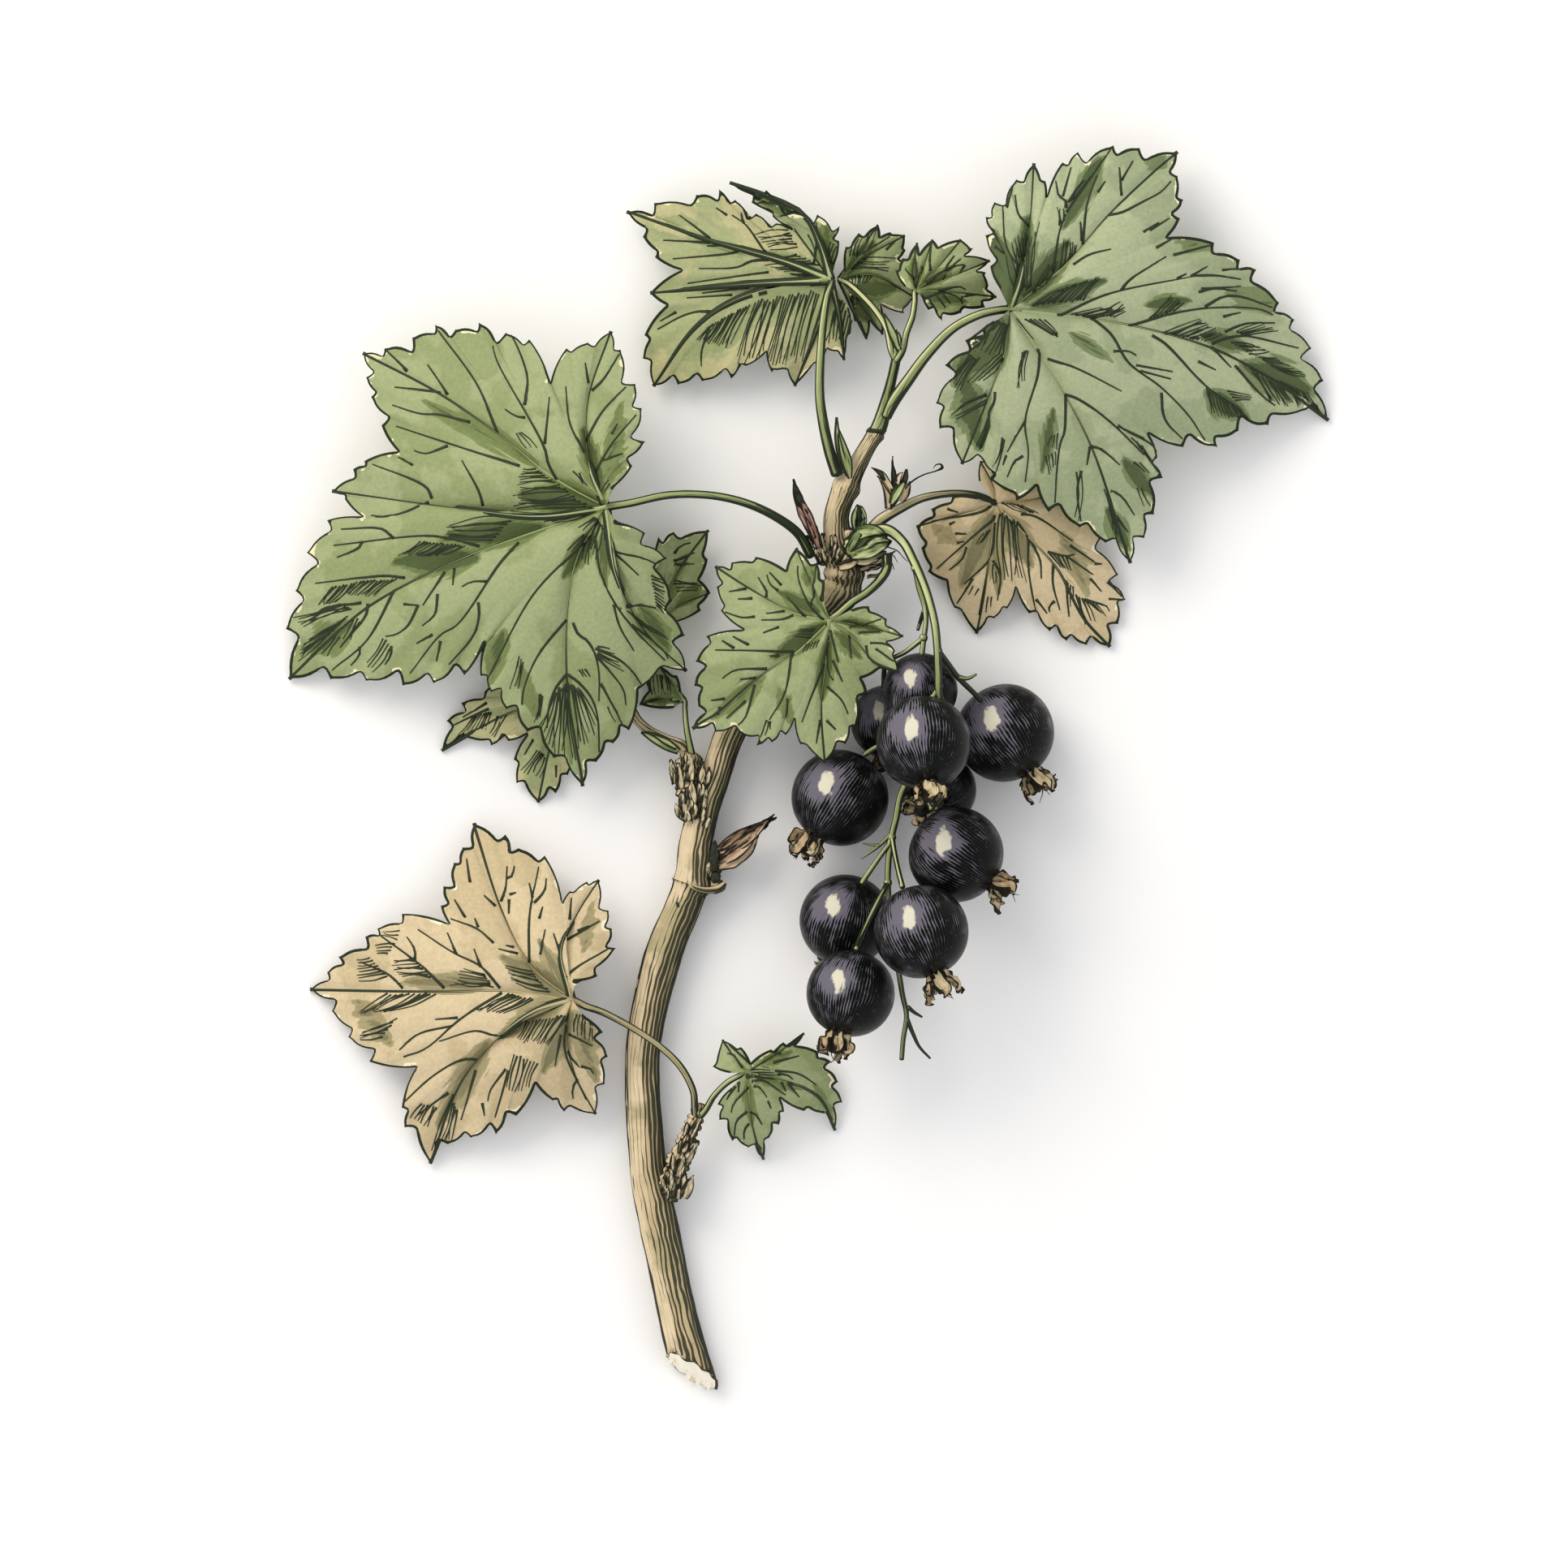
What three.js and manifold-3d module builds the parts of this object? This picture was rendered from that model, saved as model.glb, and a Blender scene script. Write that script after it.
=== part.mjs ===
// A cut sprig of blackcurrant lying on a table, seen as it is drawn in a flora: a woody stem with short fruiting
// spurs, a green shoot tip, toothed leaves on long stalks and one truss of ten berries. Millimetres, +Z up.
//
// Places across the sprig are written as [across, down] in millimetres on the sheet the sprig lies on, measured
// from the sheet's top left corner. The origin is the middle of the sprig's box, on the table.

import * as THREE from 'three';
import Module from 'manifold-3d';
import { mergeVertices } from 'three/addons/utils/BufferGeometryUtils.js';

// ---- Driving dimensions ------------------------------------------------------------------------------------

const SPRIG_CENTRE = { across: 99.45, down: 94.6 };
const TABLE = 0;

const BLADE_THICKNESS = 0.8;
const BLADE_RINGS = [0.4, 0.72, 1];
const DROOP_POWER = 1.6;
const MARGIN_PULL_POWER = 3;
const NOTCH_PLACE = 0.16;
const NOTCH_DEPTH = 0.27;
const BULGE_PLACE = 0.6;
const TOOTH_BULGE = 0.06;

const PETIOLE_SIDES = 6;
const STALK_SIDES = 6;
const STEM_SIDES = 12;
const BERRY_SIDES = 14;
const BERRY_STEPS = 8;
const GAP = 0.3;

const CALYX_NECK = 1.1;
const CALYX_REACH = 2.4;
const SEPALS = 4;

// ---- Leaves ------------------------------------------------------------------------------------------------
// base and tips are [across, down, height]; teeth, sinuses and ears are [across, down]. A lobe is its teeth up to
// the tip, the tip, the teeth down to the sinus, and the sinus that parts it from the next lobe. rib lists points
// that the midrib passes on its way from the base to the tip. The ears are the two corners beside the stalk.

const LEAVES = {
  leaf_large_left: {
    colour: '#6f8455',
    base: [74.7, 62.5, 16],
    rise: 1.6,
    ears: [[75.5, 60.1], [75.9, 64.3]],
    lobes: [
      {
        up: [[77.9, 57.4], [79.5, 54.4], [79.1, 50.3], [78.3, 47.3], [76.5, 43.1]],
        tip: [75.3, 40.8, 9.5],
        rib: [[72.6, 57.5], [72.4, 49.5]],
        down: [[72.4, 42.2], [69.8, 42.9]],
        sinus: [67.8, 47.2],
      },
      {
        up: [[65.2, 41.8], [62.3, 41.0], [59.0, 39.7], [56.1, 40.6], [53.6, 40.0], [50.8, 41.6], [47.4, 42.9]],
        tip: [44.7, 43.5, 7],
        rib: [[68.4, 59.0], [61.3, 53.4], [53.8, 48.3]],
        down: [[45.1, 46.5], [45.7, 48.9], [47.0, 52.4]],
        sinus: [49.0, 55.6],
      },
      {
        up: [[44.9, 56.8], [43.5, 57.8]],
        tip: [40.9, 60.5, 6],
        rib: [[66.8, 63.6], [59.0, 63.0]],
        down: [[42.5, 61.5]],
        sinus: [44.7, 63.7],
      },
      {
        up: [[40.3, 64.1], [37.8, 68.1], [36.4, 72.8], [35.2, 77.5]],
        tip: [35.6, 83.7, 0.4],
        rib: [[66.8, 65.2], [56.0, 69.2], [45.1, 75.0]],
        down: [[40.7, 83.7], [45.1, 83.9], [49.6, 84.5], [53.4, 84.2], [57.2, 83.2]],
        sinus: [59.7, 79.1],
      },
      {
        up: [[59.2, 83.3], [60.5, 85.3], [62.3, 87.4], [64.9, 90.2], [68.2, 93.4]],
        tip: [71.8, 96.9, 6],
        rib: [[70.8, 69.6], [69.8, 82.7]],
        down: [[73.5, 93.9], [75.6, 91.6], [77.5, 90.0]],
        sinus: [78.7, 84.9],
      },
      {
        up: [[81.2, 82.4]],
        tip: [84.6, 82.7, 8],
        rib: [[75.9, 71.0], [79.5, 77.9]],
        down: [[84.4, 78.3], [82.8, 74.0], [82.2, 68.8], [79.5, 65.7]],
      },
    ],
    petiole: [
      [99.9, 68.4, 9.4, 0.65], [98.3, 65.7, 11, 0.6], [95.1, 63.4, 13, 0.55], [91.3, 61.8, 14.6, 0.52],
      [87.2, 61.0, 15.6, 0.5], [82.4, 61.0, 16.2, 0.5], [77.6, 62.0, 16.3, 0.5],
    ],
  },

  leaf_large_right: {
    colour: '#788e6c',
    base: [124.4, 38.1, 15],
    rise: 1.6,
    ears: [[123.1, 35.4], [122.9, 39.5]],
    lobes: [
      {
        up: [[122.0, 32.8], [121.4, 29.0], [121.4, 26.7], [122.5, 24.9], [125.2, 22.1]],
        tip: [127.4, 20.1, 9],
        rib: [[125.6, 35.0], [126.9, 27.8]],
        down: [[128.8, 22.3]],
        sinus: [129.0, 24.2],
      },
      {
        up: [[130.9, 20.0], [132.8, 18.7], [137.2, 17.9], [140.4, 18.2]],
        tip: [145.1, 18.7, 5],
        rib: [[131.1, 32.8], [136.6, 26.5], [142.5, 20.9]],
        down: [[145.1, 21.7], [145.8, 24.6], [145.4, 26.9]],
        sinus: [143.9, 29.2],
      },
      {
        up: [[149.6, 29.9], [152.8, 32.0], [154.8, 33.2], [157.6, 37.3], [159.5, 39.4], [161.6, 42.9],
          [163.1, 46.9]],
        tip: [163.7, 51.8, 0.4],
        rib: [[131.5, 38.9], [139.9, 40.2], [149.2, 42.9], [157.0, 47.0]],
        down: [[161.0, 50.5], [156.3, 52.4], [152.6, 53.1], [150.0, 55.1], [145.8, 55.1]],
        sinus: [141.6, 53.5],
      },
      {
        up: [[142.6, 56.4], [143.3, 58.9], [142.2, 63.4], [141.0, 66.3]],
        tip: [139.3, 69.4, 7],
        rib: [[127.7, 42.9], [131.1, 48.4], [134.5, 55.1]],
        down: [[136.2, 66.9], [133.0, 65.0], [129.2, 63.1]],
        sinus: [127.7, 59.9],
      },
      {
        up: [[125.2, 61.7], [122.0, 59.1], [121.0, 56.6]],
        tip: [118.5, 57.2, 9.5],
        rib: [[123.9, 42.9], [122.0, 48.4]],
        down: [[115.7, 52.8], [115.3, 49.7], [116.4, 45.0], [118.9, 41.9], [121.0, 40.5]],
      },
    ],
    petiole: [
      [109.2, 51.3, 11.5, 0.7], [110.0, 49.6, 12.2, 0.8], [111.8, 47.0, 13.3, 0.74], [114.3, 43.6, 14.4, 0.65],
      [117.5, 40.4, 15.2, 0.58], [120.6, 38.8, 15.7, 0.54], [122.6, 38.3, 15.5, 0.52],
    ],
  },

  leaf_pale_right: {
    colour: '#a08c68',
    base: [122.7, 62.1, 5.2],
    rise: 0.8,
    ears: [[120.3, 61.3], [120.6, 59.2]],
    lobes: [
      {
        up: [[117.3, 61.2], [114.7, 62.7]],
        tip: [112.9, 64.9, 1.6],
        rib: [[119.0, 63.1]],
        down: [[113.5, 67.5], [114.3, 70.4]],
        sinus: [116.6, 71.6],
      },
      {
        up: [[117.6, 74.9]],
        tip: [120.3, 78.1, 0.6],
        rib: [[122.0, 68.0], [121.2, 73.8]],
        down: [[122.5, 76.2], [124.1, 75.0]],
        sinus: [125.2, 72.4],
      },
      {
        up: [[126.8, 75.6], [129.3, 77.8], [131.4, 79.0], [133.9, 79.5]],
        tip: [136.8, 79.7, 0.4],
        rib: [[126.5, 66.0], [130.2, 70.0], [133.4, 76.0]],
        down: [[137.8, 76.9], [138.7, 73.9], [137.8, 70.8], [135.6, 66.4]],
        sinus: [133.6, 63.6],
      },
      {
        up: [[134.6, 61.6]],
        tip: [134.4, 58.6, 2.2],
        rib: [[128.0, 61.4]],
        down: [[131.0, 57.8]],
        sinus: [128.4, 58.4],
      },
      {
        up: [[125.8, 56.6]],
        tip: [120.8, 56.8, 3.4],
        rib: [[122.4, 60.0]],
        down: [],
      },
    ],
    petiole: [
      [108.6, 64.0, 9.6, 0.75], [111.0, 62.6, 10, 0.62], [113.6, 61.4, 9.8, 0.52], [117.3, 60.8, 8.4, 0.46],
      [120.3, 61.0, 6.9, 0.42], [121.9, 61.6, 5.9, 0.42],
    ],
  },

  leaf_centre: {
    colour: '#7c9160',
    base: [102.3, 76.5, 15],
    rise: 1.0,
    ears: [[101.3, 73.8], [105.1, 75.0]],
    lobes: [
      {
        up: [[101.6, 71.5], [100.7, 69.3]],
        tip: [98.1, 67.5, 12.9],
        rib: [[100.6, 73.4]],
        down: [],
        sinus: [96.8, 70.2],
      },
      {
        up: [[93.1, 68.6], [90.1, 69.3]],
        tip: [88.1, 69.8, 11.5],
        rib: [[98.1, 75.6], [92.5, 72.6]],
        down: [[88.3, 72.3], [88.8, 75.2]],
        sinus: [91.6, 77.6],
      },
      {
        up: [[87.0, 78.4], [85.7, 81.5], [85.5, 84.5], [86.0, 87.0]],
        tip: [85.3, 89.8, 9.6],
        rib: [[98.1, 80.4], [93.2, 83.6], [88.4, 87.8]],
        down: [[88.1, 90.2], [91.0, 90.2], [93.2, 91.9], [95.1, 91.5], [96.8, 90.6]],
        sinus: [97.9, 88.6],
      },
      {
        up: [[98.6, 91.7]],
        tip: [101.6, 94.0, 12.1],
        rib: [[101.8, 81.2], [101.2, 87.0]],
        down: [[104.2, 91.7], [105.5, 89.5], [106.9, 85.6]],
        sinus: [106.2, 83.6],
      },
      {
        up: [[108.1, 82.6]],
        tip: [110.8, 82.8, 16.6],
        rib: [[105.5, 78.9], [107.7, 81.5]],
        down: [[110.3, 80.2]],
        sinus: [109.3, 79.1],
      },
      {
        up: [],
        tip: [111.3, 78.4, 16.2],
        rib: [[106.2, 77.1]],
        down: [[109.3, 76.3], [107.1, 74.7]],
      },
    ],
    petiole: [
      [109.3, 68.6, 10.9, 0.66], [109.2, 70.2, 12.4, 0.62], [108.3, 71.6, 13.4, 0.6], [106.8, 73.0, 14.4, 0.55],
      [105.0, 74.2, 15, 0.5], [103.4, 75.6, 15.2, 0.46],
    ],
  },

  leaf_pale_lower_left: {
    colour: '#a8926a',
    base: [70.5, 123.2, 9.4],
    rise: 1.2,
    ears: [[70.8, 120.9], [72.0, 125.2]],
    lobes: [
      {
        up: [[73.6, 120.3], [75.9, 116.8], [75.4, 114.4], [75.0, 112.2]],
        tip: [73.8, 108.4, 4],
        rib: [[69.1, 117.0], [71.2, 112.4]],
        down: [[72.3, 108.6], [70.2, 109.8]],
        sinus: [69.3, 111.2],
      },
      {
        up: [[67.1, 105.4], [63.9, 104.5], [62.3, 102.8]],
        tip: [58.4, 101.4, 2],
        rib: [[65.4, 119.1], [61.8, 112.2]],
        down: [[57.0, 104.4], [55.9, 106.3], [54.6, 109.2], [54.3, 111.6]],
        sinus: [55.3, 113.8],
      },
      {
        up: [[49.5, 112.6], [46.5, 114.4], [45.0, 115.4], [41.7, 117.9], [40.3, 119.8]],
        tip: [38.2, 121.9, 0.4],
        rib: [[62.4, 122.1], [54.9, 122.2], [46.5, 122.1]],
        down: [[40.9, 124.6], [42.9, 127.8], [45.5, 130.8]],
        sinus: [51.3, 131.5],
      },
      {
        up: [[49.5, 136.5], [49.8, 138.9]],
        tip: [53.0, 143.4, 1],
        rib: [[66.0, 124.5], [62.1, 127.2], [57.0, 133.0]],
        down: [[55.2, 141.0], [58.0, 140.2], [61.1, 139.8], [63.6, 137.5]],
        sinus: [66.0, 133.6],
      },
      {
        up: [[68.1, 135.6], [69.5, 137.0]],
        tip: [73.4, 137.3, 3],
        rib: [[69.7, 126.6], [70.8, 132.3]],
        down: [[74.5, 133.6], [74.9, 130.2], [74.3, 127.2]],
      },
    ],
    petiole: [
      [85.6, 136.6, 6, 0.46], [85.4, 134.4, 7.2, 0.44], [83.9, 131.5, 8, 0.44], [81.5, 129.1, 8.2, 0.42],
      [78.0, 126.7, 8.2, 0.42], [74.2, 124.7, 8.8, 0.44], [72.2, 124.0, 9.3, 0.46],
    ],
  },

  leaf_small_lower_right: {
    colour: '#7f9560',
    base: [92.1, 132.1, 8.6],
    rise: 0.7,
    ears: [[89.8, 132.2], [89.9, 134.2]],
    lobes: [
      {
        up: [[87.8, 131.4]],
        tip: [89.0, 128.1, 7.6],
        rib: [[90.4, 130.2]],
        down: [[91.3, 129.0]],
        sinus: [92.5, 130.9],
      },
      {
        up: [[95.0, 129.3], [96.5, 128.4]],
        tip: [99.1, 127.3, 3],
        rib: [[95.6, 130.0]],
        down: [],
        sinus: [98.1, 128.8],
      },
      {
        up: [[100.9, 129.6], [102.5, 130.8], [103.3, 133.3], [103.8, 135.8]],
        tip: [102.9, 139.3, 0.4],
        rib: [[95.1, 132.9], [99.1, 134.0], [101.3, 135.8]],
        down: [[101.4, 137.2], [99.1, 136.9]],
        sinus: [96.2, 135.4],
      },
      {
        up: [[96.6, 137.0], [96.0, 138.6], [94.8, 140.2]],
        tip: [94.1, 142.9, 0.6],
        rib: [[92.4, 136.3], [93.0, 139.8]],
        down: [[92.2, 141.4], [90.2, 140.6], [88.6, 138.0], [88.4, 136.1]],
      },
    ],
    petiole: [
      [86.9, 136.8, 5.9, 0.44], [88.0, 135.0, 7, 0.4], [89.6, 133.4, 8, 0.38], [91.0, 132.6, 8.6, 0.38],
    ],
  },

  leaf_turned_top_left: {
    colour: '#9c9a66',
    base: [102.4, 34.5, 8.8],
    rise: -0.9,
    ears: [[104.6, 38.0], [102.9, 32.4]],
    lobes: [
      {
        up: [[104.8, 41.1]],
        tip: [104.0, 44.4, 6],
        rib: [[103.4, 39.0]],
        down: [[102.9, 43.3]],
        sinus: [101.9, 43.0],
      },
      {
        up: [[101.0, 44.6]],
        tip: [97.9, 47.6, 4],
        rib: [[101.0, 39.4]],
        down: [[96.4, 45.5], [95.1, 45.9]],
        sinus: [94.4, 43.4],
      },
      {
        up: [[91.9, 45.1], [90.1, 46.7], [86.5, 47.0], [83.5, 47.4]],
        tip: [80.5, 47.6, 2],
        rib: [[97.8, 35.0], [90.5, 37.0], [85.7, 40.4]],
        down: [[79.2, 44.2], [79.4, 41.3]],
        sinus: [82.1, 37.6],
      },
      {
        up: [],
        tip: [80.1, 36.1, 3.4],
        rib: [[92.0, 35.0]],
        down: [],
        sinus: [83.9, 33.3],
      },
      {
        up: [[80.7, 31.7], [79.2, 29.2]],
        tip: [77.2, 26.1, 3],
        rib: [[97.3, 32.4], [91.5, 30.7], [87.6, 29.6]],
        down: [[80.6, 25.0], [85.8, 24.0], [88.6, 23.3], [90.6, 24.6], [93.2, 26.3], [95.6, 27.5]],
        sinus: [97.6, 28.2],
      },
      {
        up: [[95.2, 26.7], [92.6, 25.0]],
        tip: [89.9, 22.5, 10],
        rib: [[101.0, 30.0], [99.0, 26.4], [94.5, 24.1]],
        down: [[94.4, 23.4], [97.8, 26.1], [100.7, 26.4], [103.5, 27.8], [103.4, 29.7]],
      },
    ],
    petiole: [
      [103.1, 58.3, 9.8, 0.8], [102.2, 55.6, 11, 0.72], [101.4, 51.9, 12.2, 0.66], [101.0, 48.7, 12.6, 0.6],
      [101.1, 43.9, 12.4, 0.54], [101.5, 39.1, 11.4, 0.5], [101.9, 36.6, 10.3, 0.48],
    ],
  },

  leaf_young_folded: {
    colour: '#66794a',
    base: [103.5, 34.4, 6.4],
    rise: 0.8,
    ears: [[104.0, 33.2], [105.0, 36.6]],
    lobes: [
      {
        up: [[104.2, 30.4], [105.8, 28.7]],
        tip: [108.2, 27.7, 5],
        rib: [[105.6, 31.4]],
        down: [],
        sinus: [108.5, 29.1],
      },
      {
        up: [[109.7, 28.6]],
        tip: [111.5, 29.0, 4],
        rib: [[106.8, 31.6]],
        down: [[111.6, 30.8]],
        sinus: [110.8, 31.9],
      },
      {
        up: [[112.6, 33.4]],
        tip: [112.6, 36.6, 3.4],
        rib: [[107.6, 33.9]],
        down: [[111.4, 38.6]],
        sinus: [108.6, 37.6],
      },
      {
        up: [],
        tip: [108.8, 41.2, 2],
        rib: [[105.8, 37.2]],
        down: [],
        sinus: [107.2, 39.6],
      },
      {
        up: [],
        tip: [106.8, 41.8, 1.6],
        rib: [[104.9, 37.6]],
        down: [[105.3, 39.6]],
      },
    ],
    petiole: [
      [109.8, 43.0, 12.4, 0.46], [109.3, 40.6, 11.2, 0.44], [108.0, 38.4, 9.9, 0.42], [106.2, 36.4, 8.4, 0.4],
      [104.6, 35.0, 7.1, 0.38],
    ],
  },

  leaf_young_open: {
    colour: '#7c9160',
    base: [112.8, 35.8, 10.6],
    rise: 0.7,
    ears: [[111.4, 35.3], [113.6, 36.6]],
    lobes: [
      {
        up: [[110.3, 33.3], [111.2, 31.8]],
        tip: [113.0, 29.9, 9.4],
        rib: [[112.6, 33.0]],
        down: [],
        sinus: [113.3, 31.2],
      },
      {
        up: [],
        tip: [114.9, 29.5, 9.2],
        rib: [[113.9, 32.6]],
        down: [],
        sinus: [115.6, 30.4],
      },
      {
        up: [],
        tip: [118.4, 29.5, 8.8],
        rib: [[115.6, 32.9]],
        down: [[119.9, 30.6]],
        sinus: [118.9, 31.5],
      },
      {
        up: [],
        tip: [122.0, 32.1, 8.4],
        rib: [[117.0, 34.2]],
        down: [],
        sinus: [120.4, 33.4],
      },
      {
        up: [[121.5, 33.6], [121.8, 35.2]],
        tip: [122.8, 36.6, 8],
        rib: [[117.4, 36.0]],
        down: [[121.4, 37.9], [118.4, 38.6], [116.1, 39.6], [114.4, 38.2]],
      },
    ],
    petiole: [
      [111.2, 43.2, 13.2, 0.44], [111.7, 41.0, 12.9, 0.42], [112.4, 39.1, 12.2, 0.4], [112.7, 37.2, 11.3, 0.38],
    ],
  },

  leaf_behind_right: {
    colour: '#76895a',
    base: [80.5, 77.0, 3.4],
    rise: 0.5,
    ears: [[79.4, 74.4], [82.6, 76.8]],
    lobes: [
      {
        up: [[79.8, 69.8], [81.1, 66.1], [83.0, 65.5]],
        tip: [87.3, 65.3, 4],
        rib: [[83.6, 70.4]],
        down: [[87.2, 68.9]],
        sinus: [86.2, 71.4],
      },
      {
        up: [],
        tip: [87.5, 73.0, 3],
        rib: [[83.8, 74.6]],
        down: [[86.4, 75.2]],
      },
    ],
    petiole: [[78.1, 86.4, 5.2, 0.4], [77.7, 83.6, 5, 0.36], [78.8, 80.2, 4.4, 0.34], [79.9, 78.0, 3.7, 0.34]],
  },

  leaf_behind_left: {
    colour: '#76895a',
    base: [70.0, 85.5, 3.2],
    rise: 0.6,
    ears: [[62.4, 83.4], [72.4, 88.6]],
    lobes: [
      {
        up: [[59.7, 85.2], [56.8, 86.6], [55.0, 88.8]],
        tip: [54.4, 92.5, 0.4],
        rib: [[62.0, 88.2]],
        down: [[57.8, 91.0], [60.5, 91.9], [62.6, 91.3]],
        sinus: [64.9, 90.5],
      },
      {
        up: [[63.3, 93.6], [63.6, 96.5]],
        tip: [66.3, 98.9, 0.4],
        rib: [[67.8, 92.0]],
        down: [[68.5, 97.8], [70.0, 95.5], [71.8, 92.4]],
      },
    ],
    petiole: [[77.0, 87.0, 5.2, 0.4], [75.0, 87.0, 4.8, 0.36], [72.6, 86.6, 4, 0.34], [70.9, 86.0, 3.4, 0.34]],
  },

  leaf_bud_left: {
    colour: '#66794a',
    base: [84.3, 86.3, 3.2],
    rise: 0.3,
    ears: [[83.9, 85.0], [82.9, 87.3]],
    lobes: [
      {
        up: [[83.4, 83.2]],
        tip: [80.9, 81.7, 1.6],
        rib: [[82.8, 84.2]],
        down: [[79.5, 83.6]],
        sinus: [80.0, 85.0],
      },
      {
        up: [],
        tip: [78.8, 86.8, 1.6],
        rib: [[81.6, 86.2]],
        down: [],
      },
    ],
    petiole: [[84.7, 90.4, 4.9, 0.4], [84.5, 88.8, 4.6, 0.36], [84.4, 87.3, 3.8, 0.34]],
  },
};

// ---- Wood ------------------------------------------------------------------------------------------------
// Every stalk is a list of [across, down, height, radius].

const STEM = [
  [87.2, 175.0, 2.2, 2.4], [85.8, 170.2, 2.2, 2.45], [84.3, 165.5, 2.2, 2.45], [83.0, 160.0, 2.25, 2.35],
  [82.0, 155.0, 2.4, 2.35], [81.0, 150.0, 2.5, 2.4], [80.0, 145.0, 2.6, 2.25], [79.4, 138.0, 2.6, 2.15],
  [79.2, 130.0, 2.6, 2.15], [80.4, 122.8, 2.7, 2.2], [81.8, 117.4, 2.8, 2.3], [84.0, 112.0, 3.0, 2.2],
  [84.9, 109.6, 3.0, 2.2], [85.2, 108.8, 3.0, 2.55], [85.3, 107.9, 3.1, 2.2], [85.7, 104.0, 3.2, 2.05],
  [86.6, 100.0, 3.4, 1.95], [88.2, 95.4, 3.7, 1.85], [89.9, 90.5, 4.0, 1.8], [93.6, 84.2, 4.6, 1.8],
  [98.2, 78.4, 5.4, 1.9], [101.8, 75.0, 6.0, 2.1], [103.6, 72.6, 6.4, 2.45], [103.9, 71.6, 6.6, 2.25],
  [104.0, 70.6, 6.8, 2.5], [104.0, 69.6, 7.0, 2.25], [103.8, 68.4, 7.3, 2.3], [103.2, 66.0, 7.6, 1.7],
  [103.1, 63.6, 7.9, 1.5], [103.8, 61.2, 8.1, 1.55], [104.4, 59.9, 8.2, 1.75], [104.9, 58.9, 8.3, 1.3],
  [106.2, 56.2, 8.7, 1.1], [107.4, 54.2, 9.0, 1.05], [107.9, 53.4, 9.1, 1.2],
];

const STEM_CUT = { across: 85.8, down: 169.1, height: 2.3, outward: [-0.45, 0.8, 0.4] };

const LOWER_SPUR = [
  [82.4, 147.4, 3.2, 1.3], [82.9, 145.8, 3.6, 1.85], [83.2, 144.2, 3.9, 1.4], [83.6, 143.0, 4.1, 1.6],
  [84.0, 141.8, 4.3, 1.1], [84.5, 140.8, 4.5, 1.25], [84.9, 139.6, 4.7, 0.95], [85.4, 138.6, 4.9, 1.05],
  [85.8, 137.6, 5.0, 0.95],
];

const MIDDLE_SPUR = [
  [86.0, 101.6, 3.4, 1.2], [85.5, 100.2, 3.7, 1.9], [85.3, 98.6, 3.9, 1.5], [85.1, 97.4, 4.0, 1.9],
  [84.9, 96.0, 4.1, 1.5], [84.9, 94.6, 4.2, 1.8], [85.2, 93.2, 4.3, 1.3],
];

const TWIG = [
  [84.9, 94.0, 4.3, 0.8], [84.1, 92.0, 4.4, 0.72], [82.2, 91.2, 4.5, 0.68], [80.2, 90.2, 4.5, 0.64],
  [78.6, 88.8, 4.4, 0.6], [77.9, 87.8, 4.3, 0.7],
];

const BARK_KNOBS = [
  { at: [82.6, 146.2, 3.5], radii: [2.0, 1.7, 1.6] },
  { at: [88.2, 109.2, 3.2], radii: [1.3, 0.9, 1.1] },
  { at: [87.6, 107.0, 3.4], radii: [1.4, 1.3, 1.2] },
  { at: [101.6, 68.2, 7.8], radii: [1.3, 1.5, 1.3] },
  { at: [104.4, 66.8, 7.6], radii: [2.4, 1.9, 1.7] },
  { at: [107.9, 66.0, 8.0], radii: [1.5, 1.3, 1.2] },
  { at: [107.0, 68.6, 7.6], radii: [1.9, 1.6, 1.3] },
];

const SHOOT_TIP = [
  [108.4, 52.4, 9.3, 1.0], [109.2, 49.4, 10.0, 0.75], [109.9, 46.6, 11.2, 0.62], [110.4, 44.2, 12.3, 0.6],
];

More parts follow.
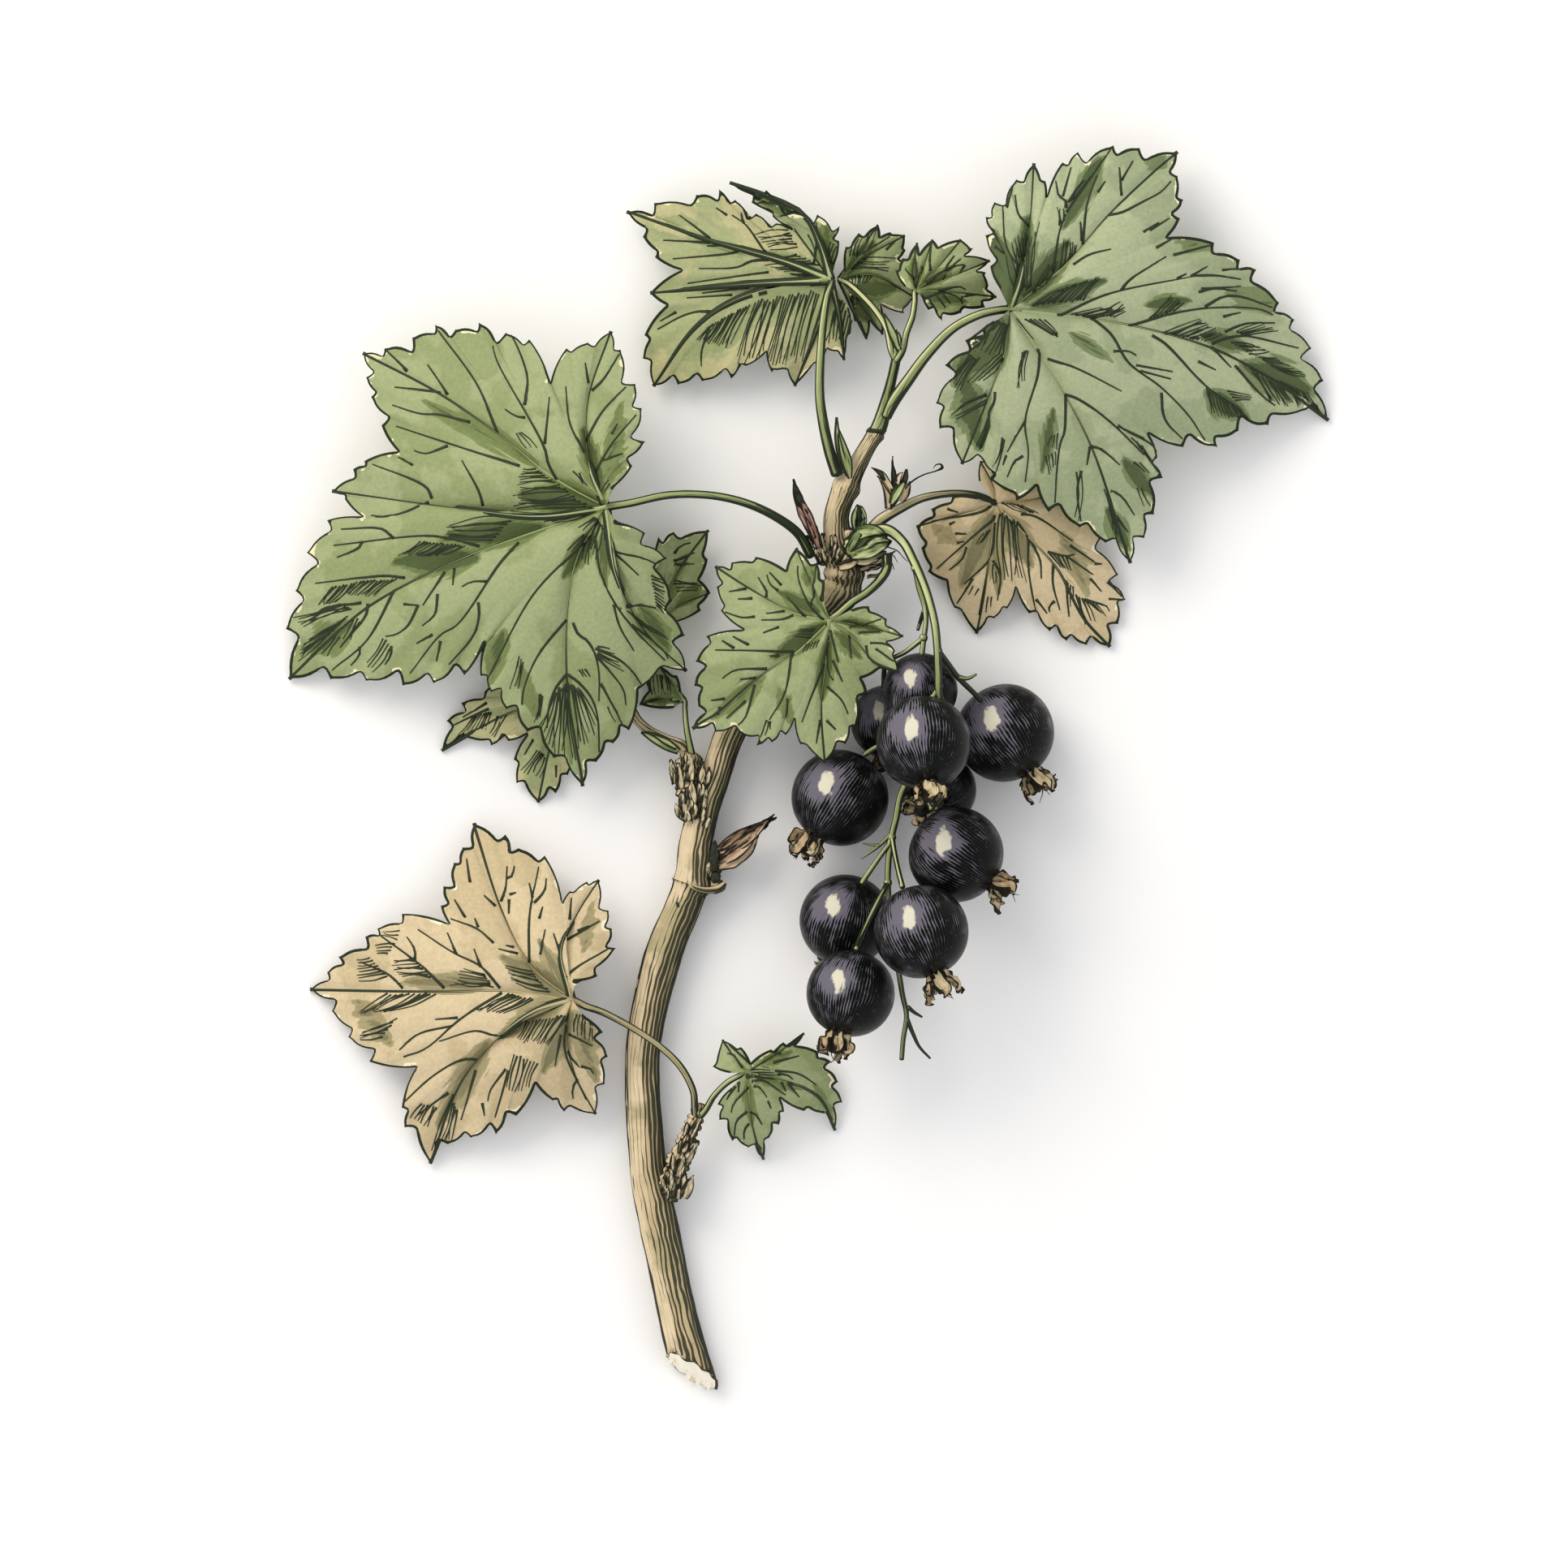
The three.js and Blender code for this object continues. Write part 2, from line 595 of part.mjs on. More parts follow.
// Buds and bracts: each is a row of [across, down, height, radius] that ends in a point.
const BUDS = {
  bud_right: {
    colour: '#6d5942',
    sides: 8,
    shape: [
      [88.9, 105.6, 4.2, 0.9], [89.8, 104.8, 4.4, 1.5], [91.2, 103.6, 4.6, 1.5], [92.8, 102.4, 4.8, 1.0],
      [94.2, 101.4, 4.9, 0.45], [95.4, 100.6, 5, 0.15],
    ],
  },
  bud_long: {
    colour: '#7a5b4c',
    sides: 7,
    shape: [
      [100.4, 66.4, 9.8, 0.5], [99.7, 64.8, 10.3, 0.8], [98.7, 62.5, 10.9, 0.75], [98.1, 60.6, 11.3, 0.5],
      [97.9, 59.1, 11.6, 0.15],
    ],
  },
  bud_tip: {
    colour: '#8a8a55',
    sides: 6,
    shape: [
      [105.8, 64.6, 10.2, 0.3], [105.9, 63.8, 10.5, 0.5], [105.8, 62.8, 10.9, 0.35], [105.8, 62.2, 11.1, 0.12],
    ],
  },
  bract_upper: {
    colour: '#7d8a52',
    sides: 6,
    shape: [
      [104.7, 58.1, 10.6, 0.4], [104.4, 56.4, 11.2, 0.7], [103.8, 53.8, 11.5, 0.5], [103.3, 51.4, 11.8, 0.12],
    ],
  },
  bract_lower: {
    colour: '#7d8a52',
    sides: 6,
    shape: [
      [83.4, 92.4, 5.9, 0.3], [82.2, 91.8, 6.0, 0.55], [80.6, 91.0, 6.0, 0.4], [79.2, 90.3, 5.9, 0.12],
    ],
  },
  bract_shoot: {
    colour: '#7d8a52',
    sides: 6,
    shape: [
      [110.6, 42.9, 14.3, 0.25], [110.0, 41.4, 14.4, 0.4], [109.4, 39.8, 14.3, 0.25], [109.0, 38.8, 14.2, 0.12],
    ],
  },
};

// ---- Truss -----------------------------------------------------------------------------------------------

const STRIG = [
  [107.0, 65.6, 10.6, 0.9], [109.3, 65.3, 11.2, 0.72], [111.2, 66.7, 12.2, 0.62], [112.5, 69.0, 13.6, 0.58],
  [113.7, 71.7, 15, 0.55], [114.6, 74.4, 16.3, 0.53], [115.2, 77.0, 17.3, 0.52], [115.5, 79.9, 17.9, 0.5],
  [115.6, 82.8, 17.9, 0.5], [115.8, 86.0, 17.4, 0.48], [117.3, 88.1, 15.2, 0.46], [117.0, 89.6, 12.7, 0.45],
  [114.0, 93.0, 9.7, 0.44], [112.0, 96.0, 9.1, 0.44], [111.0, 98.0, 8.8, 0.43], [110.4, 100.9, 8.8, 0.42],
  [109.9, 103.0, 8.9, 0.42], [109.5, 105.9, 9.1, 0.4], [109.4, 109.4, 9.4, 0.4], [109.8, 114.0, 9.8, 0.38],
  [110.4, 118.0, 10, 0.36], [110.8, 120.1, 9.6, 0.35], [111.2, 122.6, 8.6, 0.34], [111.7, 125.1, 7.6, 0.33],
  [111.3, 128.0, 6.6, 0.32], [111.1, 130.5, 5.6, 0.3],
];

const STRIG_ROOT = { at: [106.2, 67.2, 10.2], radii: [2.3, 1.9, 1.3] };

const PEDICELS = [
  [[115.7, 84.6, 17.7, 0.4], [115.0, 85.8, 17.5, 0.36], [114.4, 86.2, 17.5, 0.34]],
  [[115.6, 80.2, 17.9, 0.4], [116.9, 81.9, 16.2, 0.36], [118.0, 83.4, 14, 0.36], [119.8, 85.2, 11.6, 0.34],
    [120.9, 86.3, 10.5, 0.36]],
  [[115.4, 91.0, 11.1, 0.38], [112.4, 91.4, 10.6, 0.34], [109.6, 91.5, 10.3, 0.34], [107.9, 92.1, 10.0, 0.34],
    [106.5, 93.0, 9.5, 0.36]],
  [[112.0, 96.0, 9.1, 0.38], [113.4, 97.4, 10.6, 0.34], [114.3, 98.8, 12.0, 0.34], [114.8, 99.7, 13.1, 0.36]],
  [[109.8, 103.8, 9.0, 0.38], [108.8, 105.0, 9.4, 0.34], [107.2, 107.3, 9.9, 0.34], [106.2, 108.8, 9.7, 0.36]],
  [[109.9, 103.2, 8.9, 0.38], [110.2, 105.0, 10.6, 0.34], [110.7, 107.4, 13, 0.34], [111.2, 109.3, 14.8, 0.36]],
  [[109.4, 108.8, 9.4, 0.38], [108.4, 110.6, 11.2, 0.34], [107.0, 113.4, 13.2, 0.34], [105.9, 115.8, 15.4, 0.34],
    [105.5, 117.0, 16.6, 0.36]],
  [[112.8, 70.0, 14.1, 0.42], [113.3, 72.6, 14.0, 0.38], [113.9, 74.6, 14.1, 0.36], [114.1, 76.4, 14.6, 0.34],
    [113.8, 79.0, 15.0, 0.34], [113.6, 80.6, 15.0, 0.36]],
  [[113.8, 78.6, 15.0, 0.36], [111.6, 80.3, 14.6, 0.3], [109.2, 81.7, 11.8, 0.3], [108.9, 84.6, 9.0, 0.34]],
  [[113.9, 93.1, 9.7, 0.38], [114.2, 93.9, 9.0, 0.34], [114.3, 94.2, 8.6, 0.34]],
  [[118.0, 83.4, 14, 0.34], [119.2, 83.6, 14.0, 0.26], [120.3, 83.1, 13.8, 0.22]],
  [[111.9, 124.1, 8.0, 0.3], [112.6, 124.7, 7.6, 0.24], [113.6, 125.3, 7.3, 0.22]],
  [[111.7, 125.4, 7.5, 0.32], [112.6, 127.6, 6.6, 0.26], [113.3, 129.0, 5.8, 0.24], [114.6, 130.4, 5.0, 0.22]],
  [[110.0, 102.6, 8.9, 0.34], [108.3, 104.2, 8.6, 0.26], [106.1, 105.8, 8.4, 0.22]],
  [[113.9, 75.2, 14.2, 0.34], [113.4, 76.6, 13.2, 0.26], [113.1, 77.6, 12.8, 0.22]],
];

// Each berry: centre [across, down, height], radius, and the way its dried flower points.
const BERRIES = [
  { at: [113.8, 91.5, 21.1], radius: 5.85, calyx: [0.09, 0.9, 0.42], reach: 1 },
  { at: [123.8, 90.3, 6.1], radius: 6.1, calyx: [0.54, 0.83, 0.12], reach: 1 },
  { at: [103.5, 98.3, 7.0], radius: 6.0, calyx: [-0.54, 0.84, 0.06], reach: 1 },
  { at: [117.8, 105.3, 11.6], radius: 5.9, calyx: [0.8, 0.58, 0.1], reach: 1 },
  { at: [104.2, 113.4, 5.7], radius: 5.7, calyx: [-0.25, 0.78, -0.45], reach: 0.7 },
  { at: [113.5, 114.8, 17.7], radius: 5.85, calyx: [0.35, 0.92, 0.15], reach: 1 },
  { at: [104.8, 122.4, 14.0], radius: 5.45, calyx: [-0.27, 0.95, 0.15], reach: 1 },
  { at: [113.4, 85.0, 12.4], radius: 4.6, calyx: [0.1, 0.85, -0.5], reach: 0.35 },
  { at: [109.4, 88.9, 4.6], radius: 4.6, calyx: [0.1, 0.94, -0.3], reach: 0.6 },
  { at: [115.8, 97.3, 4.6], radius: 4.5, calyx: [-0.42, 0.45, 0.79], reach: 0.65 },
];

const WITHERED_FLOWER = {
  ovary: [[109.8, 62.0, 11.3, 0.4], [110.1, 61.1, 11.6, 0.95], [110.2, 59.8, 12.0, 0.95], [110.1, 58.9, 12.3, 0.5]],
  sepals: [
    [[110.0, 59.6, 12.1, 0.45], [108.8, 58.8, 12.3, 0.36], [107.6, 57.9, 12.5, 0.2]],
    [[110.2, 59.2, 12.2, 0.45], [110.1, 57.8, 12.6, 0.34], [110.0, 56.4, 12.8, 0.2]],
    [[110.6, 59.2, 12.2, 0.45], [111.4, 58.4, 12.6, 0.34], [111.9, 57.6, 12.8, 0.2]],
    [[110.8, 60.2, 12.0, 0.4], [112.0, 59.4, 12.2, 0.26], [113.9, 58.5, 12.3, 0.24], [116.1, 57.5, 12.4, 0.3]],
  ],
};

// ---- Solids ----------------------------------------------------------------------------------------------

const wasm = await Module();
wasm.setup();

function place(across, down, height) {
  return new THREE.Vector3(across - SPRIG_CENTRE.across, SPRIG_CENTRE.down - down, height);
}

function seededRandom(seed) {
  let state = seed;
  return () => {
    state = (state * 1664525 + 1013904223) % 4294967296;
    return state / 4294967296;
  };
}

function closedBody(vertices, triangles) {
  const geometry = new THREE.BufferGeometry();
  geometry.setAttribute('position', new THREE.Float32BufferAttribute(vertices.flatMap((v) => v.toArray()), 3));
  geometry.setIndex(triangles.flat());
  return geometry;
}

function toSolid(geometry) {
  const bare = geometry.clone();
  bare.deleteAttribute('normal');
  bare.deleteAttribute('uv');
  const merged = mergeVertices(bare, 1e-4);
  return new wasm.Manifold(new wasm.Mesh({
    numProp: 3,
    vertProperties: new Float32Array(merged.attributes.position.array),
    triVerts: new Uint32Array(merged.index.array),
  }));
}

function toGeometry(solid) {
  const mesh = solid.getMesh();
  const geometry = new THREE.BufferGeometry();
  geometry.setAttribute('position', new THREE.BufferAttribute(new Float32Array(mesh.vertProperties), 3));
  geometry.setIndex(new THREE.BufferAttribute(new Uint32Array(mesh.triVerts), 1));
  return geometry;
}

function fuse(geometries) {
  return geometries.map(toSolid).reduce((whole, solid) => whole.add(solid));
}

// ---- Stalks, knobs and berries -------------------------------------------------------------------------------

// A closed tube of changing radius through a row of [across, down, height, radius].
function stalk(row, sides, stepsPerSpan = 2) {
  const curve = new THREE.CatmullRomCurve3(row.map((p) => place(p[0], p[1], p[2])), false, 'centripetal');
  const steps = (row.length - 1) * stepsPerSpan;
  const vertices = [];
  const triangles = [];
  let side = null;
  for (let i = 0; i <= steps; i += 1) {
    const centre = curve.getPoint(i / steps);
    const along = curve.getTangent(i / steps);
    if (side === null) {
      side = new THREE.Vector3(0, 0, 1).cross(along);
    }
    side = side.clone().addScaledVector(along, -side.dot(along)).normalize();
    const other = along.clone().cross(side);
    const span = Math.min(Math.floor(i / stepsPerSpan), row.length - 2);
    const radius = THREE.MathUtils.lerp(row[span][3], row[span + 1][3], i / stepsPerSpan - span);
    for (let k = 0; k < sides; k += 1) {
      const turn = (k / sides) * 2 * Math.PI;
      vertices.push(centre.clone()
        .addScaledVector(side, radius * Math.cos(turn))
        .addScaledVector(other, radius * Math.sin(turn)));
    }
  }
  for (let i = 0; i < steps; i += 1) {
    for (let k = 0; k < sides; k += 1) {
      const a = i * sides + k;
      const b = i * sides + ((k + 1) % sides);
      triangles.push([a, b, b + sides], [a, b + sides, a + sides]);
    }
  }
  for (let k = 1; k < sides - 1; k += 1) {
    triangles.push([0, k + 1, k], [steps * sides, steps * sides + k, steps * sides + k + 1]);
  }
  return closedBody(vertices, triangles);
}

function knob({ at, radii }) {
  const geometry = new THREE.IcosahedronGeometry(1, 1);
  geometry.scale(...radii);
  geometry.translate(...place(...at).toArray());
  return geometry;
}

// The way from a berry's middle to its dried flower, in the part's own axes.
function calyxWay(berry) {
  const [across, down, height] = berry.calyx;
  return new THREE.Vector3(across, -down, height).normalize();
}

function turnTo(geometry, way, centre) {
  geometry.applyQuaternion(new THREE.Quaternion().setFromUnitVectors(new THREE.Vector3(0, 1, 0), way));
  geometry.translate(centre.x, centre.y, centre.z);
  return geometry;
}

function berryBody(berry) {
  const profile = [];
  for (let i = 0; i <= BERRY_STEPS; i += 1) {
    const angle = (i / BERRY_STEPS - 0.5) * Math.PI;
    const out = i === 0 || i === BERRY_STEPS ? 0 : Math.cos(angle) * berry.radius;
    profile.push(new THREE.Vector2(out, Math.sin(angle) * berry.radius));
  }
  return turnTo(new THREE.LatheGeometry(profile, BERRY_SIDES), calyxWay(berry), place(...berry.at));
}

// The dried flower: a short neck that opens into crumpled sepals.
function calyxBody(berry, seed) {
  const random = seededRandom(seed);
  const start = berry.radius + GAP;
  const neck = CALYX_NECK * berry.reach;
  const reach = CALYX_REACH * berry.reach;
  const profile = [[0, 0], [0.95, 0], [0.8, neck * 0.6], [0, neck]];
  const lathe = new THREE.LatheGeometry(profile.map(([out, up]) => new THREE.Vector2(out, start + up)), 6);
  const pieces = [toSolid(lathe)];
  for (let i = 0; i < SEPALS; i += 1) {
    const turn = ((i + 0.6 * random()) / SEPALS) * 2 * Math.PI;
    const spread = (0.7 + 0.9 * random()) * berry.reach;
    const length = reach * (0.75 + 0.35 * random());
    pieces.push(toSolid(sepal(turn, spread, start + neck * 0.5, start + length)));
  }
  const geometry = toGeometry(pieces.reduce((whole, piece) => whole.add(piece)));
  return turnTo(geometry, calyxWay(berry), place(...berry.at));
}

// A four-sided tapering blade that leans outward from the axis and curls at its end.
function sepal(turn, spread, from, to) {
  const levels = [
    { up: from, out: 0.35, wide: 0.5, thick: 0.3 },
    { up: to, out: 1.35 * spread, wide: 0.34, thick: 0.24 },
  ];
  const outward = new THREE.Vector3(Math.cos(turn), 0, Math.sin(turn));
  const sideways = new THREE.Vector3(-Math.sin(turn), 0, Math.cos(turn));
  const vertices = [];
  levels.forEach(({ up, out, wide, thick }) => {
    [[-wide, -thick], [wide, -thick], [wide, thick], [-wide, thick]].forEach(([across, off]) => {
      vertices.push(new THREE.Vector3(0, up, 0)
        .addScaledVector(outward, out + off)
        .addScaledVector(sideways, across));
    });
  });
  const triangles = [];
  for (let level = 0; level < levels.length - 1; level += 1) {
    for (let k = 0; k < 4; k += 1) {
      const a = level * 4 + k;
      const b = level * 4 + ((k + 1) % 4);
      triangles.push([a, b, b + 4], [a, b + 4, a + 4]);
    }
  }
  const last = (levels.length - 1) * 4;
  triangles.push([0, 2, 1], [0, 3, 2], [last, last + 1, last + 2], [last, last + 2, last + 3]);
  return closedBody(vertices, triangles);
}

// ---- Leaf blades ---------------------------------------------------------------------------------------------

function flat(point) {
  return new THREE.Vector2(point[0], point[1]);
}

// +1 when the lobes run clockwise on the sheet, -1 when they run the other way.
function outlineTurn(leaf) {
  const corners = [leaf.base, leaf.ears[0], ...leaf.lobes.flatMap((l) => (l.sinus ? [l.tip, l.sinus] : [l.tip])),
    leaf.ears[1]];
  let area = 0;
  corners.forEach(([x, y], i) => {
    const [nextX, nextY] = corners[(i + 1) % corners.length];
    area += x * nextY - nextX * y;
  });
  return Math.sign(area);
}

// The margin from one corner to the next: a notch beside the tooth that is further from the lobe's tip, and a
// bulge along the tooth's long side.
function toothPoints(from, to, climbing, notched, turn) {
  const along = to.clone().sub(from);
  const outward = new THREE.Vector2(along.y, -along.x).multiplyScalar(turn);
  const at = (fraction, off) => from.clone().addScaledVector(along, fraction).addScaledVector(outward, off);
  if (!notched) {
    return [at(0.5, TOOTH_BULGE)];
  }
  return climbing
    ? [at(NOTCH_PLACE, -NOTCH_DEPTH), at(BULGE_PLACE, TOOTH_BULGE)]
    : [at(1 - BULGE_PLACE, TOOTH_BULGE), at(1 - NOTCH_PLACE, -NOTCH_DEPTH)];
}

// One side of a lobe as margin points: where each lies, and how far it is from the midrib (0) to the fold (1).
function lobeSide(corners, climbing, turn) {
  const points = [{ spot: corners[0], rank: 3 }];
  for (let i = 0; i < corners.length - 1; i += 1) {
    const touchesFold = climbing ? i === 0 : i === corners.length - 2;
    toothPoints(corners[i], corners[i + 1], climbing, !touchesFold, turn).forEach((spot) => {
      points.push({ spot, rank: 1 });
    });
    const isEnd = i === corners.length - 2;
    points.push({ spot: corners[i + 1], rank: isEnd ? 3 : 1 + (i % 2 === 0 ? 1 : 0) });
  }
  let length = 0;
  points.forEach((point, i) => {
    length += i === 0 ? 0 : point.spot.distanceTo(points[i - 1].spot);
    point.run = length;
  });
  points.forEach((point) => {
    const fraction = point.run / length;
    point.fromRib = climbing ? 1 - fraction : fraction;
  });
  return points;
}

function bladeMargin(leaf) {
  const turn = outlineTurn(leaf);
  const base = flat(leaf.base);
  const { lobes, ears } = leaf;
  const margin = [];
  lobes.forEach((lobe, index) => {
    const before = index === 0 ? null : lobes[index - 1];
    const after = index === lobes.length - 1 ? null : lobes[index + 1];
    const tip = flat(lobe.tip);
    const rib = new THREE.CatmullRomCurve3([leaf.base, ...lobe.rib, lobe.tip]
      .map((p) => new THREE.Vector3(p[0], p[1], 0)), false, 'centripetal');
    const sides = [
      { climbing: true, fold: before ? flat(before.sinus) : flat(ears[0]), teeth: lobe.up, next: before },
      { climbing: false, fold: after ? flat(lobe.sinus) : flat(ears[1]), teeth: lobe.down, next: after },
    ];
    sides.forEach(({ climbing, fold, teeth, next }) => {
      const row = [fold, ...teeth.map(flat), tip];
      const corners = climbing ? row : [tip, ...teeth.map(flat), fold];
      const ownReach = tip.distanceTo(base);
      const foldReach = next ? (ownReach + flat(next.tip).distanceTo(base)) / 2 : ownReach;
      const foldHeight = next ? (lobe.tip[2] + next.tip[2]) / 2 : lobe.tip[2];
      lobeSide(corners, climbing, turn).forEach((point, i) => {
        if (i === 0 && margin.length > 0) {
          return;
        }
        margin.push({
          ...point,
          rib,
          fold,
          reach: THREE.MathUtils.lerp(ownReach, foldReach, point.fromRib),
          height: THREE.MathUtils.lerp(lobe.tip[2], foldHeight, point.fromRib),
        });
      });
    });
  });
  return margin;
}

// The middle of the blade on the way from the base (0) to a margin point (1).
function bladePoint(leaf, marginPoint, way) {
  const base = flat(leaf.base);
  const ribSpot = marginPoint.rib.getPointAt(way);
  const onRib = new THREE.Vector2(ribSpot.x, ribSpot.y);
  const onFold = base.clone().lerp(marginPoint.fold, way);
  const ribEnd = marginPoint.rib.getPointAt(1);
  const chordEnd = new THREE.Vector2(ribEnd.x, ribEnd.y).lerp(marginPoint.fold, marginPoint.fromRib);
  const bulge = marginPoint.spot.clone().sub(chordEnd).multiplyScalar(way ** MARGIN_PULL_POWER);
  const spot = onRib.lerp(onFold, marginPoint.fromRib).add(bulge);
  const drop = (marginPoint.height - leaf.base[2]) * (spot.distanceTo(base) / marginPoint.reach) ** DROOP_POWER;
  const crown = leaf.rise * Math.sin(0.5 * Math.PI * marginPoint.fromRib) * Math.sin(Math.PI * way ** 0.8);
  const height = Math.max(leaf.base[2] + drop + crown, TABLE + BLADE_THICKNESS / 2);
  return place(spot.x, spot.y, height);
}

function bladeBody(leaf) {
  const margin = bladeMargin(leaf);
  const vertices = [];
  const triangles = [];
  const turn = outlineTurn(leaf);
  const addVertex = (middle) => {
    vertices.push(middle.clone().setZ(middle.z + BLADE_THICKNESS / 2));
    vertices.push(middle.clone().setZ(middle.z - BLADE_THICKNESS / 2));
    return vertices.length - 2;
  };
  const addFace = (a, b, c) => {
    const [second, third] = turn > 0 ? [c, b] : [b, c];
    triangles.push([a, second, third], [a + 1, third + 1, second + 1]);
  };
  const addRim = (a, b) => {
    const [first, second] = turn > 0 ? [b, a] : [a, b];
    triangles.push([first, first + 1, second + 1], [first, second + 1, second]);
  };

  const centre = addVertex(place(...leaf.base));
  const rings = BLADE_RINGS.map((way, level) => margin
    .map((point, order) => ({ point, order }))
    .filter(({ point }) => point.rank >= BLADE_RINGS.length - level)
    .map(({ point, order }) => ({ order, vertex: addVertex(bladePoint(leaf, point, way)) })));

  for (let i = 0; i < rings[0].length - 1; i += 1) {
    addFace(centre, rings[0][i].vertex, rings[0][i + 1].vertex);
  }
  for (let level = 0; level < rings.length - 1; level += 1) {
    stitch(rings[level], rings[level + 1], addFace);
  }
  const outer = rings[rings.length - 1];
  for (let i = 0; i < outer.length - 1; i += 1) {
    addRim(outer[i].vertex, outer[i + 1].vertex);
  }
  const firstRay = [centre, ...rings.map((ring) => ring[0].vertex)];
  const lastRay = [centre, ...rings.map((ring) => ring[ring.length - 1].vertex)];
  for (let i = 0; i < firstRay.length - 1; i += 1) {
    addRim(firstRay[i], firstRay[i + 1]);
    addRim(lastRay[i + 1], lastRay[i]);
  }
  return closedBody(vertices, triangles);
}

// The band between two rings, the inner one with fewer vertices than the outer one.
function stitch(inner, outer, addFace) {
  let a = 0;
  let b = 0;
  while (a < inner.length - 1 || b < outer.length - 1) {
    const innerNext = a < inner.length - 1 ? (inner[a].order + inner[a + 1].order) / 2 : Infinity;
    const outerNext = b < outer.length - 1 ? outer[b + 1].order : Infinity;
    if (outerNext <= innerNext) {
      addFace(inner[a].vertex, outer[b].vertex, outer[b + 1].vertex);
      b += 1;
    } else {
      addFace(inner[a].vertex, outer[b].vertex, inner[a + 1].vertex);
      a += 1;
    }
  }
}

function leafBody(leaf) {
  const { base } = leaf;
  const [ribAcross, ribDown] = leaf.lobes[Math.floor(leaf.lobes.length / 2)].rib[0];
  const inward = flat([ribAcross, ribDown]).sub(flat(base)).setLength(1.4);
  const lastRadius = leaf.petiole[leaf.petiole.length - 1][3];
  const row = [
    ...leaf.petiole,
    [base[0], base[1], base[2], lastRadius],
    [base[0] + inward.x, base[1] + inward.y, base[2] - 0.05, lastRadius * 0.8],
  ];
  return toGeometry(fuse([bladeBody(leaf), stalk(row, PETIOLE_SIDES)]));
}

// ---- Wood ----------------------------------------------------------------------------------------------------

function slab(centre, outward, size) {
  const geometry = new THREE.BoxGeometry(size, size, size);
  geometry.translate(0, size / 2, 0);
  return turnTo(geometry, outward.clone().normalize(), centre);
}

function woodBody() {
  const wood = fuse([
    stalk(STEM, STEM_SIDES, 1),
    stalk(LOWER_SPUR, 10, 1),
    stalk(MIDDLE_SPUR, 10, 1),
    stalk(TWIG, 8, 1),
    ...BARK_KNOBS.map(knob),
  ]);
  const [across, down, up] = STEM_CUT.outward;
  const beyondCut = slab(
    place(STEM_CUT.across, STEM_CUT.down, STEM_CUT.height),
    new THREE.Vector3(across, -down, up),
    20,
  );
  const belowTable = slab(new THREE.Vector3(0, 0, TABLE), new THREE.Vector3(0, 0, -1), 400);
  const rootRoom = knob({ at: STRIG_ROOT.at, radii: STRIG_ROOT.radii.map((radius) => radius + 1.2 * GAP) });
  return toGeometry(wood
    .subtract(toSolid(beyondCut))
    .subtract(toSolid(belowTable))
    .subtract(toSolid(rootRoom)));
}

function trussBody() {
  return toGeometry(fuse([
    knob(STRIG_ROOT),
    stalk(STRIG, STALK_SIDES, 1),
    ...PEDICELS.map((row) => stalk(row, 5, 1)),
  ]));
}

function flowerBody() {
  return toGeometry(fuse([
    stalk(WITHERED_FLOWER.ovary, 8, 1),
    ...WITHERED_FLOWER.sepals.map((row) => stalk(row, 5, 1)),
  ]));
}

// ---- The sprig -------------------------------------------------------------------------------------------------

const sprig = new THREE.Group();

function addPiece(name, geometry, colour, roughness) {
  const material = new THREE.MeshStandardMaterial({ color: colour, roughness, metalness: 0 });
  const piece = new THREE.Mesh(geometry, material);
  piece.name = name;
  sprig.add(piece);
}

addPiece('woody_stem', woodBody(), '#a08c6a', 0.8);
addPiece('shoot_tip', stalk(SHOOT_TIP, 8), '#7a8a50', 0.6);
addPiece('truss_stalk', trussBody(), '#6f7f48', 0.6);
addPiece('withered_flower', flowerBody(), '#8f9668', 0.7);

Object.entries(BUDS).forEach(([name, bud]) => {
  addPiece(name, stalk(bud.shape, bud.sides), bud.colour, 0.7);
});

Object.entries(LEAVES).forEach(([name, leaf]) => {
  addPiece(name, leafBody(leaf), leaf.colour, 0.65);
});

BERRIES.forEach((berry, index) => {
  const number = String(index + 1).padStart(2, '0');
  addPiece(`berry_${number}`, berryBody(berry), '#1b1d1c', 0.3);
  addPiece(`calyx_${number}`, calyxBody(berry, index + 1), '#8a7052', 0.85);
});

export default sprig;
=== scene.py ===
# %% [markdown]
# # A cut sprig of blackcurrant
# A blackcurrant sprig is a short piece of tan wood with leaves on long stalks and one hanging truss of
# berries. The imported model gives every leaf, berry and stalk its place and its plain shape, so each piece
# here starts from the same named points in millimetres and adds what the eye looks for: veins, teeth, bark,
# bloom and dried flowers. Working round a fixed frame means nothing has to be fitted by hand.

# %% Open the frame
import math
import random

import bmesh
import bpy
import numpy as np
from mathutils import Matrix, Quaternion, Vector, noise
from mathutils.bvhtree import BVHTree


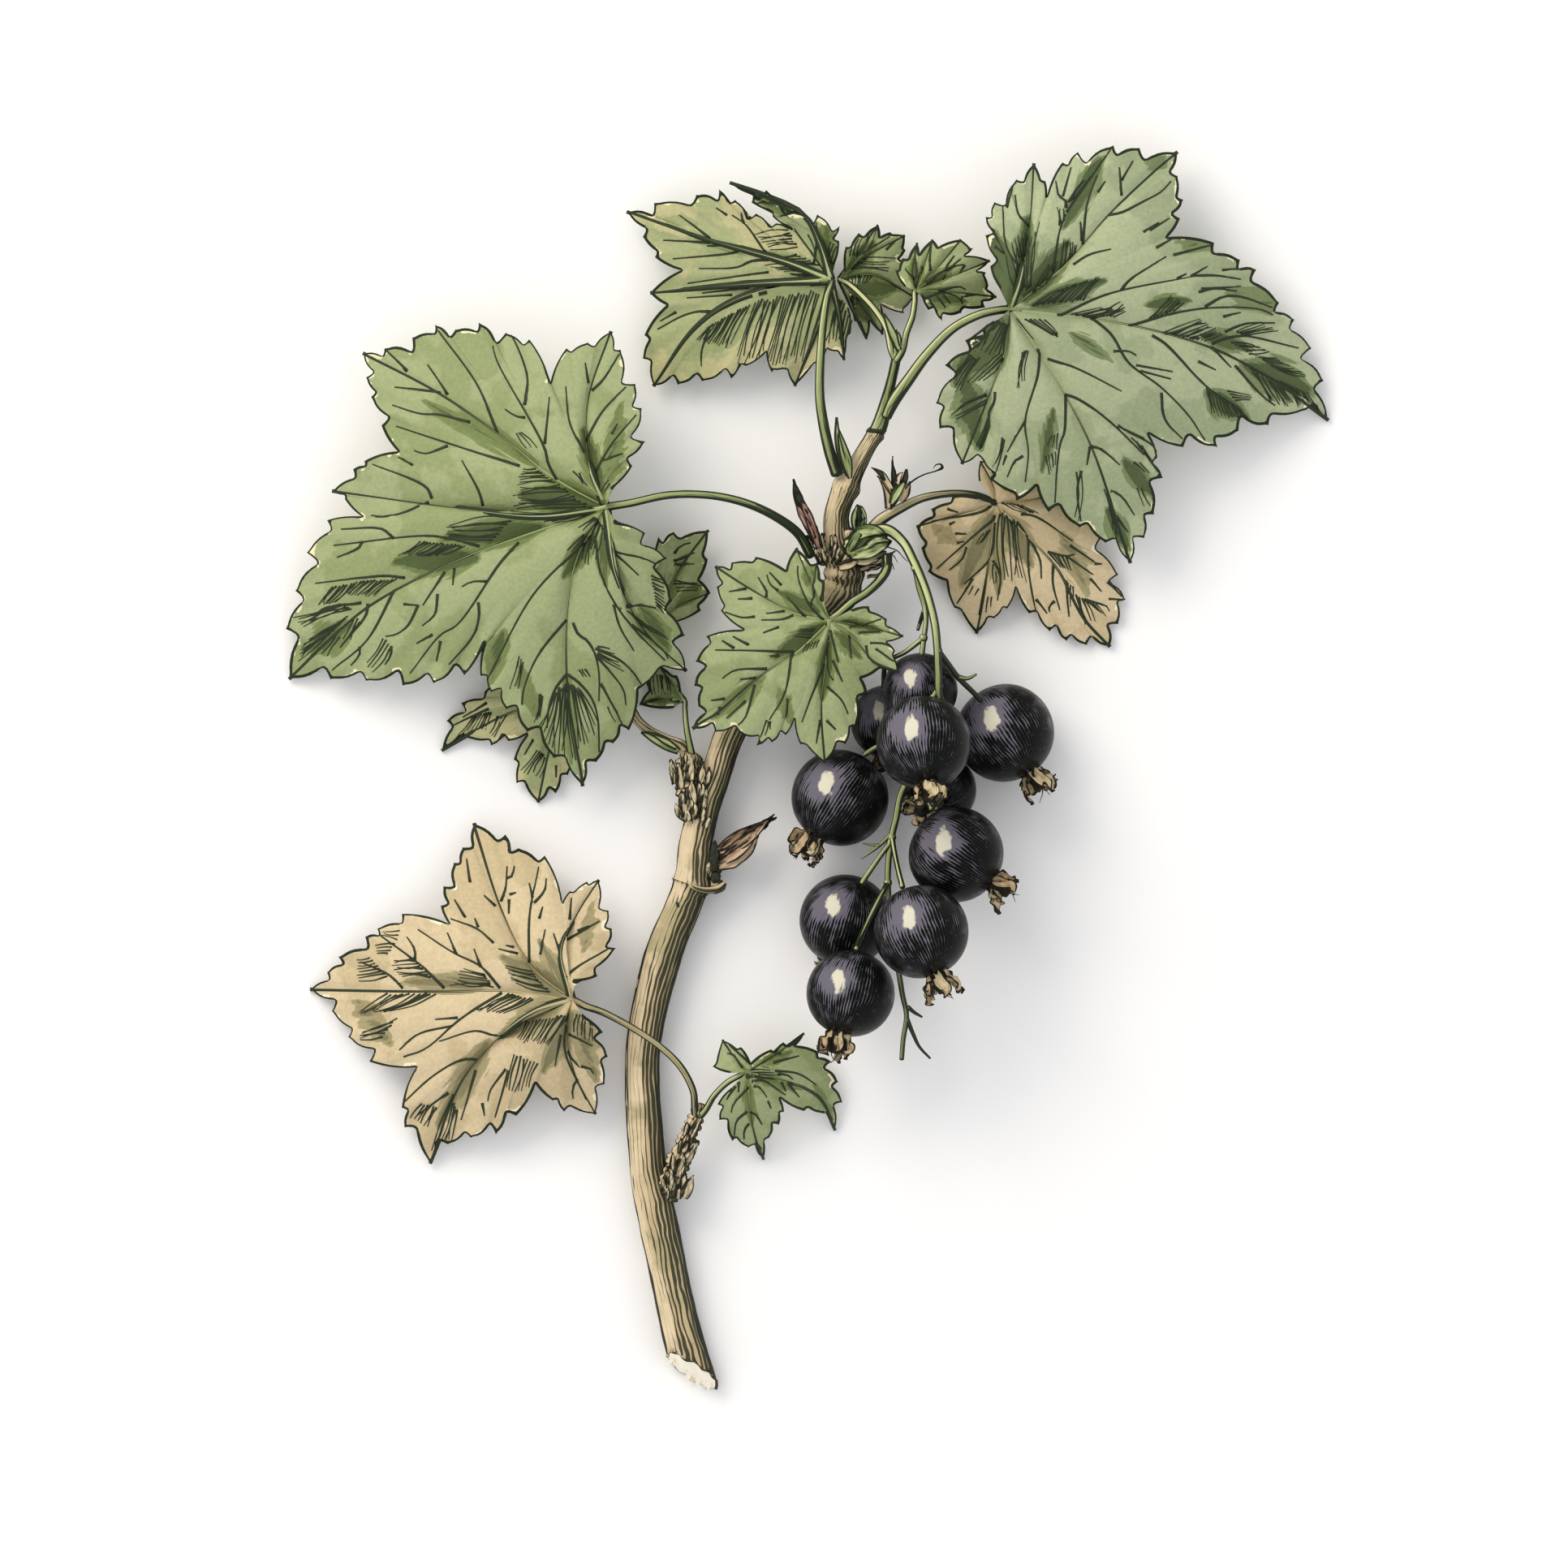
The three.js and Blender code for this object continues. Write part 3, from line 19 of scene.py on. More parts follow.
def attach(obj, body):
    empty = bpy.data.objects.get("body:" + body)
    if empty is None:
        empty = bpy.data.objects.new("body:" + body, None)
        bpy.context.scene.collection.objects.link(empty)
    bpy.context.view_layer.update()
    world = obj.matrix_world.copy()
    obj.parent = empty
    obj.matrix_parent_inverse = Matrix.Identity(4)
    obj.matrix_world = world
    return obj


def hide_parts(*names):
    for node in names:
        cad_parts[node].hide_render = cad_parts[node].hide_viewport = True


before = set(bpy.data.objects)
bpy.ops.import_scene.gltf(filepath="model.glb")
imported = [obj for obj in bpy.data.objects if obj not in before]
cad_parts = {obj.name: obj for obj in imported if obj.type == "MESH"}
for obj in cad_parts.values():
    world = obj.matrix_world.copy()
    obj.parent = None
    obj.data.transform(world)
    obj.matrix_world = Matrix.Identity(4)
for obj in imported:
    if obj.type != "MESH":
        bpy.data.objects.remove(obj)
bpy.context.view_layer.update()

# %% [markdown]
# ## Measures
# Places are written as (across, down, height) in millimetres on the sheet that the sprig lies on, because
# that is how a plant is laid out and measured. One function turns them into metres in the frame, where +Y is
# up the sheet. The middle of the sprig's box in plan is the frame's origin.

# %% From the sheet to the frame
MM = 0.001
SHEET_MIDDLE = (99.45, 94.6)


def in_frame(points):
    """Rows of across, down and height in millimetres become rows of x, y and z in metres."""
    p = np.atleast_2d(np.asarray(points, float))
    return np.column_stack([p[:, 0] - SHEET_MIDDLE[0], SHEET_MIDDLE[1] - p[:, 1], p[:, 2]]) * MM


print("ten millimetres right of the middle and down the sheet:",
      in_frame([(SHEET_MIDDLE[0] + 10, SHEET_MIDDLE[1] + 10, 0)])[0])

# %% [markdown]
# ## Camera, table and light
# A pressed sprig is looked at from straight above, so the camera is orthographic and points down: nothing
# leans away from it. The table is a plain pale sheet. One big soft light stands up and to the left, so each
# berry gets a faint window-shaped gleam on that side, under a painted cream highlight, and a pale sky fills
# the shadows.

# %% Camera
VIEW_WIDTH = 193.2
VIEW_MIDDLE = (-2.85, -2.0)
CAMERA_HEIGHT = 0.6

camera_data = bpy.data.cameras.new("camera_from_above")
camera_data.type = "ORTHO"
camera_data.ortho_scale = VIEW_WIDTH * MM
camera = bpy.data.objects.new("camera_from_above", camera_data)
camera.location = (VIEW_MIDDLE[0] * MM, VIEW_MIDDLE[1] * MM, CAMERA_HEIGHT)
bpy.context.collection.objects.link(camera)
bpy.context.scene.camera = camera
bpy.context.scene.view_settings.view_transform = "Standard"
print("the camera sees", VIEW_WIDTH, "mm across")

# %% [markdown]
# Materials are node trees. Colours are written as the hex values a paint chart gives, and shaders want
# linear light, so one function turns them. Another adds a node with its settings and links in one line.
# Three habits of Blender's sockets are worth knowing: a Map Range takes its value at 0, then from-min,
# from-max, to-min and to-max at 1 to 4, a colour Mix has its factor at 0 and its colours at 6 and 7, and a
# node's first output in use is nearly always the one that is wanted.


# %% Colours and the one node helper
def linear(hex_colour):
    """An sRGB hex colour as the linear RGBA that shaders work in."""
    parts = [int(hex_colour[i:i + 2], 16) / 255 for i in (1, 3, 5)]
    return tuple(c / 12.92 if c <= 0.04045 else ((c + 0.055) / 1.055) ** 2.4 for c in parts) + (1.0,)


def add(tree, kind, inputs=None, **settings):
    """Adds a node. inputs gives sockets, by name or number, a value or the node that feeds them."""
    node = tree.nodes.new("ShaderNode" + kind)
    for name, value in settings.items():
        setattr(node, name, value)
    for key, value in (inputs or {}).items():
        if isinstance(value, bpy.types.Node):
            value = next(output for output in value.outputs if output.enabled)
        if isinstance(value, bpy.types.NodeSocket):
            tree.links.new(value, node.inputs[key])
        else:
            node.inputs[key].default_value = value
    return node


def new_material(name):
    """An empty principled material, with its node tree and its shader."""
    material = bpy.data.materials.new(name)
    material.use_nodes = True
    return material, material.node_tree, material.node_tree.nodes["Principled BSDF"]


def per_mm(size):
    """The noise scale, in cells per metre, whose cells are size millimetres across."""
    return 1 / (size * MM)


print("middle grey is", round(linear("#808080")[0], 3), "in linear light")

# %% Table
TABLE_SIZE = 4.0

table_bm = bmesh.new()
bmesh.ops.create_grid(table_bm, x_segments=1, y_segments=1, size=TABLE_SIZE / 2)
table_mesh = bpy.data.meshes.new("table_sheet")
table_bm.to_mesh(table_mesh)
table_bm.free()
table = bpy.data.objects.new("table_sheet", table_mesh)
bpy.context.collection.objects.link(table)
# Card: uncoated and matt, so it takes soft shadows and gives no gleam.
card, _, card_shader = new_material("matt_white_card")
card_shader.inputs["Base Color"].default_value = linear("#FDFDFB")
card_shader.inputs["Roughness"].default_value = 0.9
card_shader.inputs["Specular IOR Level"].default_value = 0.1
table_mesh.materials.append(card)
print("the table is", TABLE_SIZE, "m wide")

# %% Light
KEY_PLACE = Vector((-0.34, 0.40, 0.46))
KEY_SIZE = (0.46, 0.40)
KEY_WATTS = 2.5
SKY_STRENGTH = 0.88

key_data = bpy.data.lights.new("window_light", "AREA")
key_data.shape = "RECTANGLE"
key_data.size, key_data.size_y = KEY_SIZE
key_data.energy = KEY_WATTS
key_data.color = linear("#FFF6E6")[:3]
key = bpy.data.objects.new("window_light", key_data)
key.location = KEY_PLACE
key.rotation_mode = "QUATERNION"
key.rotation_quaternion = (-KEY_PLACE).to_track_quat("-Z", "Y")
bpy.context.collection.objects.link(key)

sky = bpy.data.worlds.new("soft_studio_sky")
sky.use_nodes = True
sky.node_tree.nodes["Background"].inputs["Color"].default_value = linear("#FBFBFF")
sky.node_tree.nodes["Background"].inputs["Strength"].default_value = SKY_STRENGTH
bpy.context.scene.world = sky
print("one window light of", KEY_WATTS, "W and a sky of strength", SKY_STRENGTH)

# %% [markdown]
# ## Curves and rolled grids
# Stalks, ribs and stems all bend smoothly through a few points, so one function draws a centripetal
# Catmull-Rom curve, which never loops or overshoots between uneven points. A tube is a flat grid rolled
# round such a curve: the grid brings its own UV map, so bark and stalk patterns can run along the tube.


# %% A smooth curve through points
def smooth_curve(points, per_span):
    """Points on the curve. Only the first three columns set its shape; a fourth, a radius, follows them."""
    p = np.asarray(points, float)
    p = np.vstack([2 * p[0] - p[1], p, 2 * p[-1] - p[-2]])
    rows = []
    for i in range(1, len(p) - 2):
        a, b, c = (max(np.linalg.norm((p[k + 1] - p[k])[:3]) ** 0.5, 1e-6) for k in (i - 1, i, i + 1))
        leave = ((p[i] - p[i - 1]) / a - (p[i + 1] - p[i - 1]) / (a + b) + (p[i + 1] - p[i]) / b) * b
        arrive = ((p[i + 1] - p[i]) / b - (p[i + 2] - p[i]) / (b + c) + (p[i + 2] - p[i + 1]) / c) * b
        t = np.linspace(0, 1, per_span, endpoint=False)[:, None]
        bend = -3 * p[i] + 3 * p[i + 1] - 2 * leave - arrive
        settle = 2 * p[i] - 2 * p[i + 1] + leave + arrive
        rows.append(p[i] + leave * t + bend * t ** 2 + settle * t ** 3)
    return np.vstack(rows + [p[-2:-1]])


def run_lengths(points):
    """The length along a row of points, at each of them."""
    steps = np.linalg.norm(np.diff(points, axis=0), axis=1)
    return np.concatenate([[0.0], np.cumsum(steps)])


def at_fractions(points, fractions):
    """The places at those fractions of the whole length of a row of points."""
    run = run_lengths(points)
    return np.column_stack([np.interp(np.asarray(fractions) * run[-1], run, column) for column in points.T])


arch = smooth_curve([(0, 0, 0), (5, 0, 3), (10, 0, 0)], 8)
print("an arch 10 mm wide and 3 mm high is", round(run_lengths(arch)[-1], 1), "mm long")

# %% An empty skin and its grids
# How shaded a place is, how far the margin and the nearest vein are, and how steeply it faces.
LAYERS = ("shade", "edge", "vein", "side")


def grid_places(verts, across, along):
    """Each vertex of a fresh grid, with its column and its row."""
    for vert in verts:
        yield vert, round((vert.co.x + 1) / 2 * across), round((vert.co.y + 1) / 2 * along)


def new_skin():
    """An empty bmesh with a UV map and the four layers that the patterns read."""
    bm = bmesh.new()
    bm.loops.layers.uv.new("UVMap")
    for layer in LAYERS:
        bm.verts.layers.float.new(layer)
    return bm


print("every skin has the layers", ", ".join(LAYERS))

# %% The rounded ends of a tube
# How far the rings of a rounded end stand out from the last full ring and how wide they are, in radii.
ROUND_END = ((0.25, 0.85), (0.42, 0.5), (0.5, 0.0))


def rounded_ends(middle, radius):
    """The same path and radii with a few smaller rings at each end, which close it to a point."""
    ends = []
    for at, way in ((0, middle[0] - middle[1]), (-1, middle[-1] - middle[-2])):
        way = way / np.linalg.norm(way) * MM
        ends.append([(middle[at] + way * radius[at] * out, radius[at] * wide) for out, wide in ROUND_END])
    first, last = ends
    middle = np.vstack([[c for c, _ in reversed(first)], middle, [c for c, _ in last]])
    radius = np.concatenate([[r for _, r in reversed(first)], radius, [r for _, r in last]])
    return middle, radius


print("a tube is closed by", len(ROUND_END), "smaller rings at each end")

# %% A grid rolled into a tube
SAME_PLACE = 1e-8
NEARLY_UPRIGHT = 0.9


def tube(bm, row, sides, per_span, material=0, relief=None):
    """Rolls a grid round a row of (across, down, height, radius). relief(turn, run) swells it."""
    path = smooth_curve(row, per_span)
    middle, radius = rounded_ends(in_frame(path[:, :3]), np.maximum(path[:, 3], 0))
    run = run_lengths(middle) / MM
    along = np.gradient(middle, axis=0)
    along /= np.linalg.norm(along, axis=1)[:, None]
    down = np.array([0.0, 0.0, -1.0])
    first_side = down if abs(along[0][2]) < NEARLY_UPRIGHT else np.array([0.0, 1.0, 0.0])
    sideways = []
    for way in along:
        side = first_side if not sideways else sideways[-1]
        side = side - way * side.dot(way)
        sideways.append(side / np.linalg.norm(side))
    steps = len(middle) - 1
    made = bmesh.ops.create_grid(bm, x_segments=sides, y_segments=steps, size=1, calc_uvs=True)["verts"]
    rows = {}
    for vert, column, level in grid_places(made, sides, steps):
        turn = (column % sides) / sides * 2 * math.pi
        out = radius[level] + (relief(turn, run[level]) if relief and radius[level] > 0 else 0.0)
        side = sideways[level]
        other = np.cross(along[level], side)
        offset = side * math.cos(turn) + other * math.sin(turn)
        rows[vert] = middle[level] + offset * out * MM
    for vert, place in rows.items():
        vert.co = place
    faces = {face for vert in made for face in vert.link_faces}
    width = 2 * math.pi * float(np.median(radius[len(ROUND_END):-len(ROUND_END)]))
    uv = bm.loops.layers.uv["UVMap"]
    for face in faces:
        face.smooth = True
        face.material_index = material
        for loop in face.loops:
            loop[uv].uv = (loop[uv].uv[0] * width, loop[uv].uv[1] * run[-1])
    bmesh.ops.remove_doubles(bm, verts=made, dist=SAME_PLACE)
    return faces


trial_bm = new_skin()
tube(trial_bm, [(0, 0, 0, 1), (10, 0, 0, 1)], sides=8, per_span=4)
print("a short straight tube has", len(trial_bm.faces), "faces")
trial_bm.free()

# %% [markdown]
# Round things such as stalks, bark and buds are painted paler on the side that faces the light and darker
# underneath and on the far side. That painted light and shade is kept on the mesh as a number from the way
# each place faces. So is how steep the surface is, because the steep sides get a thin dark line of painted
# shade.

# %% From a bmesh to a finished piece
SUNLESS_WAY = Vector((0.74, -0.60, -0.30)).normalized()


def keep_facing(bm, verts):
    """Writes how far from the sun each vertex faces (shade) and how upright it faces (side), for painted
    light and shade.
    """
    shade = bm.verts.layers.float["shade"]
    side = bm.verts.layers.float["side"]
    for vert in verts:
        vert[shade] = 0.5 + 0.5 * vert.normal.dot(SUNLESS_WAY)
        vert[side] = abs(vert.normal.z)


def finish_piece(bm, name, materials, node, paint_shade_by_facing=True):
    """Makes the object, hangs it from the root body, hides the imported part it replaces, and prints its
    triangle count.
    """
    bmesh.ops.dissolve_degenerate(bm, dist=SAME_PLACE, edges=bm.edges)
    bmesh.ops.recalc_face_normals(bm, faces=bm.faces)
    bm.normal_update()
    if paint_shade_by_facing:
        keep_facing(bm, bm.verts)
    mesh = bpy.data.meshes.new(name)
    bm.to_mesh(mesh)
    bm.free()
    for material in materials:
        mesh.materials.append(material)
    piece = bpy.data.objects.new(name, mesh)
    bpy.context.collection.objects.link(piece)
    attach(piece, "root")
    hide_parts(node)
    mesh.calc_loop_triangles()
    print(f"{name}: {len(mesh.loop_triangles)} triangles")


print("the sunless side faces", [round(v, 2) for v in SUNLESS_WAY])

# %% [markdown]
# Bud scales, bracts, sepals and splinters are all thin curved strips that end in a point. A strip is a grid
# laid along a curve, bent hollow across, crumpled if it is dry, and extruded to a thin wall so that it has
# two sides.

# %% A thin pointed shell, such as a bud scale or a sepal
SHELL_STEPS = 5
SHARP_POINT = 0.015
CRUMPLES_ACROSS = 1.7
CRUMPLES_ALONG = 1.3
CRUMPLE_SHIFT = 0.37


def shell(bm, spine, out, cup, thickness=0.14, columns=8, material=0, crumple=0.0, seed=0):
    """A bent strip along (across, down, height, half width) rows that faces out, closed to a thin wall."""
    path = smooth_curve(spine, SHELL_STEPS)
    middle = in_frame(path[:, :3])
    half = np.maximum(path[:, 3], SHARP_POINT)
    along = np.gradient(middle, axis=0)
    along /= np.linalg.norm(along, axis=1)[:, None]
    facing = np.array([out[0], -out[1], out[2]], float)
    side = np.cross(along, facing)
    side /= np.maximum(np.linalg.norm(side, axis=1), 1e-9)[:, None]
    normal = np.cross(side, along)
    rows = len(middle) - 1
    made = bmesh.ops.create_grid(bm, x_segments=columns, y_segments=rows, size=1, calc_uvs=True)["verts"]
    run = run_lengths(middle) / MM
    edge = bm.verts.layers.float["edge"]
    uv = bm.loops.layers.uv["UVMap"]
    for vert, column, level in grid_places(made, columns, rows):
        c = column / columns * 2 - 1
        bend = cup * half[level] * c * c
        if crumple:
            spot = Vector((c * CRUMPLES_ACROSS + seed, run[level] * CRUMPLES_ALONG, seed * CRUMPLE_SHIFT))
            bend += crumple * noise.noise(spot)
        vert.co = middle[level] + (side[level] * half[level] * c + normal[level] * bend) * MM
        vert[edge] = half[level] * (1 - abs(c))
        for loop in vert.link_loops:
            loop[uv].uv = (half[level] * c, run[level])
    faces = list({face for vert in made for face in vert.link_faces})
    bmesh.ops.recalc_face_normals(bm, faces=faces)
    for face in faces:
        face.smooth = True
        face.material_index = material
        face.normal_update()
    copies = bmesh.ops.extrude_face_region(bm, geom=faces, use_keep_orig=True)["geom"]
    inner = [item for item in copies if isinstance(item, bmesh.types.BMVert)]
    for vert, away in [(vert, vert.normal.copy()) for vert in inner]:
        vert.co -= away * thickness * MM


print("a shell's point is", 2 * SHARP_POINT, "mm wide")

# %% [markdown]
# Old leaf scars, the swollen foot of a stalk and the knees of the truss are small rounded lumps. Each could
# be one more swelling of its tube, but they sit on one side only. So a lump is a ball with three radii, made
# uneven by noise, and most of it is sunk in the tube that carries it.

# %% A rounded knob, such as an old leaf scar
LUMPS_PER_RADIUS = 1.8


def knob(bm, at, radii, material=0, lumps=0.1, seed=0.0):
    """A lumpy ball. at is across, down and height; radii are along the same three ways, in millimetres."""
    made = bmesh.ops.create_uvsphere(bm, u_segments=20, v_segments=14, radius=1, calc_uvs=True)["verts"]
    centre = Vector(in_frame([at])[0])
    uv = bm.loops.layers.uv["UVMap"]
    size = 2 * math.pi * max(radii)
    faces = {face for vert in made for face in vert.link_faces}
    for face in faces:
        face.smooth = True
        face.material_index = material
        for loop in face.loops:
            loop[uv].uv = (loop[uv].uv[0] * size, loop[uv].uv[1] * size / 2)
    for vert in made:
        swell = 1 + lumps * noise.noise(vert.co * LUMPS_PER_RADIUS + Vector((seed, 0, 0)))
        vert.co = centre + Vector([c * r * swell * MM for c, r in zip(vert.co, radii)])


print("lumps on a knob are about", round(1 / LUMPS_PER_RADIUS, 2), "of its radius")

# %% [markdown]
# ## Leaf blades: the finish
# A blackcurrant leaf is matt and slightly rough above, paler and downy below. Up close it is never one
# green: thin tissue between the veins is pale, painted shade makes the folds beside the ribs olive with a
# deeper heart and darkens the tissue beside the veins, and the margin is a dark line with a cream painted
# highlight inside it in places. A picture could show all that, but it would blur and be tied to one leaf. So
# the pattern is made of noise, and each tone ends at a crisp ragged edge. It follows the leaf by three
# numbers kept on the mesh (how shaded a place is, how far the margin is, how far the nearest vein is) and by
# a UV map in millimetres whose lines run from the stalk to the margin.

# %% The tones of a blade
# How far the painted shade beside a vein reaches, in millimetres.
VEIN_SHADE_WIDTH = 0.5
# The range over which one tone takes over from another. A short range makes a crisp edge.
WASH_EDGE = (0.49, 0.53)
OLIVE_EDGE = (0.2, 0.27)
DEEP_EDGE = (0.52, 0.6)
FULL_TONE = 0.9


def blade_tones(tree, tones, blotch, mottle, grain):
    """Pale and middle tissue, then olive and deep painted shade in the folds and beside the veins, all
    finely speckled.
    """
    pale, middle, olive, deep = map(linear, tones)
    flat = add(tree, "UVMap", uv_map="UVMap")
    shade = add(tree, "Attribute", attribute_name="shade").outputs["Fac"]
    vein = add(tree, "Attribute", attribute_name="vein").outputs["Fac"]
    wash = add(tree, "MapRange", {0: blotch, 1: WASH_EDGE[0], 2: WASH_EDGE[1]})
    tissue = add(tree, "Mix", {0: wash, 6: pale, 7: middle}, data_type="RGBA")
    brush = add(tree, "Mapping", {"Vector": flat, "Scale": (0.85, 0.1, 1.0)})
    streak = add(tree, "TexNoise", {"Vector": brush, "Scale": 1.0, "Detail": 3.0})
    ragged = add(tree, "Math", {0: streak, 1: 0.8, 2: -0.4}, operation="MULTIPLY_ADD")
    fold = add(tree, "Math", {0: shade, 1: ragged}, operation="ADD")
    # Painted shade: darker beside the veins, olive in the folds and deep in a fold's middle.
    vein_side_shade = add(tree, "MapRange", {0: vein, 1: 0.0, 2: VEIN_SHADE_WIDTH, 3: 0.3, 4: 0.0})
    valley_shade = add(tree, "Math", {0: vein_side_shade, 1: mottle, 2: fold}, operation="MULTIPLY_ADD")
    olive_shade = add(tree, "MapRange", {0: valley_shade, 1: OLIVE_EDGE[0], 2: OLIVE_EDGE[1], 4: FULL_TONE})
    fold_shaded = add(tree, "Mix", {0: olive_shade, 6: tissue, 7: olive}, data_type="RGBA")
    deep_shade = add(tree, "MapRange", {0: fold, 1: DEEP_EDGE[0], 2: DEEP_EDGE[1], 4: FULL_TONE})
    deepest = add(tree, "Mix", {0: deep_shade, 6: fold_shaded, 7: deep}, data_type="RGBA")
    speckle = add(tree, "MapRange", {0: grain, 1: 0.3, 2: 0.7, 3: 0.92, 4: 1.07})
    return add(tree, "VectorMath", {0: deepest, 3: speckle}, operation="SCALE")


print("the tissue beside a vein is darker for", VEIN_SHADE_WIDTH, "mm")

# %% The margin of a blade
MARGIN_LINE = 0.3
MARGIN_HIGHLIGHT_BAND = 0.62
MARGIN_HIGHLIGHT_EDGE = (0.52, 0.66)
INK = "#1F2A16"


def with_margin(tree, tinted, cream_highlight, blotch, mottle):
    """The blade's colour with a painted cream highlight along the edge that comes and goes, and outside it
    one dark line.
    """
    edge = add(tree, "Attribute", attribute_name="edge").outputs["Fac"]
    # A painted highlight: a cream band inside the margin that comes and goes with the mottle.
    highlight_reach = add(tree, "MapRange",
                      {0: mottle, 1: MARGIN_HIGHLIGHT_EDGE[0], 2: MARGIN_HIGHLIGHT_EDGE[1], 3: 0.0, 4: MARGIN_HIGHLIGHT_BAND})
    inside = add(tree, "Math", {0: edge, 1: highlight_reach}, operation="LESS_THAN")
    rimmed = add(tree, "Mix", {0: inside, 6: tinted, 7: linear(cream_highlight)}, data_type="RGBA")
    line_reach = add(tree, "MapRange",
                     {0: blotch, 1: 0.4, 2: 0.6, 3: MARGIN_LINE * 0.65, 4: MARGIN_LINE * 1.2})
    line = add(tree, "Math", {0: edge, 1: line_reach}, operation="LESS_THAN")
    return add(tree, "Mix", {0: line, 6: rimmed, 7: linear(INK)}, data_type="RGBA")


print("the dark line at the margin is about", MARGIN_LINE, "mm wide")

# %% The whole finish of a blade
BLOTCH_SIZE = 9.0
MOTTLE_SIZE = 2.2
GRAIN_SIZE = 0.45
AREOLE_SIZE = 0.9


def leaf_finish(name, tones, rough=0.62):
    """A blade's finish. tones are pale and middle tissue, olive and deep painted shade for the folds, and
    the cream painted highlight of the edge.
    """
    material, tree, shader = new_material(name)
    spot = add(tree, "TexCoord").outputs["Object"]
    blotch = add(tree, "TexNoise", {"Vector": spot, "Scale": per_mm(BLOTCH_SIZE), "Detail": 4.0})
    mottle = add(tree, "TexNoise", {"Vector": spot, "Scale": per_mm(MOTTLE_SIZE), "Detail": 4.0})
    grain = add(tree, "TexNoise", {"Vector": spot, "Scale": per_mm(GRAIN_SIZE), "Detail": 2.0})
    tinted = blade_tones(tree, tones[:4], blotch, mottle, grain)
    whole = with_margin(tree, tinted, tones[4], blotch, mottle)
    tree.links.new(whole.outputs[2], shader.inputs["Base Color"])

    # The surface: a dull gloss that varies, and the fine net of the smallest veins as relief.
    gloss = add(tree, "MapRange", {0: mottle, 1: 0.3, 2: 0.7, 3: rough - 0.08, 4: rough + 0.08})
    tree.links.new(gloss.outputs[0], shader.inputs["Roughness"])
    areole = add(tree, "TexVoronoi", {"Vector": spot, "Scale": per_mm(AREOLE_SIZE)},
                 feature="DISTANCE_TO_EDGE")
    netting = add(tree, "MapRange", {0: areole, 1: 0.0, 2: 0.25})
    skin = add(tree, "Math", {0: grain, 1: 0.35, 2: netting}, operation="MULTIPLY_ADD")
    bump = add(tree, "Bump", {"Height": skin, "Strength": 0.3, "Distance": 0.05 * MM})
    tree.links.new(bump.outputs[0], shader.inputs["Normal"])
    shader.inputs["Specular IOR Level"].default_value = 0.2
    return material


# The upper skin of a living leaf: grey-green and dull, with olive painted shade in the folds.
leaf_green = leaf_finish("leaf_green_upper", ("#9AA476", "#8D9868", "#6C7A46", "#4C5932", "#E4DDB4"))
# The same skin with a bluish bloom, on the leaf that stands highest.
leaf_blue = leaf_finish("leaf_bluish_upper", ("#A7B08A", "#98A37D", "#6F7D51", "#4A5834", "#EAE3BE"))
# A leaf that has dried on the twig: straw-coloured, with olive painted shade in the folds.
leaf_tan = leaf_finish("leaf_tan_dried", ("#D0BE98", "#C4B28B", "#9A9069", "#7C7654", "#EFE5C4"))
# The downy underside: paler, yellower and flatter in light than the upper skin, with painted shade in the
# folds.
leaf_below = leaf_finish("leaf_downy_underside", ("#B7B385", "#A1A779", "#949E6E", "#72814F", "#E9DFB0"),
                         rough=0.8)
print("leaf finishes:", leaf_green.name, leaf_blue.name, leaf_tan.name, leaf_below.name)

# %% [markdown]
# ## Veins, cut wood and scars: the finish
# These are small and nearly even in colour. One flat colour would do from far off, but up close it looks
# like plastic. So each is two near tones in flecks, and the darker flecks lie a little lower.


# %% The finish of veins, cut wood and scars
def plain_finish(name, light, dark, size, rough, lines=(0.45, 0.6)):
    """Two colours in small flecks on the piece's own UV map. Over the range lines one turns to the other."""
    material, tree, shader = new_material(name)
    flat = add(tree, "UVMap", uv_map="UVMap")
    fibre = add(tree, "TexNoise", {"Vector": flat, "Scale": 1 / size, "Detail": 3.0})
    tone = add(tree, "MapRange", {0: fibre, 1: lines[0], 2: lines[1]})
    colour = add(tree, "Mix", {0: tone, 6: linear(light), 7: linear(dark)}, data_type="RGBA")
    tree.links.new(colour.outputs[2], shader.inputs["Base Color"])
    bump = add(tree, "Bump", {"Height": tone, "Strength": 0.4, "Distance": 0.05 * MM}, invert=True)
    tree.links.new(bump.outputs[0], shader.inputs["Normal"])
    shader.inputs["Roughness"].default_value = rough
    shader.inputs["Specular IOR Level"].default_value = 0.3
    return material


# Side veins and hatch lines are dark threads, painted shade as of sunk veins; the ribs' backs are paler than
# the blade, green or dried.
vein_dark = plain_finish("vein_dark", "#26311B", "#1B2412", size=1.5, rough=0.6)
vein_pale = plain_finish("vein_pale", "#A7B17B", "#87935C", size=1.2, rough=0.55)
vein_tan = plain_finish("vein_tan", "#B9AD82", "#8F8A62", size=1.2, rough=0.6)
# Fresh wood at the cut: nearly white, with soft fibres.
cut_wood = plain_finish("fresh_cut_wood", "#FBF4E0", "#D9C9A2", size=1.1, rough=0.75, lines=(0.55, 0.75))
# Corky scars where leaves and stalks fell: almost black and quite dull.
dark_scar = plain_finish("dark_scar", "#33352A", "#1D2018", size=0.8, rough=0.85)
print("five plain finishes are ready")

# %% [markdown]
# ## Stalks and bark: the finish
# Stalks and young shoots are smooth and green with fine ridges along them; bark is the same idea in tan,
# with long dark cracks. Both are one recipe: three painted tones of light and shade from the sunny to the
# shaded side, and dark lines along the piece that get longer and closer on the shaded side as painted shade.
# Each line has a lane of the UV map to itself, because a stretched noise alone would give clouds and no
# lines.

# %% Tones round a stalk
SUNNY_TO_MIDDLE = 0.14
MIDDLE_TO_SHADED = 0.2


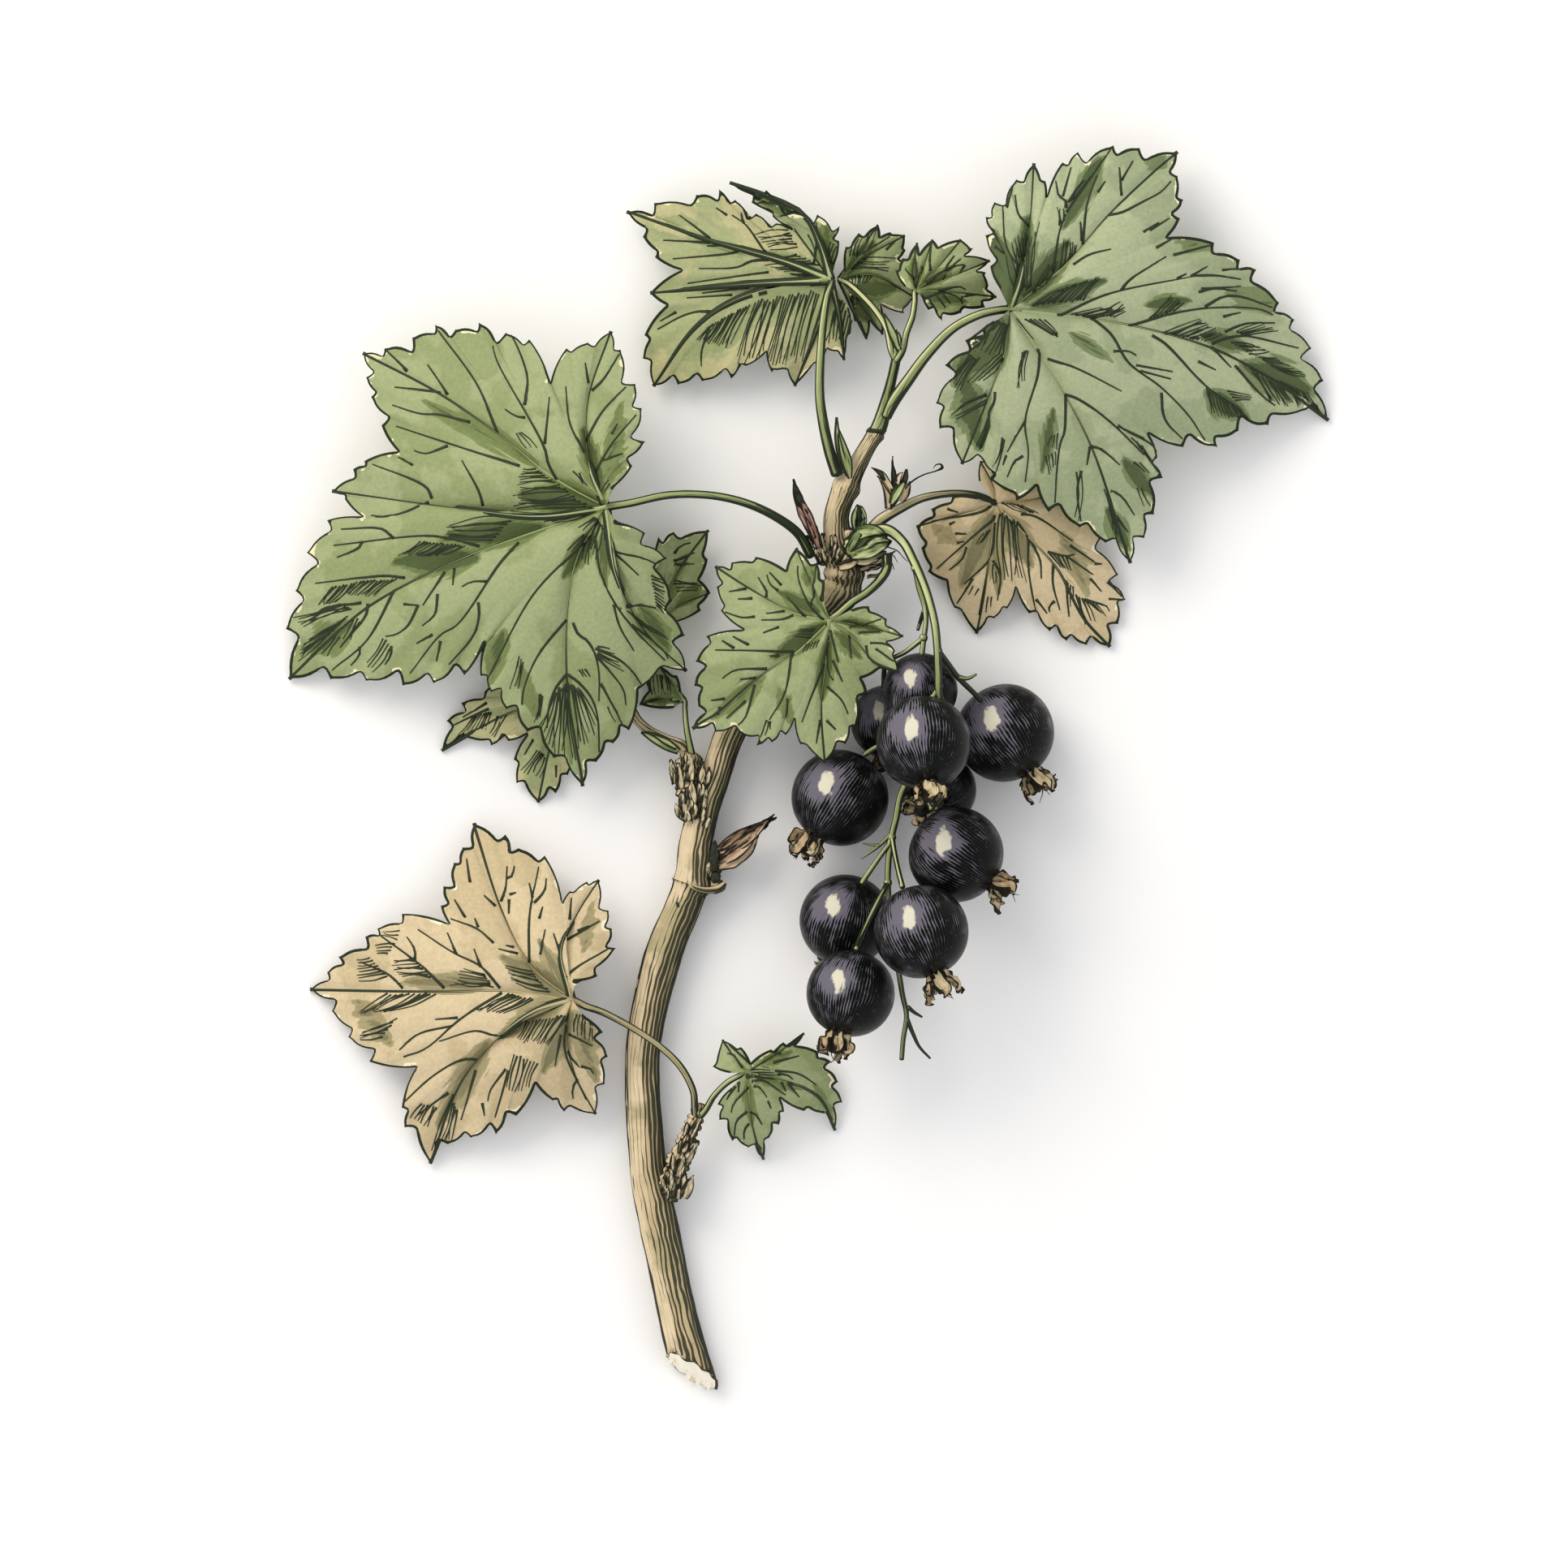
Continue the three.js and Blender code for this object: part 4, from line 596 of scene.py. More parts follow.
def side_tones(tree, tones, limits, stain, spot, shade, streak):
    """Painted sunny, middle and shaded tones round a stalk, and stains where the bark is older."""
    # limits are the shades where the middle and the shaded tone begin.
    sunny, middle, shaded = map(linear, tones)
    uneven = add(tree, "Math", {0: streak, 1: 0.5, 2: -0.25}, operation="MULTIPLY_ADD")
    tone = add(tree, "Math", {0: shade, 1: uneven}, operation="ADD")
    lit = add(tree, "MapRange", {0: tone, 1: limits[0], 2: limits[0] + SUNNY_TO_MIDDLE})
    dim = add(tree, "MapRange", {0: tone, 1: limits[1], 2: limits[1] + MIDDLE_TO_SHADED})
    two = add(tree, "Mix", {0: lit, 6: sunny, 7: middle}, data_type="RGBA")
    if stain:
        blot = add(tree, "TexNoise", {"Vector": spot, "Scale": per_mm(5.0), "Detail": 3.0})
        stained = add(tree, "MapRange", {0: blot, 1: 0.5, 2: 0.62, 4: 0.75})
        two = add(tree, "Mix", {0: stained, 6: two, 7: linear(stain)}, data_type="RGBA")
    return add(tree, "Mix", {0: dim, 6: two, 7: shaded}, data_type="RGBA")


print("the middle tone takes over within", SUNNY_TO_MIDDLE, "of the way round from the sun")

# %% Dark lines along a stalk
MOST_INK = 0.92


def in_lanes(tree, lanes, along, stretch):
    """How far a place is from its lane's middle, and a noise that every lane has for itself."""
    aside = add(tree, "Math", {0: lanes, 1: 0.5}, operation="PINGPONG")
    lane_number = add(tree, "Math", {0: lanes}, operation="FLOOR")
    own_place = add(tree, "CombineXYZ", {0: lane_number, 1: along})
    own_scale = add(tree, "Mapping", {"Vector": own_place, "Scale": (*stretch, 1.0)})
    dash = add(tree, "TexNoise", {"Vector": own_scale, "Scale": 1.0, "Detail": 2.0})
    return aside, dash


def ridge_lines(tree, flat, shade, pitch, line, length, crowding):
    """Where the dark lines are: pitch parts them, and line and length are the width and length of one."""
    # Each lane swings a little, and its own noise says where its line starts, swells and ends. crowding
    # says how many lines the shaded side has; the extra lines there are painted shade.
    parts = add(tree, "SeparateXYZ", {0: flat})
    bends = add(tree, "Mapping", {"Vector": flat, "Scale": (0.5, 0.3, 1.0)})
    drift = add(tree, "TexNoise", {"Vector": bends, "Scale": 1.0, "Detail": 2.0})
    swing = add(tree, "Math", {0: drift, 1: 1.6 * pitch, 2: parts.outputs["X"]}, operation="MULTIPLY_ADD")
    lanes = add(tree, "Math", {0: swing, 1: 1 / pitch}, operation="MULTIPLY")
    aside, dash = in_lanes(tree, lanes, parts.outputs["Y"], (3.7, 1.0 / length))
    aside_mm = add(tree, "Math", {0: aside, 1: pitch}, operation="MULTIPLY")
    # More and longer lines on the side away from the light: painted shade.
    shaded_line_share = add(tree, "MapRange", {0: shade, 1: 0.15, 2: 0.62, 3: crowding - 0.44, 4: crowding})
    alive = add(tree, "Math", {0: dash, 1: shaded_line_share}, operation="ADD")
    width = add(tree, "MapRange", {0: alive, 1: -0.06, 2: 0.25, 3: 0.0, 4: line})
    bar = add(tree, "Math", {0: width, 1: aside_mm}, operation="SUBTRACT")
    return add(tree, "MapRange", {0: bar, 1: -0.02, 2: 0.02, 4: MOST_INK})


print("a line covers at most", MOST_INK, "of what lies under it")


# %% The whole finish of stalks and bark
def ridged_finish(name, tones, ink, pitch, line, rough, steep, length, limits, stain=None, crowding=-0.28):
    """Painted light and shade across a round piece, sunny, middle and shaded, and dark lines along it, in
    millimetres.
    """
    material, tree, shader = new_material(name)
    spot = add(tree, "TexCoord").outputs["Object"]
    flat = add(tree, "UVMap", uv_map="UVMap")
    shade = add(tree, "Attribute", attribute_name="shade").outputs["Fac"]
    side = add(tree, "Attribute", attribute_name="side").outputs["Fac"]
    mottle = add(tree, "TexNoise", {"Vector": spot, "Scale": per_mm(1.6), "Detail": 4.0})
    drawn = add(tree, "Mapping", {"Vector": flat, "Scale": (1 / pitch, 0.5 / length, 1.0)})
    streak = add(tree, "TexNoise", {"Vector": drawn, "Scale": 0.9, "Detail": 2.0})
    three = side_tones(tree, tones, limits, stain, spot, shade, streak)
    speck = add(tree, "MapRange", {0: mottle, 1: 0.3, 2: 0.7, 3: 0.92, 4: 1.08})
    tinted = add(tree, "VectorMath", {0: three, 3: speck}, operation="SCALE")
    stroke = ridge_lines(tree, flat, shade, pitch, line, length, crowding)

    # A ragged dark edge of painted shade where the surface faces less up than steep says, wider on the
    # shaded side.
    wobble = add(tree, "Math", {0: streak, 1: 0.5 * steep, 2: 0.45 * steep}, operation="MULTIPLY_ADD")
    wobble = add(tree, "Math", {0: shade, 1: 0.5 * steep, 2: wobble}, operation="MULTIPLY_ADD")
    steep_side_shade = add(tree, "Math", {0: side, 1: wobble}, operation="LESS_THAN")
    lined = add(tree, "Math", {0: stroke, 1: steep_side_shade}, operation="MAXIMUM")
    colour = add(tree, "Mix", {0: lined, 6: tinted, 7: linear(ink)}, data_type="RGBA")
    tree.links.new(colour.outputs[2], shader.inputs["Base Color"])
    depth = add(tree, "Math", {0: mottle, 1: 0.4, 2: stroke}, operation="MULTIPLY_ADD")
    bump = add(tree, "Bump", {"Height": depth, "Strength": 0.5, "Distance": 0.08 * MM}, invert=True)
    tree.links.new(bump.outputs[0], shader.inputs["Normal"])
    shader.inputs["Roughness"].default_value = rough
    shader.inputs["Specular IOR Level"].default_value = 0.28
    return material


# The skin of this year's stalks: smooth and green, painted with a cream highlight on the sunny side and
# shade on the far side.
green_shoot = ridged_finish("green_shoot_skin", ("#CBCB98", "#8E9A62", "#454F2D"), INK, pitch=0.42, line=0.1,
                            rough=0.5, steep=0.92, length=14.0, limits=(0.1, 0.42))
# The stalks of the dried leaves: the same skin gone tan and dull.
tan_stalk = ridged_finish("tan_leaf_stalk", ("#D3C6A0", "#A89D74", "#575A3D"), INK, pitch=0.42, line=0.09,
                          rough=0.6, steep=0.88, length=14.0, limits=(0.14, 0.46))
# Bark in its second year: pale tan cork with long dark cracks and greenish stains, painted paler on the
# sunny side and darker on the shaded side.
bark = ridged_finish("young_bark", ("#DAC7A3", "#BEAB84", "#8B8460"), "#25271A", pitch=0.56, line=0.2,
                     rough=0.8, steep=0.46, length=6.0, limits=(0.2, 0.44), stain="#A0976E",
                     crowding=-0.15)
print("ridged finishes:", green_shoot.name, tan_stalk.name, bark.name)

# %% [markdown]
# ## Scales and dried petals: the finish
# Bud scales, bracts and dried petals are thin, papery and streaked along their length, and their edges dry
# to a dark line. The edge number on the mesh says where that line goes, and painted shade gives the side
# away from the light the darker tone and more cracks.

# %% The finish of thin scales
FIBRE_WIDTH = 0.32


def outlined_finish(name, light, dark, ink, rough, outline=0.12):
    """A papery scale: two tones in flecks along it, cracks and a dark edge, outline millimetres wide; the
    darker tone and the cracks gather on the side away from the light as painted shade.
    """
    material, tree, shader = new_material(name)
    flat = add(tree, "UVMap", uv_map="UVMap")
    edge = add(tree, "Attribute", attribute_name="edge").outputs["Fac"]
    shade = add(tree, "Attribute", attribute_name="shade").outputs["Fac"]
    drawn = add(tree, "Mapping", {"Vector": flat, "Scale": (1 / FIBRE_WIDTH, 0.4, 1.0)})
    fibre = add(tree, "TexNoise", {"Vector": drawn, "Scale": 0.9, "Detail": 3.0})
    # Painted shade: the side away from the light takes the darker tone and more cracks.
    fibre_and_shade = add(tree, "Math", {0: shade, 1: 0.5, 2: fibre}, operation="MULTIPLY_ADD")
    tone = add(tree, "MapRange", {0: fibre_and_shade, 1: 0.6, 2: 0.85})
    two = add(tree, "Mix", {0: tone, 6: linear(light), 7: linear(dark)}, data_type="RGBA")
    crack = add(tree, "MapRange", {0: fibre_and_shade, 1: 0.87, 2: 0.92})
    cracked = add(tree, "Mix", {0: crack, 6: two, 7: linear(ink)}, data_type="RGBA")
    near = add(tree, "Math", {0: edge, 1: outline}, operation="LESS_THAN")
    whole = add(tree, "Mix", {0: near, 6: cracked, 7: linear(ink)}, data_type="RGBA")
    tree.links.new(whole.outputs[2], shader.inputs["Base Color"])
    bump = add(tree, "Bump", {"Height": fibre, "Strength": 0.5, "Distance": 0.08 * MM}, invert=True)
    tree.links.new(bump.outputs[0], shader.inputs["Normal"])
    shader.inputs["Roughness"].default_value = rough
    shader.inputs["Specular IOR Level"].default_value = 0.25
    return material


# Bud scales: brown paper, or flushed rosy on the bud that grew in the sun.
bud_scale = outlined_finish("bud_scale_papery", "#CBB291", "#96745A", "#26221A", rough=0.7)
bud_scale_rosy = outlined_finish("bud_scale_rosy", "#B9957F", "#7E5450", "#26221A", rough=0.7)
# Last year's scales on the spurs: bleached, painted very dark on the side away from the light, which reads
# as dark gaps between them.
spur_scale = outlined_finish("old_spur_scale", "#D6C6A1", "#4A4730", "#23241A", rough=0.8, outline=0.07)
# Living scales and bracts: fresh green, a little glossier.
green_scale = outlined_finish("green_scale", "#B4BC86", "#6C7E45", INK, rough=0.55)
# What is left of the flowers: dry brown and cream paper, and petals gone black.
dried_petal = outlined_finish("dried_flower_papery", "#C2AB85", "#8C7654", "#231F14", rough=0.8, outline=0.1)
cream_petal = outlined_finish("cream_petal_papery", "#D3C4A0", "#A8946E", "#231F14", rough=0.8, outline=0.1)
dark_scale = outlined_finish("dark_scale", "#3A3B2A", "#20221A", "#15170F", rough=0.7)
print("seven scale and petal finishes are ready")

# %% [markdown]
# ## Leaf blades: the shape
# A blackcurrant leaf has three to five lobes with a rib in each, a heart-shaped foot where the stalk joins,
# and pointed teeth whose short side faces the tip. It could be a plane with a picture of a leaf on it, but
# then the teeth and lobes would be paint. Here each leaf is a list of places, and the blade is bent through
# them. The twelve cells below hold one leaf each, in millimetres across and down the sheet. Where a place
# has a third number, that is its height over the table.
# - base is where the stalk joins, ears are the two corners beside it, and rise is how far the blade arches
#   between two ribs.
# - petiole is the stalk up to the base, each place with its radius.
# - lobes run round the leaf. Each has its teeth on the way up, its tip, the places its rib passes, its teeth
#   on the way down, and the sinus that parts it from the next. turned_over marks a lobe that shows its other
#   side.
# - folds are the places beside and between the ribs that lie sunk and are painted darker as shade, as short
#   strokes: from, to, half width and depth. Both the colour and the relief of the blade read them.
# - veins are the side veins, each from its root to its end.
# - the hatching is rows of fine dark lines of painted shade in the shaded folds: the first line's two ends,
#   the last line's two ends and the number of lines.

# %% The list of leaves
LEAVES = {}


def describe(name):
    """Says how much of a leaf is written down."""
    leaf = LEAVES[name]
    rows = sum(count for *_, count in leaf["shade_hatches"])
    print(f"{name}: {len(leaf['lobes'])} lobes, {len(leaf['veins'])} side veins, {rows} wrinkles")


print("leaves written down so far:", len(LEAVES))

# %% The large left leaf
LEAVES["leaf_large_left"] = dict(
    base=(74.7, 62.5, 16), rise=1.6, ears=[(75.5, 60.1), (75.9, 64.3)],
    petiole=[
        (99.9, 68.4, 9.4, 0.65), (98.3, 65.7, 11, 0.6), (95.1, 63.4, 13, 0.55), (91.3, 61.8, 14.6, 0.52),
        (87.2, 61, 15.6, 0.5), (82.4, 61, 16.2, 0.5), (77.6, 62, 16.3, 0.5),
    ],
    lobes=[
        dict(up=[(77.9, 57.4), (79.5, 54.4), (79.1, 50.3), (78.3, 47.3), (76.5, 43.1)],
             tip=(75.3, 40.8, 9.5), rib=[(72.6, 57.5), (72.4, 49.5)], down=[(72.4, 42.2), (69.8, 42.9)],
             sinus=(67.8, 47.2)),
        dict(up=[(65.2, 41.8), (62.3, 41), (59, 39.7), (56.1, 40.6), (53.6, 40), (50.8, 41.6),
                 (47.4, 42.9)], tip=(44.7, 43.5, 7), rib=[(68.4, 59), (61.3, 53.4), (53.8, 48.3)],
             down=[(45.1, 46.5), (45.7, 48.9), (47, 52.4)], sinus=(49, 55.6)),
        dict(up=[(44.9, 56.8), (43.5, 57.8)], tip=(40.9, 60.5, 6), rib=[(66.8, 63.6), (59, 63)],
             down=[(42.5, 61.5)], sinus=(44.7, 63.7)),
        dict(up=[(40.3, 64.1), (37.8, 68.1), (36.4, 72.8), (35.2, 77.5)], tip=(35.6, 83.7, 0.4),
             rib=[(66.8, 65.2), (56, 69.2), (45.1, 75)],
             down=[(40.7, 83.7), (45.1, 83.9), (49.6, 84.5), (53.4, 84.2), (57.2, 83.2)],
             sinus=(59.7, 79.1)),
        dict(up=[(59.2, 83.3), (60.5, 85.3), (62.3, 87.4), (64.9, 90.2), (68.2, 93.4)],
             tip=(71.8, 96.9, 6), rib=[(70.8, 69.6), (69.8, 82.7)],
             down=[(73.5, 93.9), (75.6, 91.6), (77.5, 90)], sinus=(78.7, 84.9)),
        dict(up=[(81.2, 82.4)], tip=(84.6, 82.7, 8), rib=[(75.9, 71), (79.5, 77.9)],
             down=[(84.4, 78.3), (82.8, 74), (82.2, 68.8), (79.5, 65.7)]),
    ],
    folds=[
        ((74, 62.3), (64.5, 61), 2.1, 1), ((66.5, 65), (55, 66.4), 1.7, 0.9),
        ((58.5, 68.8), (48.8, 69.2), 1.7, 1), ((74.2, 60.8), (71.8, 53), 1.4, 0.8),
        ((73, 65.8), (69.5, 71), 1.3, 0.8), ((74.2, 66), (74.6, 72), 0.9, 0.7),
        ((69.8, 84), (70.4, 94), 1.9, 0.34), ((79, 75), (82.4, 80), 1.5, 0.7),
        ((66, 57), (52.5, 49.5), 1.5, 0.5), ((38.5, 80), (43, 77), 2, 0.7),
        ((74.8, 60), (76.5, 50), 1.5, 0.5), ((62, 78), (60.5, 84), 1.5, 0.6),
        ((66, 88), (64, 82), 1.2, 0.5),
    ],
    veins=[
        ((55.2, 48.6), (52.7, 44.9)), ((61.4, 53.3), (58.7, 47.2), (54, 40.7)),
        ((54.3, 48.4), (48.6, 47.7)), ((57.9, 52.1), (53.9, 51.1), (51.8, 51), (48.3, 49.9)),
        ((64, 57.5), (48.8, 52.5)), ((55.2, 55), (52.4, 55.9), (51, 55.5)), ((50.2, 45.7), (47.4, 43)),
        ((53.3, 61.4), (52.6, 60), (45.9, 57.2)), ((59.6, 62.3), (59.1, 60.6), (56.9, 56.7)),
        ((52.8, 61.8), (50.3, 63), (47, 63.7), (45.7, 63.5)),
        ((59.1, 67.2), (55, 66.2), (52.2, 66), (41.1, 67.2)), ((48.6, 66.3), (47.2, 65.2), (42, 65.2)),
        ((44.7, 66.8), (44.3, 67.5), (41.5, 68.7)), ((50.9, 57.3), (49.1, 56.3)),
        ((68.7, 59.1), (67.6, 57), (67.2, 55.3), (61.2, 44.4), (60.7, 42.6)),
        ((64.7, 49.9), (65, 46.7), (63.2, 41.7), (62.5, 40.8)), ((64.7, 51.5), (63.6, 51.3), (62.2, 50.4)),
        ((67.2, 54.7), (67.7, 48.9)), ((71.9, 55.8), (70.2, 52), (69.7, 47.6)),
        ((72.4, 47.2), (72.1, 44.7)), ((72.2, 54.5), (74.3, 50.7), (77.6, 47.2)),
        ((73, 48.2), (74.2, 47), (76.3, 43.6)), ((73.2, 58.9), (75.1, 55.1), (78.4, 51.1)),
        ((74.3, 56.8), (76.7, 55.9)), ((75.4, 53.5), (76.1, 52.2)),
        ((45.4, 74.4), (45.2, 75.7), (41.9, 79.8)), ((48.7, 72.7), (45.3, 78.8), (40.9, 82.6)),
        ((44.4, 79.7), (44.3, 80.7), (43.2, 82)), ((54.9, 70.5), (52.1, 74.6)),
        ((51.6, 74.6), (50.3, 77.1), (48.7, 78.2), (47.5, 78.4)), ((56.1, 70), (55.8, 72.1)),
        ((54, 73.2), (53.6, 75.7), (52, 77.1)), ((49.7, 74.4), (51.6, 74.6)),
        ((48.3, 79.6), (48.2, 80.7), (47.4, 81.9)), ((49.9, 71.1), (47.4, 70.9), (38.8, 71.9)),
        ((44.5, 74.2), (39.7, 75.1), (38.4, 76.7)),
        ((64, 66.9), (61.7, 69.4), (56.4, 76.9), (54.3, 78.2), (50.5, 83)),
        ((60, 71.6), (58.1, 71.7), (56.9, 72.3)), ((59, 74.2), (59.1, 75.7), (58.3, 78.2), (55.3, 81.9)),
        ((54.3, 79), (53.8, 81.5)), ((53.3, 78.2), (51.3, 79.3)),
        ((69.8, 82.9), (68.3, 85), (67.6, 87.3), (67.4, 89.7)),
        ((69.8, 82.9), (71.3, 84), (72.9, 86), (73.6, 88.3), (73.8, 92.7)),
        ((69.7, 76.3), (66.5, 80.4), (64.7, 84.4), (64.3, 86.8)),
        ((70.7, 76.7), (71.3, 78.1), (72.3, 78.8), (73.2, 80.2), (73.8, 82.8), (73.8, 86.4)),
        ((73.4, 80.6), (76.8, 85), (77.1, 86.9)), ((74.1, 84.2), (76.8, 89.5)),
        ((73.4, 79.8), (76.8, 81.6), (79.8, 85.4)), ((71.9, 66.8), (65.7, 73.3), (60, 83.8)),
        ((73.4, 66), (74.1, 70.9), (77.4, 76.7), (81.9, 81.4)), ((75.6, 74.5), (76.4, 77.3), (78.1, 80.2)),
        ((76.4, 74.9), (78.8, 74.5), (80.8, 74.9)), ((77.8, 77.1), (81.6, 80), (82.3, 81.2)),
        ((74.5, 65), (75, 67.2), (76.4, 68.1), (78.8, 68.6), (81.4, 69.7)), ((75.3, 67.6), (78.7, 70.9)),
    ],
    shade_hatches=[
        ((66.1, 57.8), (64.2, 57.8), (73.2, 62.6), (62.9, 63.3), 18),
        ((73.4, 62.6), (65.5, 64.1), (74, 62.9), (68, 64.5), 5),
        ((63.6, 53.3), (65, 55.4), (64.1, 53.2), (66.3, 55.3), 3),
        ((70.5, 57.9), (71.9, 59.7), (71.3, 58.1), (72.4, 59.9), 2),
        ((73.4, 63.7), (71.3, 65), (74.3, 64.4), (73.4, 68.8), 8),
        ((75, 59.1), (74.1, 60.6), (75.2, 59.5), (74.4, 60.8), 2),
        ((63.8, 63.7), (55.2, 64.8), (60.8, 66.5), (54.5, 65.9), 8),
        ((52, 66.6), (49.1, 68.4), (57.5, 67.2), (54.5, 68.5), 14),
        ((44.1, 71.6), (42.2, 73.3), (48.9, 71.3), (45.9, 73.6), 12),
        ((41.1, 72.3), (39.2, 74.6), (43.9, 71.7), (41.1, 74.4), 7),
        ((42, 74.4), (36.1, 76.1), (43.6, 74.9), (36.9, 77.4), 5),
        ((43.2, 75.7), (37.3, 79.2), (40.3, 78.4), (36.7, 81.5), 9),
        ((41.7, 77.8), (39.4, 80.8), (42, 78.4), (40.1, 81.1), 2),
        ((43.9, 75.8), (42, 79.2), (44.4, 76.5), (43, 79.2), 3),
        ((47.4, 78.4), (45.1, 81.8), (48.2, 79.7), (45.9, 82.8), 4),
        ((71.9, 65.8), (69.9, 67.8), (73.1, 66.2), (72.5, 69.7), 7),
        ((68.4, 85.2), (65.9, 90.2), (69.7, 83.8), (69.6, 94.2), 10),
        ((70, 83.8), (70.6, 94), (71.4, 84.8), (74, 89.6), 10),
        ((66.5, 85.2), (65.7, 89.5), (66.9, 85.6), (66.5, 88.3), 3),
        ((64, 80.8), (62.8, 84.8), (64.5, 81.4), (63.8, 85), 3),
        ((80.2, 70.9), (81.9, 71.5), (80.8, 74.5), (81.9, 75.7), 10),
        ((77.2, 75.3), (78.4, 76.1), (79, 76.9), (82.3, 78.8), 9),
        ((71.3, 82.4), (71.9, 83.4), (72.1, 82.4), (72.7, 83.4), 3),
        ((73.6, 79.6), (75.4, 80), (73.6, 80.8), (77, 82.8), 6),
        ((74.8, 86.9), (75.8, 88.9), (75.6, 87.1), (76.4, 88.7), 2),
    ],
)
describe("leaf_large_left")

